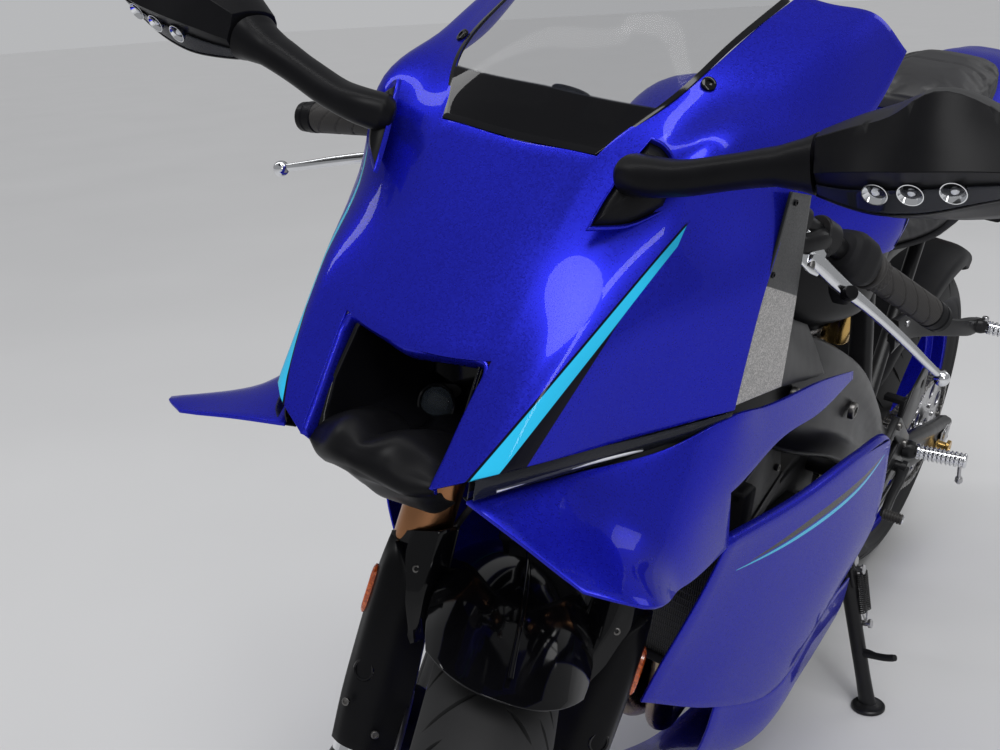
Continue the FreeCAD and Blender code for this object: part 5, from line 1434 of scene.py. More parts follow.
class BuildControls(bpy.types.Operator):
    """Clip-on bars with grips, bar ends, levers, switches, reservoirs and their hoses"""
    bl_idname = "motorcycle.controls"
    bl_label = "Controls"

    def execute(self, context):
        self.add_bars()
        self.add_grips()
        self.add_switches()
        self.add_levers()
        self.add_hoses()
        return {"FINISHED"}

    def add_bars(self):
        things = [lathe("bar_tube", [(0, 0), (10.4, 0), (11, 0.8), (11, 300), (0, 300)],
                        [finish("black_alloy")], bar_frame(308), 40)]
        ring = [(27.4, -13), (33, -13), (35, -11), (35, 22), (33, 24), (27.4, 24)]
        centre = (105, -28.4, 712)
        things.append(lathe("bar_clamp", ring, [finish("black_alloy")],
                            along_x(centre, (0, 0, 1), STEERING), 56, edge=0.5, closed=True))
        bridge = [((100, -30, 716), (22, 17)), (on_bar(300), (19, 17)), (on_bar(284), (17, 16)),
                  (on_bar(270), (15.5, 15.5)), (on_bar(262), (15, 15))]
        things.append(rod("bar_bridge", bridge, [finish("black_alloy")], STEERING, 32, 5, square=0.8))
        boss = [((134, -10, 700), (8, 8)), ((134, -10, 722), (8, 8))]
        things.append(rod("bar_clamp_boss", boss, [finish("black_alloy")], STEERING, 20, 2, edge=0.8))
        bars = both_ends("clip_on_bar_pair", things, STEERING)
        ride(bars, "steering", "black_alloy", "clip_on_bars")
        spots = []
        for side in (1, -1):
            spots += [((side * 134, -10, 723), (0, 0, 1)), ((side * 92, -62, 718), (0, -1, 0)),
                      ((side * 104, -63.6, 703), (0, -1, 0))]
        heads = screws("bar_clamp_screws", spots, 4.6, 4, [finish("dark_steel")], STEERING, 0.52, False)
        ride(heads, "steering", "bare_steel")

    def add_grips(self):
        def ribs(angle, x):
            if x < 6:
                return 20.5 - 1.2 * (abs(x - 3) / 3) ** 2
            if x < 20:
                return 17.4 + 0.7 * (round(math.cos(angle * 18)) * (int(x / 2.4) % 2))
            wave = math.sin(x * 0.13 + 2.2 * math.sin(angle))
            groove = 0.9 if abs(wave) < 0.10 else 0.0
            flat = 0.5 if math.cos(angle * 3 + 0.6) > 0.1 and 34 < x < 116 else 0.0
            return 16.1 + flat - groove + 0.16 * math.sin(x * 2.2)

        grip = turned("grip_rubbers", 122, ribs, bar_frame(143), [finish("grip_rubber")], 72, 122)
        ends = lathe("bar_end_weights", [(0, 0), (15.5, 0), (16.6, 1.4), (16.6, 10), (15.2, 11.4),
                                         (15.2, 13.4), (16, 14.6), (15.6, 21), (12.6, 23.4), (5, 23.6),
                                         (4.2, 20), (0, 19.6)],
                     [finish("black_satin")], bar_frame(20), 48)
        ride(both_ends("hand_grip_pair", [grip], STEERING), "steering", "grip_rubber", "hand_grips")
        ride(both_ends("bar_end_pair", [ends], STEERING), "steering", "black_satin")

    def add_switches(self):
        black = [finish("black_grained")]
        case = [(on_bar(194), (17, 18)), (on_bar(190), (22, 23)), (on_bar(178), (24, 26)),
                (on_bar(160), (23, 25)), (on_bar(150), (20, 21)), (on_bar(147), (18, 18))]
        things = [rod("switch_case", case, black, STEERING, 36, 5, square=0.72)]
        pod = [(on_bar(176) + Vector((0, 6, -18)), (13, 10)), (on_bar(168) + Vector((1, 10, -34)), (12, 9)),
               (on_bar(164) + Vector((2, 12, -42)), (9, 6))]
        things.append(rod("switch_pod", pod, black, STEERING, 28, 4, square=0.7))
        pair = both_ends("switch_cases", things, STEERING)
        ride(pair, "steering", "black_satin", "switch_housings")
        for side, names in ((1, ("beam", "indicator", "horn")), (-1, ("stop", "start", "mode"))):
            for k, name in enumerate(names):
                spot = on_bar(182 - k * 12) + Vector((0, 20 - k * 2, 12 - k * 9))
                spot.x *= side
                place = along_x(spot, (0, 0.94, 0.34), STEERING)
                tone = "red_lens" if name == "stop" else "grip_rubber"
                profile = [(0, -6), (6.4, -6), (6.4, 2.6), (5.6, 3.8), (3, 4.2), (0, 4.0)]
                button = lathe("button_" + name, profile, [finish(tone)], place, 28)
                ride(button, "steering", "black_satin")

    def add_levers(self):
        path = [((166, -46, 691), (8, 5.6)), ((180, -40, 686), (9.4, 6)), ((198, -32, 679), (9, 5.6)),
                ((218, -24, 672), (7.6, 5)), ((240, -16, 665), (6.2, 4.6)), ((262, -9, 657), (5.4, 4.4)),
                ((295, 2, 644), (5, 4.2)), ((325, 12, 631), (4.2, 3.8)), ((342, 18, 624), (3.6, 3.6))]
        path = [(p, (b, a)) for p, (a, b) in path]
        blade = rod("lever_blade", path, [finish("polished_alloy")], STEERING, 24, 6, square=0.8,
                    flat=(0, 0.3, 0.95))
        reach = Vector((348, 20, 621))
        ball = [(8.2 * math.sin(k * math.pi / 14), -8.2 * math.cos(k * math.pi / 14)) for k in range(15)]
        tip = lathe("lever_ball", ball, [finish("polished_alloy")],
                    along_x(reach, (0.9, 0.25, -0.3), STEERING), 36)
        ride(both_ends("lever_blades", [blade, tip], STEERING), "steering", "bare_alloy",
             "control_levers")
        fork = []
        for lift in (-7.5, 7.5):
            arm = [((148, -50, 701 + lift), (3.2, 8.5)), ((160, -48, 696 + lift), (3.2, 9)),
                   ((172, -44, 690 + lift), (3, 8.5)), ((180, -41, 686.5 + lift), (2.6, 5))]
            fork.append(rod("perch_arm", arm, [finish("polished_alloy")], STEERING, 24, 4, square=0.7,
                            flat=(0, 0.3, 0.95)))
        fork[0].name = "perch_arms"
        fork.append(lathe("lever_pin", [(0, -12), (4.6, -12), (4.6, 12), (3.6, 13), (0, 13)],
                          [finish("dark_steel")],
                          along_x((169, -45, 691.5), (0, 0.3, 0.95), STEERING), 24))
        ride(both_ends("lever_perch_arms", fork, STEERING), "steering", "bare_alloy")
        perch = [(on_bar(222), (15, 12)), ((170, -34, 708), (13, 12)),
                 ((155, -46, 700), (12, 11)), ((146, -51, 697), (9, 9))]
        ring = lathe("perch_ring", [(11, -11), (17.5, -11), (19, -9), (19, 9), (17.5, 11), (11, 11)],
                     [finish("black_alloy")], bar_frame(226), 40, edge=0.4, closed=True)
        body = rod("perch_body", perch, [finish("black_alloy")], STEERING, 28, 4, square=0.8)
        knob = [(0, -7), (4, -7), (4, 0), (7.4, 0.6)]
        knob += [(7.4 - (k % 2) * 0.5, 1.6 + k) for k in range(8)] + [(6.6, 10.4), (0, 10.8)]
        wheel = lathe("lever_adjuster", knob, [finish("black_satin")],
                      along_x((216, -30, 668), (0.1, -0.93, 0.3), STEERING), 28)
        ride(both_ends("lever_perches", [ring, body, wheel], STEERING), "steering", "black_alloy")
        self.add_master_cylinder()

    def add_master_cylinder(self):
        black = [finish("black_alloy")]
        body = [((-176, -44, 703), (10, 10)), ((-150, -62, 708), (11, 11)),
                ((-128, -78, 712), (10.5, 10.5)), ((-120, -84, 713), (7, 7))]
        cylinder = rod("master_cylinder", body, black, STEERING, 28, 4)
        ride(cylinder, "steering", "black_alloy")
        pot = [(0, -16), (13, -16), (16, -14), (17, 12), (18.4, 12.6), (18.4, 19), (17, 20.6), (0, 21)]
        centre = Vector((-96, -92, 742))
        reservoir = lathe("fluid_reservoir", pot, [finish("amber_fluid"), finish("black_satin")],
                          along_x(centre, (0, 0, 1), STEERING), 40, edge=0.4,
                          paint=lambda k, j: 1 if j > 3 else 0)
        ride(reservoir, "steering", "black_satin")
        stay = [((-128, -76, 716), (4, 2)), ((-114, -84, 722), (5, 2)),
                ((-108, -90, 728), (5, 2))]
        ride(rod("reservoir_stay", stay, black, STEERING, 16, 5), "steering", "black_alloy")

    def add_hoses(self):
        rubber = [finish("hose_rubber")]
        runs = {
            "brake_hose_upper": [(-122, -84, 713), (-104, -92, 706), (-78, -84, 690), (-58, -70, 640),
                                 (-46, -66, 560), (-30, -66, 500), (-10, -62, 478)],
            "reservoir_hose": [(-96, -92, 726), (-100, -90, 718), (-112, -84, 714), (-124, -78, 716)],
            "clutch_cable": [(150, -52, 699), (128, -66, 704), (98, -76, 700), (74, -70, 676),
                             (58, -52, 630), (52, -44, 560), (50, -40, 500)],
            "throttle_cable": [(-168, 6, 700), (-150, -34, 701), (-128, -64, 702), (-98, -75, 697),
                               (-76, -66, 672), (-60, -52, 620), (-54, -44, 560), (-50, -40, 500)],
            "switch_lead": [(170, 8, 696), (142, 22, 688), (104, 32, 676), (70, 30, 640),
                            (56, 8, 590), (50, -6, 520)],
        }
        for name, run in runs.items():
            radius = 3.6 if "hose" in name else 2.6
            ride(rod(name, [(p, radius) for p in run], rubber, STEERING, 14, 7), "steering", "black_satin")


def amber_fluid(name):
    """Cloudy plastic with brake fluid behind it."""
    return plain(name, (0.22, 0.07, 0.02), 0.25, wear=0.3, size=12, grain=1.0, depth=0.02)


FINISHES["amber_fluid"] = amber_fluid


# Fork, front mudguard and front brakes, in the steering frame

FORK_Y = -FORK_OFFSET


def leg_frame(side, height):
    """Frame on a fork leg's axis whose x axis runs up along it."""
    return along_x((side * FORK_SPREAD, FORK_Y, height), (0, 0, 1), STEERING)


def round_axle(angle, radius, across=0.0):
    """Point beside the front axle: an angle forwards from straight up, a radius and a side step."""
    turn = math.radians(angle)
    return Vector((across, FORK_Y - radius * math.sin(turn), radius * math.cos(turn)))


class BuildFork(bpy.types.Operator):
    """Fork legs with their caps, sliders and feet, both yokes and the axle's ends"""
    bl_idname = "motorcycle.fork"
    bl_label = "Fork"

    def execute(self, context):
        uppers, sliders, seals, caps, feet = [], [], [], [], []
        for side in (1, -1):
            tube = [(26.2, 246), (27, 247), (27, 262), (26.4, 263), (26.4, 266), (27, 267), (27, 466),
                    (26.6, 467), (26.6, 500), (27, 501), (27, 741), (26, 742), (0, 742)]
            uppers.append(lathe("fork_tube", tube, [finish("bronze_alloy")], leg_frame(side, 0), 72))
            slider = [(0, 86), (21.4, 86), (21.4, 262), (0, 262)]
            sliders.append(lathe("fork_slider", slider, [finish("chrome")], leg_frame(side, 0), 72))
            seal = [(21.6, 238), (25.2, 238), (26.4, 240), (26.4, 244), (27.6, 245), (28.2, 249),
                    (27.4, 253), (26.8, 254)]
            seals.append(lathe("fork_seal", seal, [finish("black_satin")], leg_frame(side, 0), 64))
            caps.append(self.cap(side))
            feet.append(self.foot(side))
        ride(joined("fork_tubes", uppers), "steering", "gold_alloy", "fork_upper_tubes")
        ride(joined("fork_sliders", sliders), "steering", "bare_steel")
        ride(joined("fork_seals", seals), "steering", "black_satin")
        ride(joined("fork_caps", caps), "steering", "gold_alloy")
        whole = joined("fork_feet", feet)
        ride(whole, "steering", "black_alloy", "fork_lower_legs")
        self.add_yokes()
        self.add_axle()
        return {"FINISHED"}

    def cap(self, side):
        def hexagon(angle, x):
            sector = (angle + math.pi / 6) % (math.pi / 3) - math.pi / 6
            if x > 7 and x < 16:
                return 11 / math.cos(sector)
            return 24.5 if x < 3 else (21 if x < 7 else 5.5)

        return turned("fork_cap", 22, hexagon, leg_frame(side, 740),
                      [finish("bronze_alloy")], 72, 22, edge=0.3)

    def foot(self, side):
        black = [finish("black_alloy")]
        x = side * FORK_SPREAD
        loops = []
        for height, front, back, half in ((-31, 20, 16, 17), (-26, 30, 26, 22), (0, 34, 31, 24.5),
                                          (30, 32, 30, 24.5), (62, 27, 27, 24), (88, 24, 24, 23),
                                          (94, 22, 22, 21)):
            loops.append([(x + half * math.cos(a), FORK_Y + (front if math.sin(a) < 0 else back)
                           * math.sin(a), height) for a in [math.tau * k / 16 for k in range(16)]])
        leg = loft("axle_foot", loops, black, 3, 2, place=STEERING, edge=0.6)
        inner = x - side * 13
        outline = [(FORK_Y + 16, 0), (FORK_Y + 60, 18), (FORK_Y + 112, 34), (FORK_Y + 126, 44),
                   (FORK_Y + 128, 62), (FORK_Y + 116, 74), (FORK_Y + 96, 98), (FORK_Y + 80, 96),
                   (FORK_Y + 56, 74), (FORK_Y + 20, 84)]
        hole = circle(12, 20, (FORK_Y + 62, 52))
        lug = plate("caliper_lug", outline, [hole], 14, black, STEERING @ shift((inner, 0, 0)), 1.2)
        return joined("fork_foot", [leg, lug])

    def add_yokes(self):
        black = [finish("black_alloy")]
        for name, low, arm, thick in (("upper_yoke_casting", 660, 10, 30),
                                      ("lower_yoke_casting", 468, 22, 30)):
            outer = []
            for side in (1, -1):
                for k in range(-6, 7):
                    angle = math.radians(k * 18 + (0 if side > 0 else 180))
                    outer.append((side * FORK_SPREAD + 36 * math.cos(angle),
                                  FORK_Y + 36 * math.sin(angle)))
                if side > 0:
                    outer += [(60, 6), (36, 28), (0, 36), (-36, 28), (-60, 6)]
                else:
                    outer += [(-60, FORK_Y - 14), (0, FORK_Y - arm), (60, FORK_Y - 14)]
            turn = Matrix(((0, 1, 0, 0), (0, 0, 1, 0), (1, 0, 0, 0), (0, 0, 0, 1)))
            frame = STEERING @ shift((0, 0, low + thick / 2)) @ turn
            holes = [circle(27.2, 40, (side * FORK_SPREAD, FORK_Y)) for side in (1, -1)]
            holes.append(circle(15.2, 32))
            if low > 600:
                for side in (1, -1):
                    holes.append([(side * y, z) for y, z in ((36, -26), (62, -30), (66, -16), (40, -4))])
            whole = plate(name, outer, holes, thick, black, frame, 2.2)
            ride(whole, "steering", "black_alloy", "upper_yoke" if low > 600 else "lower_yoke")
        stem = [(9.2, 470), (15, 470), (15, 690), (20.6, 690), (20.6, 700), (17, 703), (9.2, 703)]
        tube = lathe("steering_stem", stem, [finish("polished_alloy")],
                     along_x((0, 0, 0), (0, 0, 1), STEERING), 56, closed=True)
        ride(tube, "steering", "bare_steel")
        spots = []
        for side in (1, -1):
            for z in (468, 488):
                spots.append(((side * 78, FORK_Y - 30, z + 6), (-side * 0.3, -1, 0)))
            spots.append(((side * 78, FORK_Y - 31, 675), (-side * 0.3, -1, 0)))
        heads = screws("yoke_screws", spots, 5.4, 5, [finish("dark_steel")], STEERING, 0.5, False)
        ride(heads, "steering", "bare_steel")

    def add_axle(self):
        frame = along_x((0, FORK_Y, 0), (1, 0, 0), STEERING)
        ends = []
        for side in (1, -1):
            profile = [(12.4, 60), (12.4, 128), (17, 128.4), (17, 133), (16, 134.6), (9, 134.8),
                       (8.4, 122), (0, 121)]
            ends.append(lathe("axle_end", [(r, side * x) for r, x in profile], [finish("bare_steel")],
                              frame, 40))
        ride(joined("axle_ends", ends), "steering", "bare_steel")
        dress("front_axle", "bare_steel")


class BuildFrontFender(bpy.types.Operator):
    """Front mudguard with its side wings, leg guards and reflectors"""
    bl_idname = "motorcycle.front_fender"
    bl_label = "Front mudguard"

    def execute(self, context):
        rows = []
        shares = (0, 0.3, 0.6, 0.84, 1.0)
        for angle, half, drop, radius in ((39.5, 72, 36, 332), (24, 77, 42, 334.5), (8, 79, 48, 336),
                                          (-12, 80, 52, 337), (-32, 76, 50, 337), (-48, 68, 42, 337)):
            bend = (half * half + drop * drop) / (2 * drop)
            reach = math.asin(min(1.0, half / bend))
            row = []
            for share in shares:
                turn = reach * share
                lean = angle
                if angle > 30:
                    lean = angle - 10 * share ** 2.2
                row.append(round_axle(lean, radius - bend * (1 - math.cos(turn)),
                                      bend * math.sin(turn)))
            rows.append(row)
        hood = panel("fender_shell", rows, [finish("black_gloss")], 8, 6, whole=True, place=STEERING,
                     thickness=2.6, edge=0.8, sharp=60)
        ride(hood, "steering", "black_gloss", "front_fender")
        crest = [(round_axle(angle, 337.4), (2.4, 0.9)) for angle in (36, 26, 10, -10, -30, -46)]
        ridge = rod("fender_ridge", crest, [finish("black_gloss")], STEERING, 16, 6)
        ride(ridge, "steering", "black_gloss")
        self.add_wings()
        self.add_guards()
        return {"FINISHED"}

    def add_wings(self):
        rows = (
            ((134, -34, 318), (112, -60, 330), (88, -64, 338), (74, -50, 344)),
            ((133, -40, 300), (112, -62, 306), (88, -66, 314), (72, -52, 322)),
            ((124, -50, 276), (106, -64, 276), (86, -68, 282), (70, -54, 292)),
            ((104, -58, 250), (94, -64, 249), (80, -66, 254), (68, -52, 262)),
            ((84, -62, 224), (80, -62, 226), (73, -58, 230), (67, -46, 240)),
        )
        wing = panel("fork_wings", rows, [finish("black_gloss")], 6, 6, place=STEERING, thickness=2.4,
                     edge=0.7, column_breaks=(1,), sharp=45)
        ride(wing, "steering", "black_gloss")
        web = (
            ((72, -48, 344), (74, -14, 322), (76, 30, 306)),
            ((68, -50, 292), (72, -14, 290), (76, 34, 292)),
            ((66, -44, 240), (70, -10, 262), (76, 26, 280)),
        )
        side = panel("fender_cheeks", web, [finish("black_gloss")], 6, 6, place=STEERING, thickness=2.4,
                     edge=0.6)
        ride(side, "steering", "black_gloss")

    def add_guards(self):
        rows = []
        for height, outer, inner, front in ((314, 134, 120, -56), (296, 135.5, 96, -60),
                                            (250, 137, 76, -62), (200, 136, 69, -58),
                                            (150, 134, 66, -54), (104, 130, 68, -52)):
            rows.append(((outer - 1, FORK_Y + 22, height), (outer, FORK_Y - 8, height),
                         (outer - 9, front + 4, height), ((outer + inner) / 2, front - 3, height),
                         (inner, front + 6, height), (inner - 1, FORK_Y - 6, height)))
        guard = panel("leg_guards", rows, [finish("black_satin")], 6, 5, place=STEERING, thickness=2.4,
                      edge=0.7, column_breaks=(1, 4), sharp=50)
        ride(guard, "steering", "black_satin")
        dishes = []
        reflectors = []
        for side in (1, -1):
            dishes.append(lathe("guard_hole", [(0, -2.6), (7.4, -2.6), (8.6, 0.8), (10.4, 1.4), (11.2, 0.2)],
                                [finish("black_gloss")],
                                along_x((side * 119, -55.5, 184), (side * 0.35, -0.93, 0), STEERING), 32))
            loops = []
            for size, lift in ((1.0, -3), (1.0, 1.6), (0.9, 3.2), (0.6, 3.8)):
                loop = []
                for k in range(20):
                    angle = math.tau * k / 20
                    y = 10.5 * size * math.copysign(abs(math.cos(angle)) ** 0.7, math.cos(angle))
                    z = 25 * size * math.copysign(abs(math.sin(angle)) ** 0.7, math.sin(angle))
                    loop.append((side * (137 + lift), FORK_Y - 2 + y, 256 + z))
                loops.append(loop)
            reflectors.append(loft("reflector", loops, [finish("amber_reflector")], 2, 1,
                                   place=STEERING, breaks=(1,), sharp=30))
        ride(joined("guard_holes", dishes), "steering", "black_satin")
        ride(joined("leg_reflectors", reflectors), "steering", "lamp_lens")
        spots = []
        for side in (1, -1):
            spots += [((side * 126, -58, 150), (side * 0.3, -0.95, 0)),
                      ((side * 90, -60.5, 128), (-side * 0.2, -0.97, 0)),
                      ((side * 100, -64, 296), (0, -1, 0.1))]
        heads = screws("guard_screws", spots, 4, 2.4, [finish("dark_steel")], STEERING, 0.5)
        ride(heads, "steering", "bare_steel")


class BuildFrontBrakes(bpy.types.Operator):
    """Front calipers with their caps, bolts and hoses"""
    bl_idname = "motorcycle.front_brakes"
    bl_label = "Front brakes"

    def execute(self, context):
        loops = []
        for x, grow in ((41, -10), (44, -3), (50, 0), (58, 2), (66, 2.6), (74, 2), (80, 0), (83, -4),
                        (85, -10)):
            loop = []
            for radius, angle in ((118, 16), (126, 13), (156, 12.4), (180, 13.4), (188, 20), (191, 30),
                                  (188, 40), (180, 46.6), (156, 47.6), (126, 47), (118, 44), (116, 30)):
                turn = math.radians(30 + (angle - 30) * (1 + grow / 70))
                size = 153 + (radius - 153) * (1 + grow / 40)
                loop.append((x, FORK_Y + size * math.cos(turn), size * math.sin(turn)))
            loops.append(loop)
        body = loft("caliper_body", loops, [finish("black_alloy")], 3, 3, place=STEERING, edge=0)
        slot = lathe("caliper_slot", [(100, 62.8), (163, 62.8), (163, 69.2), (100, 69.2)],
                     [finish("black_alloy")], along_x((0, FORK_Y, 0), (1, 0, 0), STEERING), 96, closed=True)
        modify(body, "BOOLEAN", operation="DIFFERENCE", object=slot, solver="EXACT")
        pair = joined("caliper_half", [body])
        bpy.data.objects.remove(slot)
        mirror(pair)
        pair.name = "caliper_bodies"
        ride(pair, "steering", "black_alloy", "front_calipers")
        pots = []
        for angle in (21.5, 38.5):
            turn = math.radians(angle)
            centre = (85, FORK_Y + 153 * math.cos(turn), 153 * math.sin(turn))
            pots.append(lathe("caliper_cap", [(0, -6), (15, -6), (15, 1.4), (13.6, 2.6), (8, 2.8),
                                              (7.4, 1.4), (0, 1.2)], [finish("dark_steel")],
                              along_x(centre, (1, 0, 0), STEERING), 40))
        ride(both_ends("caliper_caps", pots, STEERING), "steering", "black_alloy")
        spots = []
        for side in (1, -1):
            for angle in (17, 43):
                turn = math.radians(angle)
                spots.append(((side * 86, FORK_Y + 186 * math.cos(turn), 186 * math.sin(turn)),
                              (0, math.cos(turn), math.sin(turn))))
        heads = screws("caliper_screws", spots, 6, 7, [finish("dark_steel")], STEERING, 0.5, False)
        ride(heads, "steering", "bare_steel")
        hoses = []
        for side in (1, -1):
            run = [(side * 8, -62, 476), (side * 30, -70, 440), (side * 62, -60, 380),
                   (side * 78, 0, 320), (side * 84, 60, 250), (side * 88, 112, 190),
                   (side * 82, 136, 146), (side * 76, 140, 122)]
            hoses.append(rod("caliper_hose", [(p, 3.4) for p in run], [finish("hose_rubber")],
                             STEERING, 14, 7))
        ride(joined("caliper_hoses", hoses), "steering", "black_satin")
        return {"FINISHED"}


# Wheels, each in its own frame, and the chain

GROOVES = ((0.0, 0.10, 0.46), (0.34, 0.22, 0.80), (0.67, 0.52, 0.97))


class Tread:
    """Where a tyre's cut grooves run: slanting lines in each half, half a pitch apart."""

    def __init__(self, radius, curve, half, pitches, width, depth):
        self.reach = curve * math.asin(half / curve)
        self.radius = radius
        self.pitches = pitches
        self.pitch = math.tau * radius / pitches
        self.width = width
        self.depth = depth
        rows = []
        for side in (1, -1):
            for start, inner, outer in GROOVES:
                place = (start + (0.5 if side < 0 else 0.0)) % 1.0
                for part in (-2, -1, 1, 2):
                    rows.append((place, part, side, inner, outer))
        rows.sort(key=lambda row: (row[0], row[1]))
        self.rows = []
        for k, row in enumerate(rows):
            self.rows.append(row)
            if row[1] == 2:
                after = rows[(k + 1) % len(rows)][0] + (1.0 if k + 1 == len(rows) else 0.0)
                self.rows.append(((row[0] + after) / 2, 0, 1, 2.0, 2.0))

    def at(self, row, across):
        """Turn about the axle and depth under the surface, a distance across from the middle."""
        place, part, side, inner, outer = row
        share = abs(across) / self.reach
        taper = 0.0
        if across * side > 0:
            taper = min(1.0, max(0.0, (share - inner) * 9), max(0.0, (outer - share) * 9))
            taper = math.sqrt(taper)
        half = self.width / 2 * max(taper, 0.12)
        step = {-2: -half - 0.5, -1: -half, 0: 0.0, 1: half, 2: half + 0.5}[part]
        depth = self.depth * taper if abs(part) == 1 else 0.0
        twist = 62 * min(share, 1.0) ** 1.3 - 8 * min(share, 1.0) ** 4
        return (place * self.pitch + step + twist) / self.radius, depth


def tyre(name, radius, half, curve, foot, place, tread):
    """Tyre with cut grooves, ringed side walls, beads and its inside."""
    middle = radius - curve
    steps = 24
    outside = []
    for k in range(-steps, steps + 1):
        angle = math.asin(half / curve) * k / steps
        outside.append((middle + curve * math.cos(angle), curve * math.sin(angle), angle * curve))
    shoulder = outside[-1][0]
    wall = []
    for share, bulge in ((0.07, 0.5), (0.16, 0.9), (0.17, 0.2), (0.34, 1.1), (0.36, 1.8), (0.6, 1.8),
                         (0.62, 1.1), (0.8, 0.9), (0.88, 1.6), (0.95, 1.4), (1.0, 0.0)):
        wall.append((shoulder + (227.3 - shoulder) * share, half + (foot - half) * share + bulge, None))
    wall += [(217, foot - 0.4, None), (216.2, foot - 1.2, None)]
    lining = [(216.2, foot - 8, None), (226, foot - 9, None), (shoulder - 3, half - 9, None),
              (middle + (curve - 9) * 0.75, (curve - 9) * 0.66, None),
              (middle + (curve - 9) * 0.95, (curve - 9) * 0.31, None)]
    right = wall + lining
    profile = outside + right + [(middle + curve - 9, 0, None)]
    profile += [(r, -x, None) for r, x, s in reversed(right)]
    turns = [(pitch, row) for pitch in range(tread.pitches) for row in tread.rows]
    rows = []
    for r, x, across in profile + profile[:1]:
        reach = tread.reach if x > 0 else -tread.reach
        ring = []
        for pitch, row in turns:
            turn, depth = tread.at(row, reach if across is None else across)
            if across is not None and depth:
                lean = across / curve
                spot = (r - depth * math.cos(lean), x - depth * math.sin(lean))
            else:
                spot = (r, x)
            turn += math.tau * pitch / tread.pitches
            ring.append(Vector((spot[1], spot[0] * math.cos(turn), spot[0] * math.sin(turn))))
        rows.append(ring)
    vertices, faces, indices = grid_mesh(rows, closed=True)
    thing = add_mesh(name, vertices, faces, place, [finish("tyre_rubber")], indices, 34)
    return levelled(tidy_mesh(thing, 0.002))


def levelled(thing):
    """The same piece with its shape turned instead of its frame, so that its box is close."""
    thing.data.transform(thing.matrix_world)
    thing.matrix_world = Matrix.Identity(4)
    return thing


def casting(name, half, hub, hub_half, place):
    """Wheel without its tyre: barrel, hub and five pairs of spokes."""
    blue = [finish("wheel_blue")]
    well = half - 26
    barrel = [(227, -half), (227, 5 - half), (216, 5 - half), (216, -well), (200, 8 - well),
              (200, well - 8), (216, well), (216, half - 5), (227, half - 5), (227, half),
              (213, half), (211, half - 2), (211, well + 3), (195, well - 5), (195, 5 - well),
              (211, -well - 3), (211, 2 - half), (213, -half)]
    things = [lathe("barrel", barrel, blue, place, 144, edge=1.0, closed=True)]
    end = hub_half
    core = [(12.6, -end), (hub - 3, -end), (hub, 3 - end), (hub, 12 - end), (hub - 4, 18 - end),
            (hub - 4, end - 18), (hub, end - 12), (hub, end - 3), (hub - 3, end), (12.6, end)]
    things.append(lathe("hub", core, blue, place, 72, edge=0.8, closed=True))
    for pair in range(5):
        for side in (1, -1):
            stations = []
            for r, turn, width, depth in ((0.72 * hub, 9, 10.5, 15), (1.15 * hub, 9.6, 9.6, 13.5),
                                          (100, 12, 7.6, 11), (160, 14, 6.6, 10.5), (186, 14.7, 7.4, 11.5),
                                          (198, 15, 10.5, 13)):
                angle = math.radians(72 * pair + side * turn)
                point = Vector((0, -r * math.sin(angle), r * math.cos(angle)))
                stations.append((point, (width, depth)))
            things.append(rod("spoke", stations, blue, place, 20, 4, square=0.62, flat=(1, 0, 0)))
        web = [(1.05 * hub, 0, 8), (1.28 * hub, 0, 7), (1.5 * hub, 0, 4)]
        angle = math.radians(72 * pair)
        stations = [((0, -r * math.sin(angle), r * math.cos(angle)), (0.17 * r, depth))
                    for r, turn, depth in web]
        things.append(rod("spoke_web", stations, blue, place, 16, 3, square=0.7, flat=(1, 0, 0)))
    return levelled(joined(name, things))


def valve(name, place, turn):
    """Bent tyre valve with its cap."""
    angle = math.radians(turn)
    out = Vector((0, -math.sin(angle), math.cos(angle)))
    stations = [(out * 199, (5, 5)), (out * 188, (4.4, 4.4)), (out * 183 + Vector((3, 0, 0)), (4, 4)),
                (out * 181 + Vector((8, 0, 0)), (4, 4)), (out * 180.4 + Vector((11, 0, 0)), (4, 4)),
                (out * 180.3 + Vector((11.6, 0, 0)), (5, 5)), (out * 179.6 + Vector((22, 0, 0)), (4.7, 4.7))]
    return rod(name, stations, [finish("black_satin")], place, 16, 2, edge=0.3)


def brake_disc(name, outside, inside, holes, thickness, place, plane, ring, arm):
    """Drilled brake disc on its five-armed carrier."""
    drilled = [circle(inside, 120)]
    step = math.pi / holes
    for k in range(holes):
        for r, turn in ((inside + 0.7 * (outside - inside), 0), (inside + 0.29 * (outside - inside), step)):
            angle = 2 * step * k + turn
            drilled.append(circle(4, 12, (r * math.cos(angle), r * math.sin(angle))))
    frame = place @ shift((plane, 0, 0))
    things = [plate("disc_band", circle(outside, 180), drilled, thickness, [finish("ground_steel")],
                    frame, 0.35)]
    outline = []
    for k in range(5):
        lead = math.tau * k / 5 + math.pi / 2
        for r, across in ((ring, 9), (0.5 * (ring + arm), 6.5), (arm - 3, 6), (arm, 4), (arm, -4),
                          (arm - 3, -6), (0.5 * (ring + arm), -6.5), (ring, -9)):
            turn = lead - across / r
            outline.append((r * math.cos(turn), r * math.sin(turn)))
        for share in (0.25, 0.5, 0.75):
            turn = lead + 9 / ring + (math.tau / 5 - 18 / ring) * share
            outline.append((ring * math.cos(turn), ring * math.sin(turn)))
    ordered = sorted(outline, key=lambda p: math.atan2(p[1], p[0]))
    things.append(plate("disc_carrier", ordered, [circle(ring - 9, 48)], thickness + 1.5,
                        [finish("black_alloy")], frame, 0.5))
    return joined(name, things)


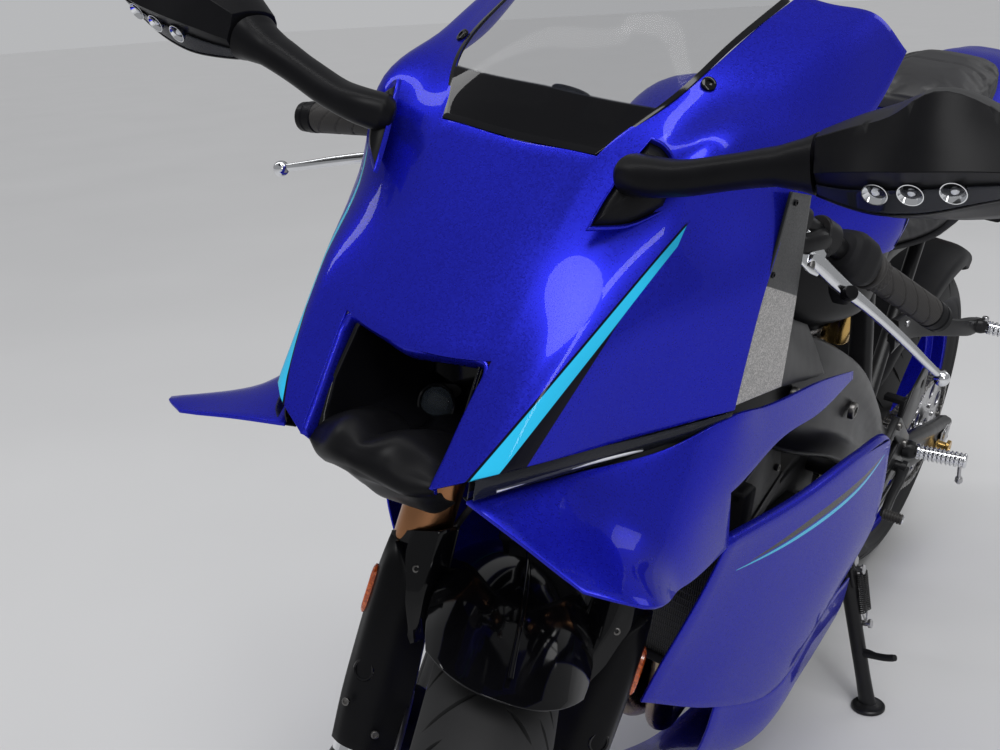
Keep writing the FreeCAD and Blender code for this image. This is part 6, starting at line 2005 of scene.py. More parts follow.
def chain_path(pitch_radius=(40.7, 108.7)):
    """Length and a function that gives a point and direction of the chain's line at a distance."""
    small, large = Vector((776, 390)), Vector((1420, 317))
    r, s = pitch_radius
    ahead = large - small
    span = ahead.length
    base = math.atan2(ahead.y, ahead.x)
    lean = math.asin((s - r) / span)
    run = math.sqrt(span * span - (s - r) ** 2)
    arc_small, arc_large = r * (math.pi - 2 * lean), s * (math.pi + 2 * lean)
    total = 2 * run + arc_small + arc_large

    def at(distance):
        d = distance % total
        if d < run:
            out = base + math.pi / 2 + lean
            start = small + Vector((math.cos(out), math.sin(out))) * r
            along = Vector((math.cos(out - math.pi / 2), math.sin(out - math.pi / 2)))
            return start + along * d, along
        d -= run
        if d < arc_large:
            out = base + math.pi / 2 + lean - d / s
            along = Vector((math.cos(out - math.pi / 2), math.sin(out - math.pi / 2)))
            return large + Vector((math.cos(out), math.sin(out))) * s, along
        d -= arc_large
        if d < run:
            out = base - math.pi / 2 - lean
            start = large + Vector((math.cos(out), math.sin(out))) * s
            along = Vector((math.cos(out - math.pi / 2), math.sin(out - math.pi / 2)))
            return start + along * d, along
        d -= run
        out = base - math.pi / 2 - lean - d / r
        along = Vector((math.cos(out - math.pi / 2), math.sin(out - math.pi / 2)))
        return small + Vector((math.cos(out), math.sin(out))) * r, along

    return total, at


class BuildWheels(bpy.types.Operator):
    """Tyres with cut treads, wheels, brake discs, sprockets and the chain"""
    bl_idname = "motorcycle.wheels"
    bl_label = "Wheels"

    def execute(self, context):
        front = Tread(300, 62, 60, 20, 5.0, 4.4)
        ride(tyre("front_tyre_tread", 300, 60, 62, 41.75, FRONT_WHEEL, front), "front_wheel",
             "tyre_rubber", "front_tyre")
        rear = Tread(317, 94, 90, 18, 6.4, 5.0)
        ride(tyre("rear_tyre_tread", 317, 90, 94, 67.75, REAR_WHEEL, rear), "rear_wheel",
             "tyre_rubber", "rear_tyre")
        ride(casting("front_wheel_casting", 47, 30, 63.7, FRONT_WHEEL), "front_wheel", "blue_wheel",
             "front_rim")
        ride(casting("rear_wheel_casting", 73, 44, 71.4, REAR_WHEEL), "rear_wheel", "blue_wheel",
             "rear_rim")
        ride(valve("front_valve", FRONT_WHEEL, 36), "front_wheel", "black_satin")
        ride(valve("rear_valve", REAR_WHEEL, 36), "rear_wheel", "black_satin")
        self.add_discs()
        self.add_sprockets()
        self.add_chain()
        return {"FINISHED"}

    def add_discs(self):
        pair = [brake_disc("front_disc", 160, 126, 24, 4.5, FRONT_WHEEL, 66 * side, 28, 128.5)
                for side in (1, -1)]
        ride(joined("front_brake_discs", pair), "front_wheel", "disc_steel", "front_discs")
        rear = brake_disc("rear_brake_disc", 110, 76, 18, 5, REAR_WHEEL, -74, 40, 78.5)
        ride(rear, "rear_wheel", "disc_steel", "rear_disc")
        spots = []
        for side in (1, -1):
            for k in range(5):
                angle = math.tau * k / 5 + math.pi / 2
                for r in (126.5, 23.5):
                    spot = (side * 68.4, r * math.cos(angle), r * math.sin(angle))
                    spots.append((spot, (side, 0, 0)))
        heads = screws("front_disc_rivets", spots, 5.4, 2.6, [finish("bare_steel")], FRONT_WHEEL, 0.45)
        ride(heads, "front_wheel", "bare_steel")
        spots = []
        for k in range(5):
            angle = math.tau * k / 5 + math.pi / 2
            spots.append(((-77, 35 * math.cos(angle), 35 * math.sin(angle)), (-1, 0, 0)))
            spots.append(((107, 46 * math.cos(angle), 46 * math.sin(angle)), (1, 0, 0)))
        heads = screws("rear_wheel_screws", spots, 5.6, 4, [finish("bare_steel")], REAR_WHEEL, 0.5)
        ride(heads, "rear_wheel", "bare_steel")

    def add_sprockets(self):
        outline = []
        for k in range(43):
            for share, r in ((-0.28, 103.6), (-0.1, 103.2), (0.1, 103.2), (0.28, 103.6), (0.42, 111.0),
                             (0.5, 112.6), (0.58, 111.0)):
                angle = math.tau * (k + share) / 43
                outline.append((r * math.cos(angle), r * math.sin(angle)))
        windows = [circle(18.6, 48)]
        for k in range(6):
            angle = math.tau * (k + 0.5) / 6
            windows.append(circle(16, 28, (76 * math.cos(angle), 76 * math.sin(angle))))
        toothed = plate("rear_sprocket_plate", outline, windows, 6, [finish("bare_steel")],
                        REAR_WHEEL @ shift((104, 0, 0)), 0.4)
        ride(toothed, "rear_wheel", "bare_steel", "rear_sprocket")

    def add_chain(self):
        total, at = chain_path()
        links = 112
        pitch = total / links
        vertices = []
        faces = []

        def prism(outline, low, high):
            base = len(vertices)
            count = len(outline)
            for x in (low, high):
                vertices.extend(Vector((x, p.x, p.y)) for p in outline)
            faces.append([base + k for k in range(count)])
            faces.append([base + count + k for k in reversed(range(count))])
            for k in range(count):
                n = (k + 1) % count
                faces.append([base + n, base + k, base + count + k, base + count + n])

        for link in range(links):
            start, along = at(link * pitch)
            end, other = at((link + 1) * pitch)
            ahead = (end - start).normalized()
            up = Vector((-ahead.y, ahead.x))
            outline = []
            for centre, side in ((start, -1), (end, 1)):
                for k in range(7):
                    angle = math.radians(-72 + 24 * k)
                    outline.append(centre + ahead * (side * 7 * math.cos(angle))
                                   + up * (side * 7 * math.sin(angle)))
                if side < 0:
                    outline.append((start + end) / 2 - up * 4.6)
                else:
                    outline.append((start + end) / 2 + up * 4.6)
            near, far = ((6.1, 8.1) if link % 2 else (4.0, 6.0))
            prism(outline, 104 + near, 104 + far)
            prism(outline, 104 - far, 104 - near)
            for radius, low, high in ((5, -4, 4), (2.6, -8.5, 8.5)):
                ring = [start + Vector((radius * math.cos(math.tau * k / 12),
                                        radius * math.sin(math.tau * k / 12))) for k in range(12)]
                prism(ring, 104 + low, 104 + high)
        chain = add_mesh("drive_chain_links", vertices, faces, BIKE, [finish("dark_steel")], None, 30)
        work = bmesh.new()
        work.from_mesh(chain.data)
        bmesh.ops.recalc_face_normals(work, faces=work.faces)
        work.to_mesh(chain.data)
        work.free()
        ride(chain, "chassis", "chain_steel", "drive_chain")


# Frame, engine and what hangs on them

def slab(name, outline, low, high, materials, edge=1.0, holes=(), place=None):
    """Flat-sided piece: an outline of y and z, from one x to another."""
    frame = (BIKE if place is None else place) @ shift(((low + high) / 2, 0, 0))
    return plate(name, outline, holes, high - low, materials, frame, edge)


def shrunk(outline, share):
    """The same outline, smaller about its middle."""
    y = sum(p[0] for p in outline) / len(outline)
    z = sum(p[1] for p in outline) / len(outline)
    return [(y + (p[0] - y) * share, z + (p[1] - z) * share) for p in outline]


def beam_section(spot, half, low, high, recess=3.0):
    """Closed section of a beam across x with a channel in its outer face."""
    x, y = spot
    rise = high - low
    pairs = ((-half, low + 5), (3 - half, low), (half - 3, low), (half, low + 5), (half, low + 0.25 * rise),
             (half - recess, low + 0.32 * rise), (half - recess, low + 0.66 * rise),
             (half, low + 0.74 * rise), (half, high - 5), (half - 3, high), (3 - half, high),
             (-half, high - 5))
    return [(x + across, y, z) for across, z in pairs]


def box_section(y, half_low, low, half_high, high, soft=6):
    """Closed section across the machine between two heights, with cut corners."""
    right = [(half_low - soft, low), (half_low, low + soft), (half_high, high - soft),
             (half_high - soft, high)]
    return [(x, y, z) for x, z in right] + [(-x, y, z) for x, z in reversed(right)]


class BuildFrame(bpy.types.Operator):
    """Twin-beam frame, swingarm with axle and bobbins, rear frame and the shock absorber"""
    bl_idname = "motorcycle.frame"
    bl_label = "Frame"

    def execute(self, context):
        self.add_main_frame()
        self.add_swingarm()
        self.add_rear_frame()
        self.add_shock()
        return {"FINISHED"}

    def add_main_frame(self):
        black = [finish("black_alloy")]
        spar = [(262, 20, 14, 770, 862), (330, 78, 15, 722, 842), (450, 128, 15, 650, 790),
                (640, 148, 15, 570, 700), (800, 146, 14, 470, 590), (900, 140, 12, 330, 520),
                (952, 140, 10, 326, 496)]
        loops = [beam_section((x, y), half, low, high) for y, x, half, low, high in spar]
        things = [loft("spar", loops, black, 5, 2, sides=2)]
        neck = BIKE @ shift(STEER_ORIGIN) @ Matrix.Rotation(-RAKE, 4, "X")
        tube = [(22, 500), (30, 500), (31, 502), (31, 512), (28, 518), (28, 640), (31, 646), (31, 656),
                (30, 658), (22, 658)]
        things.append(lathe("head_tube", tube, black, along_x((0, 0, 0), (0, 0, 1), neck), 56, 0.5,
                            closed=True))
        for y, z, r in ((880, 470, 16), (900, 345, 11)):
            stations = [((x, y, z), r + flare) for x, flare in
                        ((-140, 8), (-112, 0), (0, 0), (112, 0), (140, 8))]
            things.append(rod("cross_tube", stations, black, None, 24, 3))
        for x in (-40, 0, 40):
            rib = [((x, 268 + abs(x) * 0.5, 768), (3, 5)), ((x, 272 + abs(x) * 0.6, 860), (3, 5))]
            things.append(rod("neck_rib", rib, black, None, 12, 2, 0.6))
        frame = joined("twin_beam_frame", things)
        ride(frame, "chassis", "black_alloy", "main_frame")
        spots = []
        for side in (1, -1):
            spots += [((side * 152, PIVOT.y, PIVOT.z), (side, 0, 0)), ((side * 163, 640, 640), (side, 0, 0)),
                      ((side * 161, 790, 520), (side, 0, 0)), ((side * 144, 450, 716), (side, 0, 0))]
        heads = screws("frame_screws", spots, 11, 5, [finish("dark_steel")], BIKE, 0.55)
        ride(heads, "chassis", "bare_steel")

    def add_swingarm(self):
        black = [finish("black_alloy")]
        loops = []
        for share, half, lift, x in ((0, 37, 0, 68), (0.18, 38, 6, 72), (0.42, 36, 10, 120),
                                     (0.7, 30, 10, 134), (0.98, 25, 2, 134), (1.08, 23, 0, 134)):
            centre = PIVOT + (AXLE_REAR - PIVOT) * share
            loops.append(beam_section((x, centre.y), 13, centre.z + lift - half, centre.z + lift + half, 2.4))
        things = [loft("swingarm_side", loops, black, 5, 2, sides=2)]
        for x0, x1 in ((-81, 81),):
            tube = [(10, x0), (25, x0), (27, x0 + 2), (27, -60), (24, -54), (24, 54), (27, 60), (27, x1 - 2),
                    (25, x1), (10, x1)]
            things.append(lathe("pivot_tube", tube, black, BIKE @ shift(PIVOT), 48, closed=True))
        brace = [(924, 380), (934, 430), (974, 426), (982, 386), (972, 374), (934, 373)]
        things.append(slab("swingarm_brace", brace, -70, 70, black, 4))
        whole = joined("swingarm_casting", things)
        ride(whole, "chassis", "black_alloy", "swingarm")
        steel = [finish("bare_steel")]
        axle = [lathe("axle_bar", [(0, -152), (11.5, -152), (12.5, -151), (12.5, 151), (11.5, 152), (0, 152)],
                      steel, REAR_WHEEL, 40)]
        for side in (1, -1):
            nut = [(circle(17.5, 6, (0, 0), 0.3), 147.4, 151.6), (circle(20, 40), 147, 148.6)]
            for outline, low, high in nut:
                ends = sorted((side * low, side * high))
                axle.append(slab("axle_nut", outline, ends[0], ends[1], steel, 0.5, [circle(12, 32)],
                                 REAR_WHEEL))
            block = [(-30, -14), (34, -14), (38, 0), (34, 14), (-30, 14)]
            ends = sorted((side * 147, side * 148.2))
            axle.append(slab("chain_adjuster", block, ends[0], ends[1], [finish("cast_alloy")], 0.4, (),
                             REAR_WHEEL))
        ride(joined("rear_axle_parts", axle), "chassis", "bare_steel", "rear_axle")
        spools = []
        for side in (1, -1):
            shape = [(0, 0), (11, 0), (11, 2), (9.2, 4), (9, 16), (11, 17.6), (15, 18), (15, 23), (14, 24),
                     (5, 24), (4.6, 21), (0, 21)]
            spools.append(lathe("spool", shape, [finish("gold_alloy")],
                                along_x((side * 147, 1368, 315), (side, 0, 0)), 40))
        ride(joined("paddock_bobbins", spools), "chassis", "bare_alloy", "paddock_spools")

    def add_rear_frame(self):
        black = [finish("black_alloy")]
        rails = [((118, 852, 560), (17, 13)), ((98, 860, 660), (16, 12)),
                 ((84, 872, 738), (15, 13)), ((80, 920, 752), (14, 13)),
                 ((78, 1100, 761), (14, 12)), ((73, 1300, 822), (13, 11)),
                 ((70, 1440, 862), (13, 11))]
        things = [rod("seat_rail", rails, black, None, 24, 5, 0.7, mirrored=True)]
        brace = [((118, 884, 520), 12), ((104, 980, 610), 10.5), ((78, 1160, 772), 11)]
        things.append(rod("seat_brace", brace, black, None, 20, 5, 0.8, mirrored=True))
        for y, z in ((1060, 752), (1300, 820)):
            tube = [((x, y, z), 11) for x in (-78, 0, 78)]
            things.append(rod("seat_cross_tube", tube, black, None, 20, 2))
        ride(joined("rear_frame_rails", things), "chassis", "black_alloy", "rear_subframe")

    def add_shock(self):
        foot, head = Vector((0, 952, 432.3)), Vector((0, 884, 700))
        axis = head - foot
        frame = along_x(foot, axis)
        span = axis.length
        body = [(0, 8), (14, 8), (17, 14), (17, 34), (12, 38), (12, 60), (33, 60), (34, 62), (34, 66),
                (24, 69), (8, 72), (8, 118), (21, 122), (21, span - 62), (29, span - 58), (34, span - 56),
                (34, span - 40), (26, span - 36), (22, span - 22), (15, span - 12), (0, span - 10)]
        things = [lathe("damper", body, [finish("black_alloy")], frame, 48, 0.6)]
        for at in (0, span):
            eye = [(6, -17), (14, -17), (15, -15), (15, 15), (14, 17), (6, 17)]
            centre = foot + axis * (at / span)
            things.append(lathe("damper_eye", eye, [finish("cast_alloy")], BIKE @ shift(centre), 36,
                                closed=True))
        can = [(0, -2), (19, 0), (21, 3), (21, 74), (19, 77), (0, 78)]
        centre = head + Vector((48, 24, -74))
        things.append(lathe("damper_reservoir", can, [finish("gold_alloy")], along_x(centre, (0.1, -0.1, 1)),
                            40))
        neck = [(head + Vector((14, 4, -14)), 8), (head + Vector((34, 12, -12)), 8),
                (head + Vector((50, 18, -6)), 9)]
        things.append(rod("damper_bridge", neck, [finish("black_alloy")], None, 18, 3))
        ride(joined("damper_parts", things), "chassis", "black_alloy", "rear_shock")
        low, high, turns = 68, span - 54, 6.2
        path = []
        count = 150
        for k in range(count + 1):
            share = k / count
            ease = min(1, share * 12, (1 - share) * 12)
            angle = math.tau * turns * share
            x = low + (high - low) * share
            path.append(((x, 28 * math.cos(angle), 28 * math.sin(angle)), 4 + 1.4 * ease))
        coil = rod("damper_spring", path, [finish("grey_metallic")], frame, 12, 1)
        ride(coil, "chassis", "black_alloy")


class BuildEngine(bpy.types.Operator):
    """Engine with its covers, radiator and exhaust"""
    bl_idname = "motorcycle.engine"
    bl_label = "Engine"

    def execute(self, context):
        self.add_cases()
        self.add_radiator()
        self.add_exhaust()
        return {"FINISHED"}

    def add_cases(self):
        dark = [finish("engine_black")]
        case = [(522, 250), (600, 198), (810, 198), (832, 300), (832, 466), (760, 516), (562, 468)]
        block = [(522, 444), (648, 500), (560, 698), (422, 648)]
        cover = [(470, 560), (600, 606), (562, 700), (424, 650)]
        things = [slab("crankcase", case, -116, 84, dark, 7),
                  slab("crankcase_left", [(522, 250), (600, 198), (716, 198), (716, 466), (560, 466)],
                       80, 116, dark, 6),
                  slab("crankcase_flange", shrunk(case, 0.97), -122, -112, dark, 2),
                  slab("cylinders", shrunk(block, 0.94), -96, 96, dark, 6),
                  slab("cylinder_joint", [(508, 476), (634, 526), (630, 534), (504, 484)], -98, 98, dark, 1),
                  slab("head_joint", [(470, 564), (598, 612), (594, 620), (466, 572)], -98, 98, dark, 1),
                  slab("cam_cover", shrunk(cover, 0.97), -92, 92, dark, 9),
                  slab("sump", [(612, 186), (760, 186), (800, 204), (600, 204)], -70, 60, dark, 4)]
        for k in range(5):
            y = 632 + 34 * k
            rib = [(y, 206), (y + 5, 206), (y + 5, 246), (y, 250)]
            things.append(slab("case_rib", rib, -124, -110, dark, 1))
        for y, z in ((790, 482), (560, 640)):
            bolt = [(0, -140), (13, -140), (14, -139), (14, 139), (13, 140), (0, 140)]
            things.append(lathe("engine_mount", bolt, dark, BIKE @ shift((0, y, z)), 32))
        left = [(0, 158), (40, 160), (58, 158), (68, 152), (75, 141), (78, 128), (78, 112), (0, 112)]
        things.append(lathe("generator_cover", left, dark, BIKE @ shift((0, 610, 330)), 72))
        right = [(0, 112), (92, 112), (92, 130), (88, 143), (78, 152), (60, 157), (56, 153), (48, 153),
                 (44, 158), (0, 160)]
        things.append(lathe("clutch_cover", right, dark, along_x((0, 650, 330), (-1, 0, 0)), 80))
        filler = [(0, 112), (19, 112), (19, 128), (16, 130), (15, 136), (13, 138), (0, 138)]
        things.append(lathe("oil_filler", filler, dark, along_x((0, 768, 420), (-1, 0, 0)), 36))
        pump = [(0, 112), (30, 112), (30, 124), (24, 132), (12, 136), (0, 136)]
        things.append(lathe("water_pump", pump, dark, BIKE @ shift((0, 690, 250)), 40))
        things.append(slab("sprocket_cover", [(720, 350), (748, 322), (820, 318), (834, 340), (834, 446),
                                              (800, 462), (742, 458), (720, 430)], 116, 128, dark, 4))
        ride(joined("engine_castings", things), "chassis", "black_alloy", "engine_block")
        spots = []
        for k in range(9):
            angle = math.tau * k / 9
            spots.append(((122, 610 + 73 * math.cos(angle), 330 + 73 * math.sin(angle)), (1, 0, 0)))
        for k in range(11):
            angle = math.tau * k / 11
            spots.append(((-122, 650 + 87 * math.cos(angle), 330 + 87 * math.sin(angle)), (-1, 0, 0)))
        for y, z in ((730, 345), (824, 336), (826, 448), (738, 446)):
            spots.append(((128, y, z), (1, 0, 0)))
        for y, z in ((560, 680), (450, 640), (610, 560), (500, 520)):
            spots += [((94, y - 8, z - 10), (1, 0, 0)), ((-94, y - 8, z - 10), (-1, 0, 0))]
        heads = screws("engine_screws", spots, 5, 6, [finish("dark_steel")], BIKE, 0.5, False)
        ride(heads, "chassis", "bare_steel")

    def add_radiator(self):
        black = [finish("black_grained")]
        core = [(340, 630), (366, 630), (381, 390), (355, 390)]
        whole = slab("radiator_fins", core, -136, 136, [finish("radiator_core")], 0)
        ride(whole, "chassis", "black_alloy")
        things = []
        for low, high in ((-150, -134), (134, 150)):
            things.append(slab("radiator_tank", [(337, 640), (369, 640), (385, 380), (353, 380)], low, high,
                               black, 4))
        for outline in ([(337, 640), (369, 640), (369.8, 627), (337.8, 627)],
                        [(352.2, 393), (384.2, 393), (385, 380), (353, 380)]):
            things.append(slab("radiator_rail", outline, -146, 146, black, 2))
        arm = [((126, 352, 626), 8), ((126, 400, 650), 7), ((126, 462, 664), 8)]
        things.append(rod("radiator_arm", arm, black, None, 18, 3, mirrored=True))
        ride(joined("radiator_body", things), "chassis", "black_alloy", "radiator")
        hoses = [[(-126, 370, 616), (-118, 420, 640), (-96, 470, 640), (-80, 500, 630)],
                 [(128, 378, 400), (132, 430, 350), (134, 520, 262), (126, 640, 250), (124, 690, 250)]]
        pipes = [rod("coolant_hose", [(Vector(p), 14) for p in line], [finish("hose_rubber")], None, 20, 6)
                 for line in hoses]
        ride(joined("coolant_hoses", pipes), "chassis", "black_satin")

    def add_exhaust(self):
        steel = [finish("exhaust_steel")]
        things = []
        for x in (-66, 0, 66):
            line = [(x, 474, 568), (x, 442, 524), (x, 427, 470), (x, 423, 400), (x, 424, 320),
                    (0.86 * x, 452, 236), (0.6 * x, 520, 178), (0.52 * x, 580, 172), (0.5 * x, 640, 172)]
            things.append(rod("header", [(Vector(p), 18) for p in line], steel, None, 28, 6))
            ring = [(18, 0), (27, 0), (28, 1), (28, 7), (27, 8), (18, 8)]
            things.append(lathe("header_flange", ring, [finish("cast_alloy")],
                                along_x((x, 466, 556), (0, -0.62, -0.78)), 36, closed=True))
        ride(joined("headers", things), "chassis", "bare_steel", "exhaust")
        box = [(622, 40, 164, 56, 194), (640, 48, 160, 74, 194), (680, 58, 155, 90, 194),
               (790, 64, 153, 96, 194), (890, 64, 152, 96, 194), (950, 60, 158, 92, 205),
               (985, 50, 170, 82, 213)]
        loops = [box_section(*row) for row in box]
        silencer = [loft("silencer_box", loops, [finish("engine_black")], 4, 3)]
        start, end = Vector((-60, 975, 192)), Vector((-92, 1030, 204))
        reach = (end - start).length
        pipe = [(24, 0), (24, reach - 2), (23.2, reach), (20.8, reach), (20, reach - 2), (20, 8), (0, 8)]
        silencer.append(lathe("exhaust_outlet", pipe, [finish("dark_steel")],
                              along_x(start, end - start), 48))
        ride(joined("silencer", silencer), "chassis", "black_alloy")
        spots = []
        for x in (-66, 0, 66):
            for side in (1, -1):
                spots.append(((x + side * 22, 459, 549), (0, -0.62, -0.78)))
        heads = screws("header_nuts", spots, 4.5, 7, [finish("bare_steel")], BIKE, 0.4, False)
        ride(heads, "chassis", "bare_steel")


# Tank, seats and tail

def arch_half(y, half, shoulder, top):
    """Half of an arched section, from the top's middle to the shoulder."""
    rise = top - shoulder
    return [(0, y, top), (0.38 * half, y, top - 0.03 * rise), (0.72 * half, y, top - 0.16 * rise),
            (0.93 * half, y, shoulder + 0.48 * rise), (half, y, shoulder)]


def arch_loop(y, half, bottom, shoulder, top, tuck=0.9):
    """Closed arched section with a flat bottom."""
    right = arch_half(y, half, shoulder, top) + [
        (0.985 * half, y, 0.6 * shoulder + 0.4 * bottom), (tuck * half, y, bottom + 3),
        (0.5 * half, y, bottom), (0, y, bottom)]
    return right + [(-x, y, z) for x, y, z in reversed(right[1:-1])]


def cushion(name, loops, seams, flat_below, cap=24):
    """Stuffed pad: blown up as cloth over its shape, then drawn in along its seams.

    A seam is a function of a point in millimetres that is 0 on the seam, in millimetres from it.
    """
    pad = loft(name, loops, [finish("seat_vinyl")], 5, 4)
    blow_up(pad, flat_below, cap)
    modify(pad, "SUBSURF", levels=1, render_levels=1)
    draw_in(pad, seams)
    smooth(pad.data, 70)
    return pad


def blow_up(pad, flat_below, cap):
    """Cloth with pressure inside, run for twenty frames and kept where it is free to swell."""
    scene = bpy.context.scene
    modify(pad, "REMESH", mode="VOXEL", voxel_size=5 * MM)
    settle(pad)
    start = [vertex.co.copy() for vertex in pad.data.vertices]
    cloth = pad.modifiers.new("Cloth", "CLOTH")
    cloth.settings.quality = 4
    cloth.settings.use_pressure = True
    cloth.settings.uniform_pressure_force = 4
    cloth.settings.effector_weights.gravity = 0
    cloth.point_cache.frame_end = 20
    for frame in range(1, 21):
        scene.frame_set(frame)
    settle(pad)
    scene.frame_set(1)
    for vertex, before in zip(pad.data.vertices, start):
        move = vertex.co - before
        free = min(1.0, max(0.0, (before.z / MM - flat_below) / 25))
        reach = min(move.length, cap * MM) * free
        vertex.co = before + (move.normalized() * reach if reach else Vector())


def settle(thing):
    """Applies an object's modifiers to its mesh."""
    graph = bpy.context.evaluated_depsgraph_get()
    shape = bpy.data.meshes.new_from_object(thing.evaluated_get(graph))
    before = thing.data
    thing.modifiers.clear()
    thing.data = shape
    bpy.data.meshes.remove(before)
    if not thing.data.materials:
        thing.data.materials.append(finish("seat_vinyl"))


def draw_in(pad, seams):
    """Draws a pad's surface in along its seams and lets it swell a little between them."""
    settle(pad)
    moves = []
    for vertex in pad.data.vertices:
        spot = vertex.co / MM
        depth = 0.0
        for seam, deep, wide in seams:
            away = seam(spot)
            if away is not None:
                depth = max(depth, deep * math.exp(-(away / wide) ** 2))
        moves.append(vertex.normal * (-depth * MM))
    for vertex, move in zip(pad.data.vertices, moves):
        vertex.co += move


# Half sections of the tank from the top's middle to the blue shell's lower edge.
TANK = (
    ((0, 398, 938), (34, 398, 935), (62, 399, 922), (79, 400, 899), (86, 401, 880), (83, 403, 864)),
    ((0, 430, 984), (44, 430, 981), (86, 430, 964), (111, 430, 932), (120, 430, 900), (116, 432, 864)),
    ((0, 480, 1003), (56, 480, 1001), (108, 480, 985), (138, 480, 946), (148, 480, 904), (143, 482, 863)),
    ((0, 540, 1012), (60, 540, 1012), (124, 540, 998), (160, 540, 954), (172, 540, 903), (165, 542, 862)),
    ((0, 600, 1015), (62, 600, 1016), (130, 600, 1000), (170, 600, 952), (183, 600, 898), (175, 602, 860)),
    ((0, 660, 1006), (60, 660, 1007), (122, 660, 991), (157, 660, 944), (170, 660, 892), (160, 662, 856)),
    ((0, 720, 979), (54, 720, 979), (104, 720, 963), (132, 720, 921), (144, 720, 876), (134, 722, 847)),
    ((0, 780, 937), (44, 780, 937), (82, 780, 924), (105, 780, 895), (114, 780, 862), (106, 782, 837)),
    ((0, 830, 890), (36, 830, 890), (68, 830, 882), (87, 830, 863), (95, 830, 843), (90, 831, 825)),
    ((0, 858, 861), (32, 858, 860), (62, 858, 854), (81, 858, 842), (87, 858, 829), (84, 858, 815)),
)
TANK_FLOOR = (852, 808, 780, 772, 770, 772, 776, 783, 788, 791)


class BuildTank(bpy.types.Operator):
    """Fuel tank with its filler and side covers"""
    bl_idname = "motorcycle.tank"
    bl_label = "Tank"

    def execute(self, context):
        shell = panel("tank_shell", TANK, [finish("paint_blue")], 5, 5, thickness=3, edge=0.8, whole=True)
        ride(shell, "chassis", "blue_paint", "fuel_tank")
        rows = []
        for row, low in zip(TANK, TANK_FLOOR):
            x, y, z = row[-1]
            rows.append([(x - 4, y, z + 10), (x - 8, y, z - 6), (x - 13, y, (z + low) / 2 - 4),
                         (x - 22, y, low + 12), (x - 40, y, low)])
        cover = panel("tank_side_covers", rows, [finish("black_satin")], 5, 4, thickness=3, edge=0.6,
                      flip=True)
        ride(cover, "chassis", "black_satin")
        self.add_front()
        self.add_filler()
        self.add_knee_pads()
        return {"FINISHED"}

    def add_front(self):
        rows = [[(x * 0.97, y + 3, z - 2) for x, y, z in TANK[0]],
                [(x * 0.93, y + 16, min(z, 925 - 0.2 * x) - 12) for x, y, z in TANK[0]],
                [(x * 0.9, y + 22, 862 - 0.1 * x) for x, y, z in TANK[0]]]
        nose = panel("tank_front_cover", rows, [finish("black_satin")], 4, 4, thickness=3, whole=True,
                     flip=True)
        ride(nose, "chassis", "black_satin")
        spots = [((side * 76, 412, 948), (side * 0.5, -0.5, 0.7)) for side in (1, -1)]
        heads = screws("tank_screws", spots, 6, 3, [finish("black_gloss")], BIKE, 0.5)
        ride(heads, "chassis", "black_gloss")

    def add_filler(self):
        frame = along_x((0, 556, 1010), (0, -0.07, 1))
        steel = [finish("black_satin")]
        base = [(0, 2), (53, 2), (53, 5.5), (51, 7.6), (46, 8.4), (43, 6.8), (42, 6.6), (41, 9.6),
                (38, 11.2), (0, 11.8)]
        things = [lathe("filler_ring", base, steel, frame, 96)]
        flap = [((11.5, 0, -6), (10, 7)), ((13.4, 0, 0), (10, 9)), ((12.4, 0, 10), (8, 8))]
        things.append(rod("filler_flap", flap, steel, frame, 20, 4, 0.7))
        ride(joined("filler_cap", things), "chassis", "black_alloy")
        spots = []
        for k in range(7):
            angle = math.tau * (k + 0.5) / 7
            spots.append(((7.4, 47.4 * math.cos(angle), 47.4 * math.sin(angle)), (1, 0, 0)))
        heads = screws("filler_screws", spots, 3, 2.6, [finish("bare_steel")], frame, 0.5, False)
        ride(heads, "chassis", "bare_steel")

    def add_knee_pads(self):
        rows = []
        for k, (out, low) in zip((4, 5, 6, 7), ((0.12, 0.9), (0.02, 0.95), (0.05, 0.95), (0.16, 0.9))):
            top, shoulder, edge = (Vector(TANK[k][j]) for j in (3, 4, 5))
            run = [shoulder.lerp(top, 0.5 - out), shoulder, shoulder.lerp(edge, 0.5),
                   shoulder.lerp(edge, low)]
            rows.append([p + Vector((1.4, 0, 0.5)) for p in run])
        pads = panel("knee_pads", rows, [finish("black_grained")], 6, 4, thickness=2.6, edge=0.8)
        ride(pads, "chassis", "black_satin")


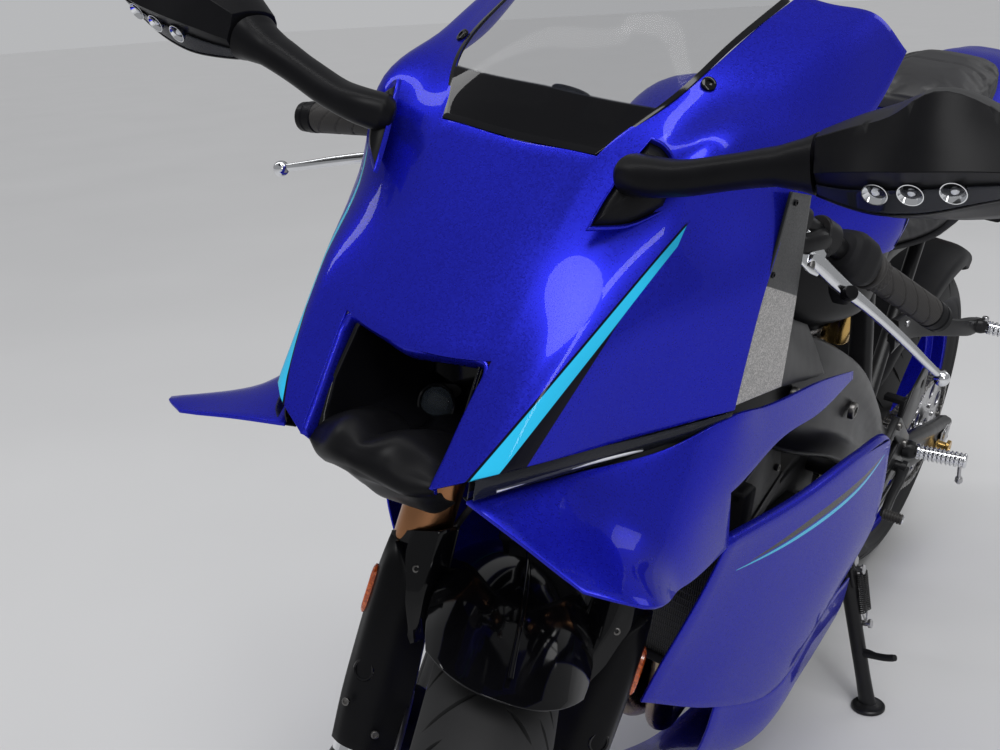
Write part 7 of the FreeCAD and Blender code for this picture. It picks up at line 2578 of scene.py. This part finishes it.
class BuildSeats(bpy.types.Operator):
    """Rider's seat and the pad behind it"""
    bl_idname = "motorcycle.seats"
    bl_label = "Seats"

    def execute(self, context):
        low = 8
        shape = ((865, 66, 772, 800, 822), (874, 80, 768, 801, 829), (905, 92, 768, 801, 829),
                 (960, 108, 768, 801, 826), (1020, 126, 770, 804, 827), (1080, 138, 776, 810, 831),
                 (1130, 138, 786, 822, 845), (1156, 134, 797, 836, 862), (1166, 118, 806, 840, 862))
        loops = [arch_loop(y, half - low, bottom, shoulder - 4, top - 6, 0.92)
                 for y, half, bottom, shoulder, top in shape]

        def welt(spot):
            return spot.z - (806 + max(0, spot.y - 1080) * 0.3) if spot.z > 780 else None

        def middle(spot):
            half = 62 + (spot.y - 865) * 0.14
            return abs(spot.x) - half if 890 < spot.y < 1140 and spot.z > 812 else None

        def across(spot):
            return spot.y - 1128 - 0.0012 * spot.x ** 2 if spot.z > 815 and abs(spot.x) < 104 else None

        seat = cushion("rider_pad", loops, ((welt, 2.2, 3.2), (middle, 2.6, 4.5), (across, 3.0, 5)), 776)
        ride(seat, "chassis", "seat_cover", "rider_seat")
        pan = [(866, 64), (960, 104), (1080, 134), (1150, 132), (1164, 112)]
        rows = [[(0, y, self.pan_height(y)), (0.6 * half, y, self.pan_height(y)),
                 (half - 4, y, self.pan_height(y) + 3)] for y, half in pan]
        ride(panel("rider_seat_pan", rows, [finish("black_grained")], 5, 4, thickness=3, whole=True),
             "chassis", "black_satin")
        shape = ((1200, 60, 912, 930, 946), (1210, 84, 912, 934, 952), (1250, 96, 915, 944, 962),
                 (1300, 101, 921, 953, 970), (1360, 98, 929, 962, 978), (1420, 89, 939, 972, 987),
                 (1462, 70, 947, 977, 990), (1474, 48, 951, 977, 988))
        loops = [arch_loop(y, half - 5, bottom + 1, shoulder - 3, top - 5, 0.94)
                 for y, half, bottom, shoulder, top in shape]

        def rim(spot):
            return spot.z - (936 + (spot.y - 1200) * 0.125)

        def channel(spot):
            return spot.y - 1330 - 0.002 * spot.x ** 2 if spot.z > 950 and abs(spot.x) < 76 else None

        pad = cushion("pillion_pad", loops, ((rim, 2, 3), (channel, 2.6, 4.5)), 926, 16)
        ride(pad, "chassis", "seat_cover", "pillion_seat")
        return {"FINISHED"}

    def pan_height(self, y):
        return 766 + max(0, y - 1000) * 0.14 + max(0, y - 1100) * 0.12


class BuildTail(bpy.types.Operator):
    """Tail with its lamp, the plate bracket with indicators, and the rear wheel's inner mudguard"""
    bl_idname = "motorcycle.tail"
    bl_label = "Tail"

    def execute(self, context):
        self.add_cowl()
        self.add_lamp()
        self.add_bracket()
        self.add_hugger()
        return {"FINISHED"}

    def add_cowl(self):
        rows = ((1178, 127, 806, 880, 905), (1186, 128, 802, 881, 912), (1240, 126, 816, 889, 918),
                (1300, 121, 837, 899, 926), (1370, 112, 858, 914, 938), (1440, 101, 879, 930, 952),
                (1500, 90, 896, 945, 968), (1570, 74, 913, 960, 979), (1640, 56, 928, 966, 981),
                (1690, 43, 938, 968, 980), (1700, 39, 941, 967, 978))
        loops = []
        for y, half, bottom, shoulder, top in rows:
            right = [(0, y, top), (0.5 * half, y, top - 1), (0.86 * half, y, top - 0.42 * (top - shoulder)),
                     (half, y, shoulder), (0.93 * half, y, shoulder - 0.42 * (shoulder - bottom)),
                     (0.72 * half, y, bottom + 4), (0.4 * half, y, bottom), (0, y, bottom)]
            loops.append(right + [(-p[0], p[1], p[2]) for p in reversed(right[1:-1])])

        def paint(i, j):
            column = j // 4
            return 1 if 5 <= column <= 8 else 0

        shell = loft("tail_shell", loops, [finish("paint_blue"), finish("black_satin")], 5, 4, (1,),
                     (3, 11), paint=paint, edge=0.6, sharp=30)
        ride(shell, "chassis", "blue_paint", "tail_cowl")
        rows = [[(74, 1196, 921), (98, 1202, 906), (108, 1206, 897)],
                [(78, 1300, 934), (96, 1304, 919), (104, 1308, 909)],
                [(72, 1400, 949), (86, 1404, 937), (94, 1408, 927)],
                [(54, 1490, 971), (66, 1496, 962), (78, 1504, 949)]]
        trim = panel("tail_inlays", rows, [finish("black_gloss")], 6, 3, thickness=2.4, edge=0.8)
        ride(trim, "chassis", "black_gloss")
        vents = []
        for k in range(3):
            y = 1560 + 30 * k
            half = 78 - 0.26 * (y - 1560) - 3
            line = [((half - 2, y - 14, 944 + 0.1 * (y - 1560)), (1.6, 4)),
                    ((half - 5, y, 947 + 0.1 * (y - 1560)), (2, 5)),
                    ((half - 9, y + 14, 949 + 0.1 * (y - 1560)), (1.6, 3))]
            vents.append(rod("tail_vent", line, [finish("black_grained")], None, 14, 4, 0.7, mirrored=True))
        ride(joined("tail_vents", vents), "chassis", "black_satin")
        hooks = [((112, 1440, 914), 4), ((122, 1446, 912), 4), ((123, 1462, 912), 4),
                 ((112, 1470, 914), 4)]
        ride(rod("strap_hooks", hooks, [finish("black_satin")], None, 16, 5, mirrored=True), "chassis",
             "black_satin")

    def add_lamp(self):
        def ring(y, low_half, low, high_half, high):
            right = [(0, y, high), (0.7 * high_half, y, high), (high_half, y, high - 3),
                     (low_half, y, low + 3), (0.7 * low_half, y, low), (0, y, low)]
            return right + [(-p[0], p[1], p[2]) for p in reversed(right[1:-1])]

        lens = loft("tail_lens", [ring(1697, 34, 945, 38, 968), ring(1708, 31, 946, 35, 968),
                                  ring(1718, 25, 948, 29, 966), ring(1724, 18, 951, 22, 963)],
                    [finish("red_lens")], 4, 3)
        ride(lens, "chassis", "red_lens", "tail_lamp")
        bezel = [[(x * 1.05, y + 1, 957 + (z - 957) * 1.12) for x, y, z in ring(1690, 34, 945, 38, 968)],
                 [(x * 1.02, y, 957 + (z - 957) * 1.06) for x, y, z in ring(1703, 32, 945, 36, 968)]]
        ride(loft("tail_bezel", bezel, [finish("black_gloss")], 3, 3, edge=0.6), "chassis", "black_gloss")

    def add_bracket(self):
        black = [finish("black_grained")]
        loops = []
        for y, z, half, deep in ((1600, 928, 34, 20), (1640, 910, 32, 16), (1672, 872, 30, 11),
                                 (1690, 830, 28, 9), (1701, 790, 26, 8), (1708, 776, 26, 7)):
            right = [(0, y + deep * 0.7, z + deep), (half - 6, y + deep * 0.7, z + deep * 0.8),
                     (half, y, z), (half - 6, y - deep, z - deep * 0.4), (0, y - deep, z - deep * 0.4)]
            loops.append(right + [(-p[0], p[1], p[2]) for p in reversed(right[1:-1])])
        things = [loft("bracket_arm", loops, black, 5, 3)]
        frame = along_x((0, 1732, 716), (0, 140, 60))
        outline = []
        for cy, cz, start in ((80, 66, 0), (-80, 66, 90), (-80, -66, 180), (80, -66, 270)):
            for k in range(6):
                angle = math.radians(start + 18 * k)
                outline.append((cy + 10 * math.cos(angle), cz + 10 * math.sin(angle)))
        holes = [circle(3, 24, (70, 0)), circle(3, 24, (-70, 0))]
        slot = [(26, 26), (26, 34), (-26, 34), (-26, 26)]
        things.append(plate("plate_board", outline, holes + [slot], 5, black, frame, 0.8))
        for side in (1, -1):
            stem = [((side * 20, 1694, 806), 6.4), ((side * 60, 1697, 809), 5.6),
                    ((side * 98, 1700, 812), 7.4)]
            things.append(rod("indicator_stem", stem, black, None, 18, 4))
            body = [((side * 94, 1700, 812), (7, 9)), ((side * 104, 1702, 812), (10, 13)),
                    ((side * 114, 1705, 812), (11, 13)), ((side * 123, 1708, 812), (6, 8))]
            things.append(rod("indicator_body", body, black, None, 24, 5))
        hood = [((-22, 1716, 792), (5, 7)), ((0, 1722, 794), (7, 9)), ((22, 1716, 792), (5, 7))]
        things.append(rod("plate_lamp_hood", hood, black, None, 18, 5, 0.7))
        ride(joined("plate_bracket", things), "chassis", "black_satin", "plate_holder")
        lenses = []
        for side in (1, -1):
            loops = [((side * 109, 1709, 812), (14, 11)), ((side * 109.5, 1716, 812), (13, 10)),
                     ((side * 110, 1721, 812), (7, 6))]
            lenses.append(rod("indicator_lens", loops, [finish("lens_smoke")], None, 28, 4, 0.85))
        ride(joined("rear_indicator_lenses", lenses), "chassis", "lamp_lens")
        reflector = [((0, 1748, 668), (24, 12)), ((0, 1753, 670), (23, 11))]
        ride(rod("rear_reflector", reflector, [finish("red_lens")], None, 24, 2, 0.4, (0, 0, 1), 0.6),
             "chassis", "red_lens")

    def add_hugger(self):
        black = [finish("black_grained")]
        rows = []
        for turn, half in ((-63, 60), (-60, 69), (-46, 82), (-30, 95), (-15, 98), (0, 98), (14, 92),
                           (26, 84), (29, 74)):
            angle = math.radians(turn)
            row = []
            for across, radius in ((0, 344), (0.45 * half, 343), (0.8 * half, 339), (half - 1, 330),
                                   (half, 309)):
                spot = AXLE_REAR + Vector((0, math.sin(angle), math.cos(angle))) * radius
                row.append((across, spot.y, spot.z))
            rows.append(row)
        shell = panel("hugger_shell", rows, black, 4, 4, thickness=3, edge=0.7, whole=True, flip=True)
        things = [shell]
        for side in (1, -1):
            ends = sorted((side * 116, side * 123))
            things.append(slab("hugger_post", [(1132, 398), (1148, 398), (1150, 474), (1130, 474)], ends[0],
                               ends[1], black, 1.5))
            ends = sorted((side * 88, side * 123))
            things.append(slab("hugger_foot", [(1130, 465), (1150, 465), (1150, 474), (1130, 474)], ends[0],
                               ends[1], black, 1.5))
        ride(joined("inner_mudguard", things), "chassis", "black_satin", "rear_hugger")


# Footrests, rear brake and side stand

def both_sides(name, things):
    """One object from several on the left, with its mirror image on the right."""
    return both_ends(name, things, BIKE)


def ringed(reach, pitch, high, low, plain_start, plain_end):
    """Radius along a knurled peg: rings between a plain root and a plain end."""
    def radius(angle, x):
        if x < plain_start:
            return low + (high - low) * min(1, x / 4)
        if x > reach - plain_end:
            return high * math.sqrt(max(0.0, 1 - ((x - reach + plain_end) / plain_end) ** 4 * 0.5))
        share = (x - plain_start) % pitch / pitch
        notch = 1.0 if 0.12 < share < 0.62 else 0.0
        teeth = 0.5 * (math.cos(angle * 12) > 0.2) * notch
        return low + (high - low) * notch - teeth
    return radius


class BuildFootControls(bpy.types.Operator):
    """Footrests with their hangers and pedals, the pillion's footrests and the rear brake"""
    bl_idname = "motorcycle.foot_controls"
    bl_label = "Footrests"

    def execute(self, context):
        self.add_hangers()
        self.add_pedals()
        self.add_pillion()
        self.add_rear_brake()
        return {"FINISHED"}

    def add_hangers(self):
        black = [finish("black_alloy")]
        outline = [(884, 470), (902, 486), (948, 520), (960, 516), (1046, 456), (1052, 446), (1052, 424),
                   (1030, 414), (944, 380), (930, 380), (886, 398), (882, 408)]
        windows = [[(912, 462), (944, 492), (986, 464), (940, 436)],
                   [(918, 410), (940, 424), (986, 424), (938, 400)]]
        things = [slab("hanger", outline, 148, 159, black, 1.6, windows)]
        guard = [(976, 506), (1040, 466), (1064, 480), (1084, 520), (1082, 562), (1052, 568), (1010, 546)]
        things.append(slab("heel_guard", guard, 152, 156, black, 0.8, [circle(7, 24, (1058, 540))]))
        clevis = [((158, 1030, 438), (15, 13)), ((168, 1031.5, 439), (14, 14)),
                  ((176, 1032.6, 440), (11, 12))]
        things.append(rod("peg_clevis", clevis, black, None, 28, 4, 0.72))
        ride(both_sides("footrest_hangers", things), "chassis", "black_alloy", "footrests")
        along = Vector((92, 14, 7))
        peg = turned("peg", 78, ringed(78, 6.4, 12, 9.8, 8, 6), along_x((175, 1032.3, 439.2), along),
                     [finish("polished_alloy")], 60, 78, edge=0)
        ride(both_sides("footrest_pegs", [peg]), "chassis", "bare_alloy")
        end = Vector((243, 1042.6, 444.4))
        feeler = [(end, 3.6), (end + Vector((1, 2, -16)), 3), (end + Vector((3, 4, -30)), 3),
                  (end + Vector((3.2, 4.2, -31)), 5.4), (end + Vector((4, 4.6, -36)), 6),
                  (end + Vector((4.6, 5, -41)), 3)]
        ride(both_sides("peg_feelers", [rod("feeler", feeler, [finish("bare_steel")], None, 16, 4)]),
             "chassis", "bare_steel")
        spots = []
        for side in (1, -1):
            for y, z in ((900, 470), (950, 506), (900, 404), (1018, 452)):
                spots.append(((side * 159, y, z), (side, 0, 0)))
        heads = screws("hanger_screws", spots, 6.4, 5, [finish("dark_steel")], BIKE, 0.52)
        ride(heads, "chassis", "bare_steel")

    def add_pedals(self):
        black = [finish("black_alloy")]
        lever = [((170, 1000, 420), (11, 6)), ((174, 982, 414), (8, 5)),
                 ((178, 930, 400), (7, 5)), ((182, 896, 393), (7, 6)),
                 ((184, 884, 393), (7, 6))]
        things = [rod("pedal_lever", lever, black, None, 24, 5, 0.8)]
        boss = [(0, 158), (9, 158), (9, 168), (12, 168.6), (12, 176), (11, 177), (0, 177)]
        things.append(lathe("pedal_boss", boss, black, BIKE @ shift((0, 1000, 420)), 36))
        ride(both_sides("foot_pedals", things), "chassis", "black_alloy")

        def ribs(angle, x):
            return 8.2 - (1.5 if (x % 4.2) > 2.6 else 0.0) if x < 27 else 7.4

        place = along_x((182, 884, 393), (1, 0.05, 0.02))
        pad = turned("pad", 28, ribs, place, [finish("grip_rubber")], 40, 56)
        ride(both_sides("pedal_pads", [pad]), "chassis", "grip_rubber")
        profile = [(0, 27.5), (6.4, 27.5), (6.6, 29), (5.4, 30.6), (0, 31)]
        cap = lathe("pad_end", profile, [finish("polished_alloy")], place, 28)
        ride(both_sides("pedal_pad_ends", [cap]), "chassis", "bare_alloy")
        link = [((168, 990, 410), 4), ((164, 900, 372), 4), ((160, 816, 340), 4)]
        linkage = rod("gear_link", link, [finish("bare_steel")], None, 16, 4)
        ride(linkage, "chassis", "bare_steel")

    def add_pillion(self):
        black = [finish("black_alloy")]
        loops = []
        sections = ((976, 628, 112, 27, 6), (1010, 636, 118, 22, 6), (1080, 626, 142, 15, 6),
                    (1150, 612, 168, 13, 6), (1200, 606, 182, 13, 6.4), (1222, 606, 187, 8, 6))
        for y, z, x, half, thick in sections:
            loops.append([(x - thick, y, z - half), (x - thick * 0.2, y, z - half - 1),
                          (x + thick * 0.8, y, z - half), (x + thick, y, z),
                          (x + thick * 0.8, y, z + half), (x - thick * 0.2, y, z + half + 1),
                          (x - thick, y, z + half), (x - thick * 0.6, y, z)])
        things = [loft("pillion_arm", loops, black, 5, 2, edge=0.6)]
        clevis = [((182, 1208, 606), (13, 12)), ((194, 1211, 606), (12, 12)),
                  ((202, 1212, 606), (8, 9))]
        things.append(rod("pillion_clevis", clevis, black, None, 24, 4, 0.75))
        ride(both_sides("pillion_arms", things), "chassis", "black_alloy", "pillion_footrests")
        peg = turned("peg", 62, ringed(62, 6.2, 11, 9, 6, 5), along_x((200, 1211.5, 606), (76, 10, 0)),
                     [finish("polished_alloy")], 56, 62)
        ride(both_sides("pillion_pegs", [peg]), "chassis", "bare_alloy")
        spots = [((side * 122, y, z), (side, 0, 0)) for side in (1, -1) for y, z in ((986, 624), (1004, 646))]
        spots += [((side * 196, 1212, 618), (0, 0, 1)) for side in (1, -1)]
        heads = screws("pillion_screws", spots, 5.4, 4.4, [finish("bare_steel")], BIKE, 0.5)
        ride(heads, "chassis", "bare_steel")

    def add_rear_brake(self):
        black = [finish("black_alloy")]
        place = BIKE @ shift(AXLE_REAR)
        body = [(-60, 64), (-30, 70), (8, 84), (6, 104), (0, 120), (-36, 120), (-80, 102), (-82, 94)]
        things = [slab("caliper_half", body, -96, -78.5, black, 3, (), place),
                  slab("caliper_half", body, -69.5, -52, black, 3, (), place),
                  slab("caliper_bridge", [(-40, 114.6), (0, 114.4), (0, 121), (-36, 122)], -82, -66,
                       black, 1.4, (), place)]
        for y, z in ((-46, 84), (-16, 96)):
            piston = [(0, -101), (14, -101), (16, -99), (17, -94), (0, -94)]
            things.append(lathe("caliper_piston", piston, black, place @ shift((0, y, z)), 36))
        carrier = [(1346, 340), (1356, 334), (1390, 340), (1390, 398), (1376, 404), (1346, 400)]
        things.append(slab("caliper_carrier", carrier, -122, -93, black, 2.5))
        ride(joined("rear_brake_caliper", things), "chassis", "black_alloy", "rear_caliper")
        hose = [(-104, 1352, 418), (-120, 1318, 452), (-142, 1240, 446), (-146, 1120, 458), (-146, 1010, 470),
                (-130, 930, 500)]
        ride(rod("rear_brake_hose", [(Vector(p), 3.6) for p in hose], [finish("hose_rubber")], None, 14, 8),
             "chassis", "black_satin")
        spots = [((-96, 1420 + y, 317 + z), (-1, 0, 0)) for y, z in ((-64, 96), (0, 92))]
        heads = screws("rear_caliper_screws", spots, 5, 4, [finish("bare_steel")], BIKE, 0.5)
        ride(heads, "chassis", "bare_steel")


class BuildStand(bpy.types.Operator):
    """Side stand with its springs, spur and foot"""
    bl_idname = "motorcycle.stand"
    bl_label = "Side stand"

    def execute(self, context):
        black = [finish("black_alloy")]
        pivot = Vector((134, 928, 272))
        floor_point = BIKE @ (Vector((238, 908, 0)) * MM)
        floor_point.z = 0
        foot = (BIKE.inverted() @ floor_point) / MM
        along = (foot - pivot).normalized()
        reach = (foot - pivot).length
        pin = Vector((math.cos(math.radians(18.6)), 0, math.sin(math.radians(18.6))))
        back = along.cross(pin).normalized()
        stations = [(pivot + along * far, radii) for far, radii in (
            (20, (12, 13)), (44, (13, 13)), (60, (12, 12)), (reach - 60, (11.6, 11.6)),
            (reach - 24, (11.6, 12.5)), (reach - 3, (11, 14)))]
        things = [rod("stand_leg", stations, black, None, 28, 4, flat=pin)]
        for low, high in ((6.6, 14), (-14, -6.6)):
            ear = [(8.6, low), (15, low), (16, low + 1), (16, high - 1), (15, high), (8.6, high)]
            things.append(lathe("stand_ear", ear, black, along_x(pivot, pin), 44, closed=True))
            cheek = [(pivot + pin * (low + high) / 2 + along * d, (w, 3.7)) for d, w in
                     ((12, 13), (26, 13), (42, 10))]
            things.append(rod("stand_cheek", cheek, black, None, 20, 3, 0.6, flat=pin))
        world = Matrix.Translation(floor_point) @ Matrix.Rotation(-math.pi / 2, 4, "Y")
        sole = [(0, 0), (23.6, 0), (26, 1.6), (26, 5.2), (24, 7), (16, 7.6), (13, 10), (0, 11)]
        things.append(lathe("stand_foot", sole, black, world, 56))
        middle = pivot + along * (0.62 * reach)
        spur = [(middle, 7), (middle + pin * 12 + back * 2, 7), (middle + pin * 30 + back * 8, 5.6),
                (middle + pin * 56 + back * 14 - along * 3, 5.6),
                (middle + pin * 62 + back * 16 - along * 5, 5)]
        things.append(rod("stand_spur", spur, black, None, 20, 5))
        stand = joined("stand_parts", things)
        ride(stand, "side_stand", "black_alloy", "side_stand")
        self.add_springs(pivot, along, pin, back, reach)
        return {"FINISHED"}

    def add_springs(self, pivot, along, pin, back, reach):
        start = pivot + pin * 20 - back * 10 + along * 18
        end = pivot + along * (0.44 * reach) + pin * 14 - back * 12
        axis = end - start
        frame = along_x(start, axis)
        span = axis.length
        coils = []
        for offset in (-7.6, 7.6):
            path = []
            turns = 19
            for k in range(turns * 10 + 1):
                angle = math.tau * k / 10
                x = span * (0.06 + 0.72 * k / (turns * 10))
                path.append(((x, offset + 5.4 * math.cos(angle), 5.4 * math.sin(angle)), 1.15))
            coils.append(rod("coil", path, [finish("black_alloy")], frame, 6, 1))
            hook = [((span * 0.78, offset, 0), 1.4), ((span * 0.88, offset * 0.5, 0), 1.4),
                    ((span, 0, 0), 1.4)]
            coils.append(rod("hook", hook, [finish("bare_steel")], frame, 8, 4))
        ride(joined("stand_springs", coils), "side_stand", "black_satin")
        steel = [finish("bare_steel")]
        post = [(0, -16), (4.6, -16), (4.6, 4), (7, 4.4), (7, 8), (6, 9), (0, 9)]
        posts = [lathe("spring_post", post, steel, along_x(end, pin), 28),
                 lathe("spring_post", [(0, -24), (5, -24), (5, 2), (8, 2.4), (8, 5), (7, 6), (0, 6)], steel,
                       along_x(start, pin), 28)]
        ride(joined("spring_posts", posts), "side_stand", "bare_steel")
        bolt = [(0, 0), (10, 0), (10, 5), (8.6, 6), (0, 6)]
        heads = [lathe("pivot_bolt", bolt, steel, along_x(pivot + pin * 14.2, pin), 6)]
        ride(joined("stand_pivot_bolt", heads), "side_stand", "bare_steel")


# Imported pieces

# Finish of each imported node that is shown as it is.
NODE_FINISHES = {
    "front_axle": "bare_steel", "drive_sprocket": "bare_steel", "stand_bracket": "black_alloy",
}


class BuildFrameFinishes(bpy.types.Operator):
    """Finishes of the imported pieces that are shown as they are"""
    bl_idname = "motorcycle.frame_finishes"
    bl_label = "Packed pieces' finishes"

    def execute(self, context):
        for node, name in NODE_FINISHES.items():
            dress(node, name)
        return {"FINISHED"}


# Stage

class BuildStage(bpy.types.Operator):
    """Pale floor, soft lamps and the camera at the photograph's viewing angle"""
    bl_idname = "motorcycle.stage"
    bl_label = "Stage"

    def execute(self, context):
        floor_paint = Recipe("floor_paint")
        cloud = floor_paint.noise(900, 3.0)
        floor_paint.set(Base_Color=floor_paint.mix(cloud, (0.60, 0.60, 0.605), (0.65, 0.65, 0.655)),
                        Roughness=cloud * 0.1 + 0.55)
        half = 60000
        corners = [(-half, -half, 0), (half, -half, 0), (half, half, 0), (-half, half, 0)]
        floor = add_mesh("floor", corners, [[0, 1, 2, 3]], Matrix.Identity(4),
                         [floor_paint.material])
        floor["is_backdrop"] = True
        self.add_world(context.scene)
        self.add_lamps()
        self.add_camera(context.scene)
        context.scene.view_settings.view_transform = "Standard"
        return {"FINISHED"}

    def add_world(self, scene):
        world = bpy.data.worlds.new("pale_room")
        scene.world = world
        world.use_nodes = True
        recipe = Recipe.__new__(Recipe)
        recipe.tree = world.node_tree
        recipe.tree.nodes.clear()
        path = recipe.add("ShaderNodeLightPath")
        seen = path["Is Camera Ray"].math("MAXIMUM", path["Is Camera Ray"], path["Is Transmission Ray"])
        strength = seen * 0.5 + (1 - seen) * (1 - path["Is Glossy Ray"]) * looks().room_light
        strength = strength + path["Is Glossy Ray"] * (1 - seen) * 0.3
        back = recipe.add("ShaderNodeBackground", values={"Color": (0.95, 0.96, 0.98),
                                                          "Strength": strength})
        recipe.add("ShaderNodeOutputWorld", values={"Surface": back["Background"]})

    def add_lamps(self):
        lamps = (
            ("lamp_front_left", (2.6, -2.6, 2.6), (0, -0.4, 0.7), (0.25, 2.6), 1.0),
            ("lamp_overhead", (0.9, -0.2, 3.6), (0, -0.2, 0.8), (0.3, 3.2), 1.0),
            ("lamp_overhead_right", (-1.6, -0.6, 3.3), (0, -0.3, 0.8), (0.3, 3.0), 0.7),
            ("lamp_rear", (1.6, 3.4, 2.6), (0, 0.4, 0.7), (1.6, 1.2), 0.5),
        )
        data = bpy.data.lights.new("daylight", "SUN")
        data.energy = looks().daylight
        data.angle = math.radians(28)
        sun = bpy.data.objects.new("daylight", data)
        bpy.context.scene.collection.objects.link(sun)
        sun.matrix_world = Vector((0.35, -0.45, 1.0)).to_track_quat("Z", "Y").to_matrix().to_4x4()
        for name, place, aim, (width, length), power in lamps:
            data = bpy.data.lights.new(name, "AREA")
            data.shape = "RECTANGLE"
            data.size = width
            data.size_y = length
            data.energy = power * looks().lamp_power
            lamp = bpy.data.objects.new(name, data)
            bpy.context.scene.collection.objects.link(lamp)
            away = (Vector(place) - Vector(aim)).normalized()
            lamp.matrix_world = (Matrix.Translation(Vector(place))
                                 @ away.to_track_quat("Z", "Y").to_matrix().to_4x4())

    def add_camera(self, scene):
        side = looks().camera_azimuth
        height = looks().camera_elevation
        roll = looks().camera_roll
        back = Vector((math.sin(side) * math.cos(height), -math.cos(side) * math.cos(height),
                       math.sin(height)))
        right = (-back).cross(Vector((0, 0, 1))).normalized()
        up = back.cross(right)
        across = right * math.cos(roll) + up * math.sin(roll)
        upward = up * math.cos(roll) - right * math.sin(roll)
        data = bpy.data.cameras.new("photograph_camera")
        data.sensor_width = 36
        data.lens = looks().camera_lens
        data.clip_start = 0.05
        camera = bpy.data.objects.new("photograph_camera", data)
        scene.collection.objects.link(camera)
        turn = Matrix((across, upward, back)).transposed().to_4x4()
        camera.matrix_world = BIKE @ shift((502, -744, 1234)) @ turn
        scene.camera = camera


# Registration

class MotorcycleLooks(bpy.types.PropertyGroup):
    """Sizes and colours that a user may change"""

    paint: FloatVectorProperty(
        name="Paint", description="Metallic paint where it is lit", subtype="COLOR", size=3,
        min=0, max=1, default=(0.024, 0.036, 0.66))
    paint_shade: FloatVectorProperty(
        name="Paint in shade", description="Darker flakes of the paint", subtype="COLOR", size=3,
        min=0, max=1, default=(0.010, 0.007, 0.36))
    stripe: FloatVectorProperty(
        name="Stripe", description="Bright stripe on cheeks and fairings", subtype="COLOR", size=3,
        min=0, max=1, default=(0.03, 0.56, 0.9))
    panel: FloatProperty(
        name="Panel", description="Thickness of the fairing panels, in millimetres", default=3.0,
        min=1.0, max=6.0)
    room_light: FloatProperty(
        name="Room light", description="Strength of the soft light from all round", default=0.42,
        min=0.0, max=2.0)
    lamp_power: FloatProperty(
        name="Lamp power", description="Power of the strongest lamp", default=20.0, min=0.0,
        max=1000.0, unit="POWER")
    daylight: FloatProperty(
        name="Daylight", description="Strength of the soft light from above", default=1.25,
        min=0.0, max=10.0)
    camera_azimuth: FloatProperty(
        name="Camera azimuth", description="Camera's turn from the front towards the left",
        default=math.radians(31.7), subtype="ANGLE", unit="ROTATION")
    camera_elevation: FloatProperty(
        name="Camera elevation", description="Camera's height angle", default=math.radians(23.7),
        subtype="ANGLE", unit="ROTATION")
    camera_roll: FloatProperty(
        name="Camera roll", description="Camera's turn about its line of sight",
        default=math.radians(5.9), subtype="ANGLE", unit="ROTATION")
    camera_lens: FloatProperty(
        name="Camera lens", description="Focal length in millimetres on a 36 mm sensor",
        default=42.948, min=10.0, max=300.0)


class MotorcyclePanel(bpy.types.Panel):
    """Lists the pieces in the sidebar"""
    bl_idname = "VIEW3D_PT_motorcycle"
    bl_label = "Motorcycle"
    bl_space_type = "VIEW_3D"
    bl_region_type = "UI"
    bl_category = "Motorcycle"

    def draw(self, context):
        column = self.layout.column()
        for name in MotorcycleLooks.__annotations__:
            column.prop(context.scene.motorcycle_looks, name)
        for builder in BUILDERS:
            column.operator(builder.bl_idname)


BUILDERS = (BuildStage, BuildCowl, BuildIntake, BuildPositionLamps, BuildWinglets, BuildScreen,
            BuildMirrors, BuildCheekTrim, BuildFairings, BuildControls, BuildFork, BuildFrontFender,
            BuildFrontBrakes, BuildWheels, BuildFrame, BuildEngine,
            BuildTank, BuildSeats, BuildTail, BuildFootControls, BuildStand, BuildFrameFinishes)
CLASSES = (MotorcycleLooks,) + BUILDERS + (MotorcyclePanel,)


def register():
    for cls in CLASSES:
        bpy.utils.register_class(cls)
    bpy.types.Scene.motorcycle_looks = PointerProperty(type=MotorcycleLooks)


def unregister():
    del bpy.types.Scene.motorcycle_looks
    for cls in reversed(CLASSES):
        bpy.utils.unregister_class(cls)


def corners(box):
    """A box's corners as plain lists."""
    return [[round(value, 6) for value in corner] for corner in box]


def main():
    register()
    for builder in BUILDERS:
        group, name = builder.bl_idname.split(".")
        getattr(getattr(bpy.ops, group), name)()
    sizes = {"cad": corners(CAD_BOX), "visual": corners(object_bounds())}


if __name__ == "__main__":
    main()
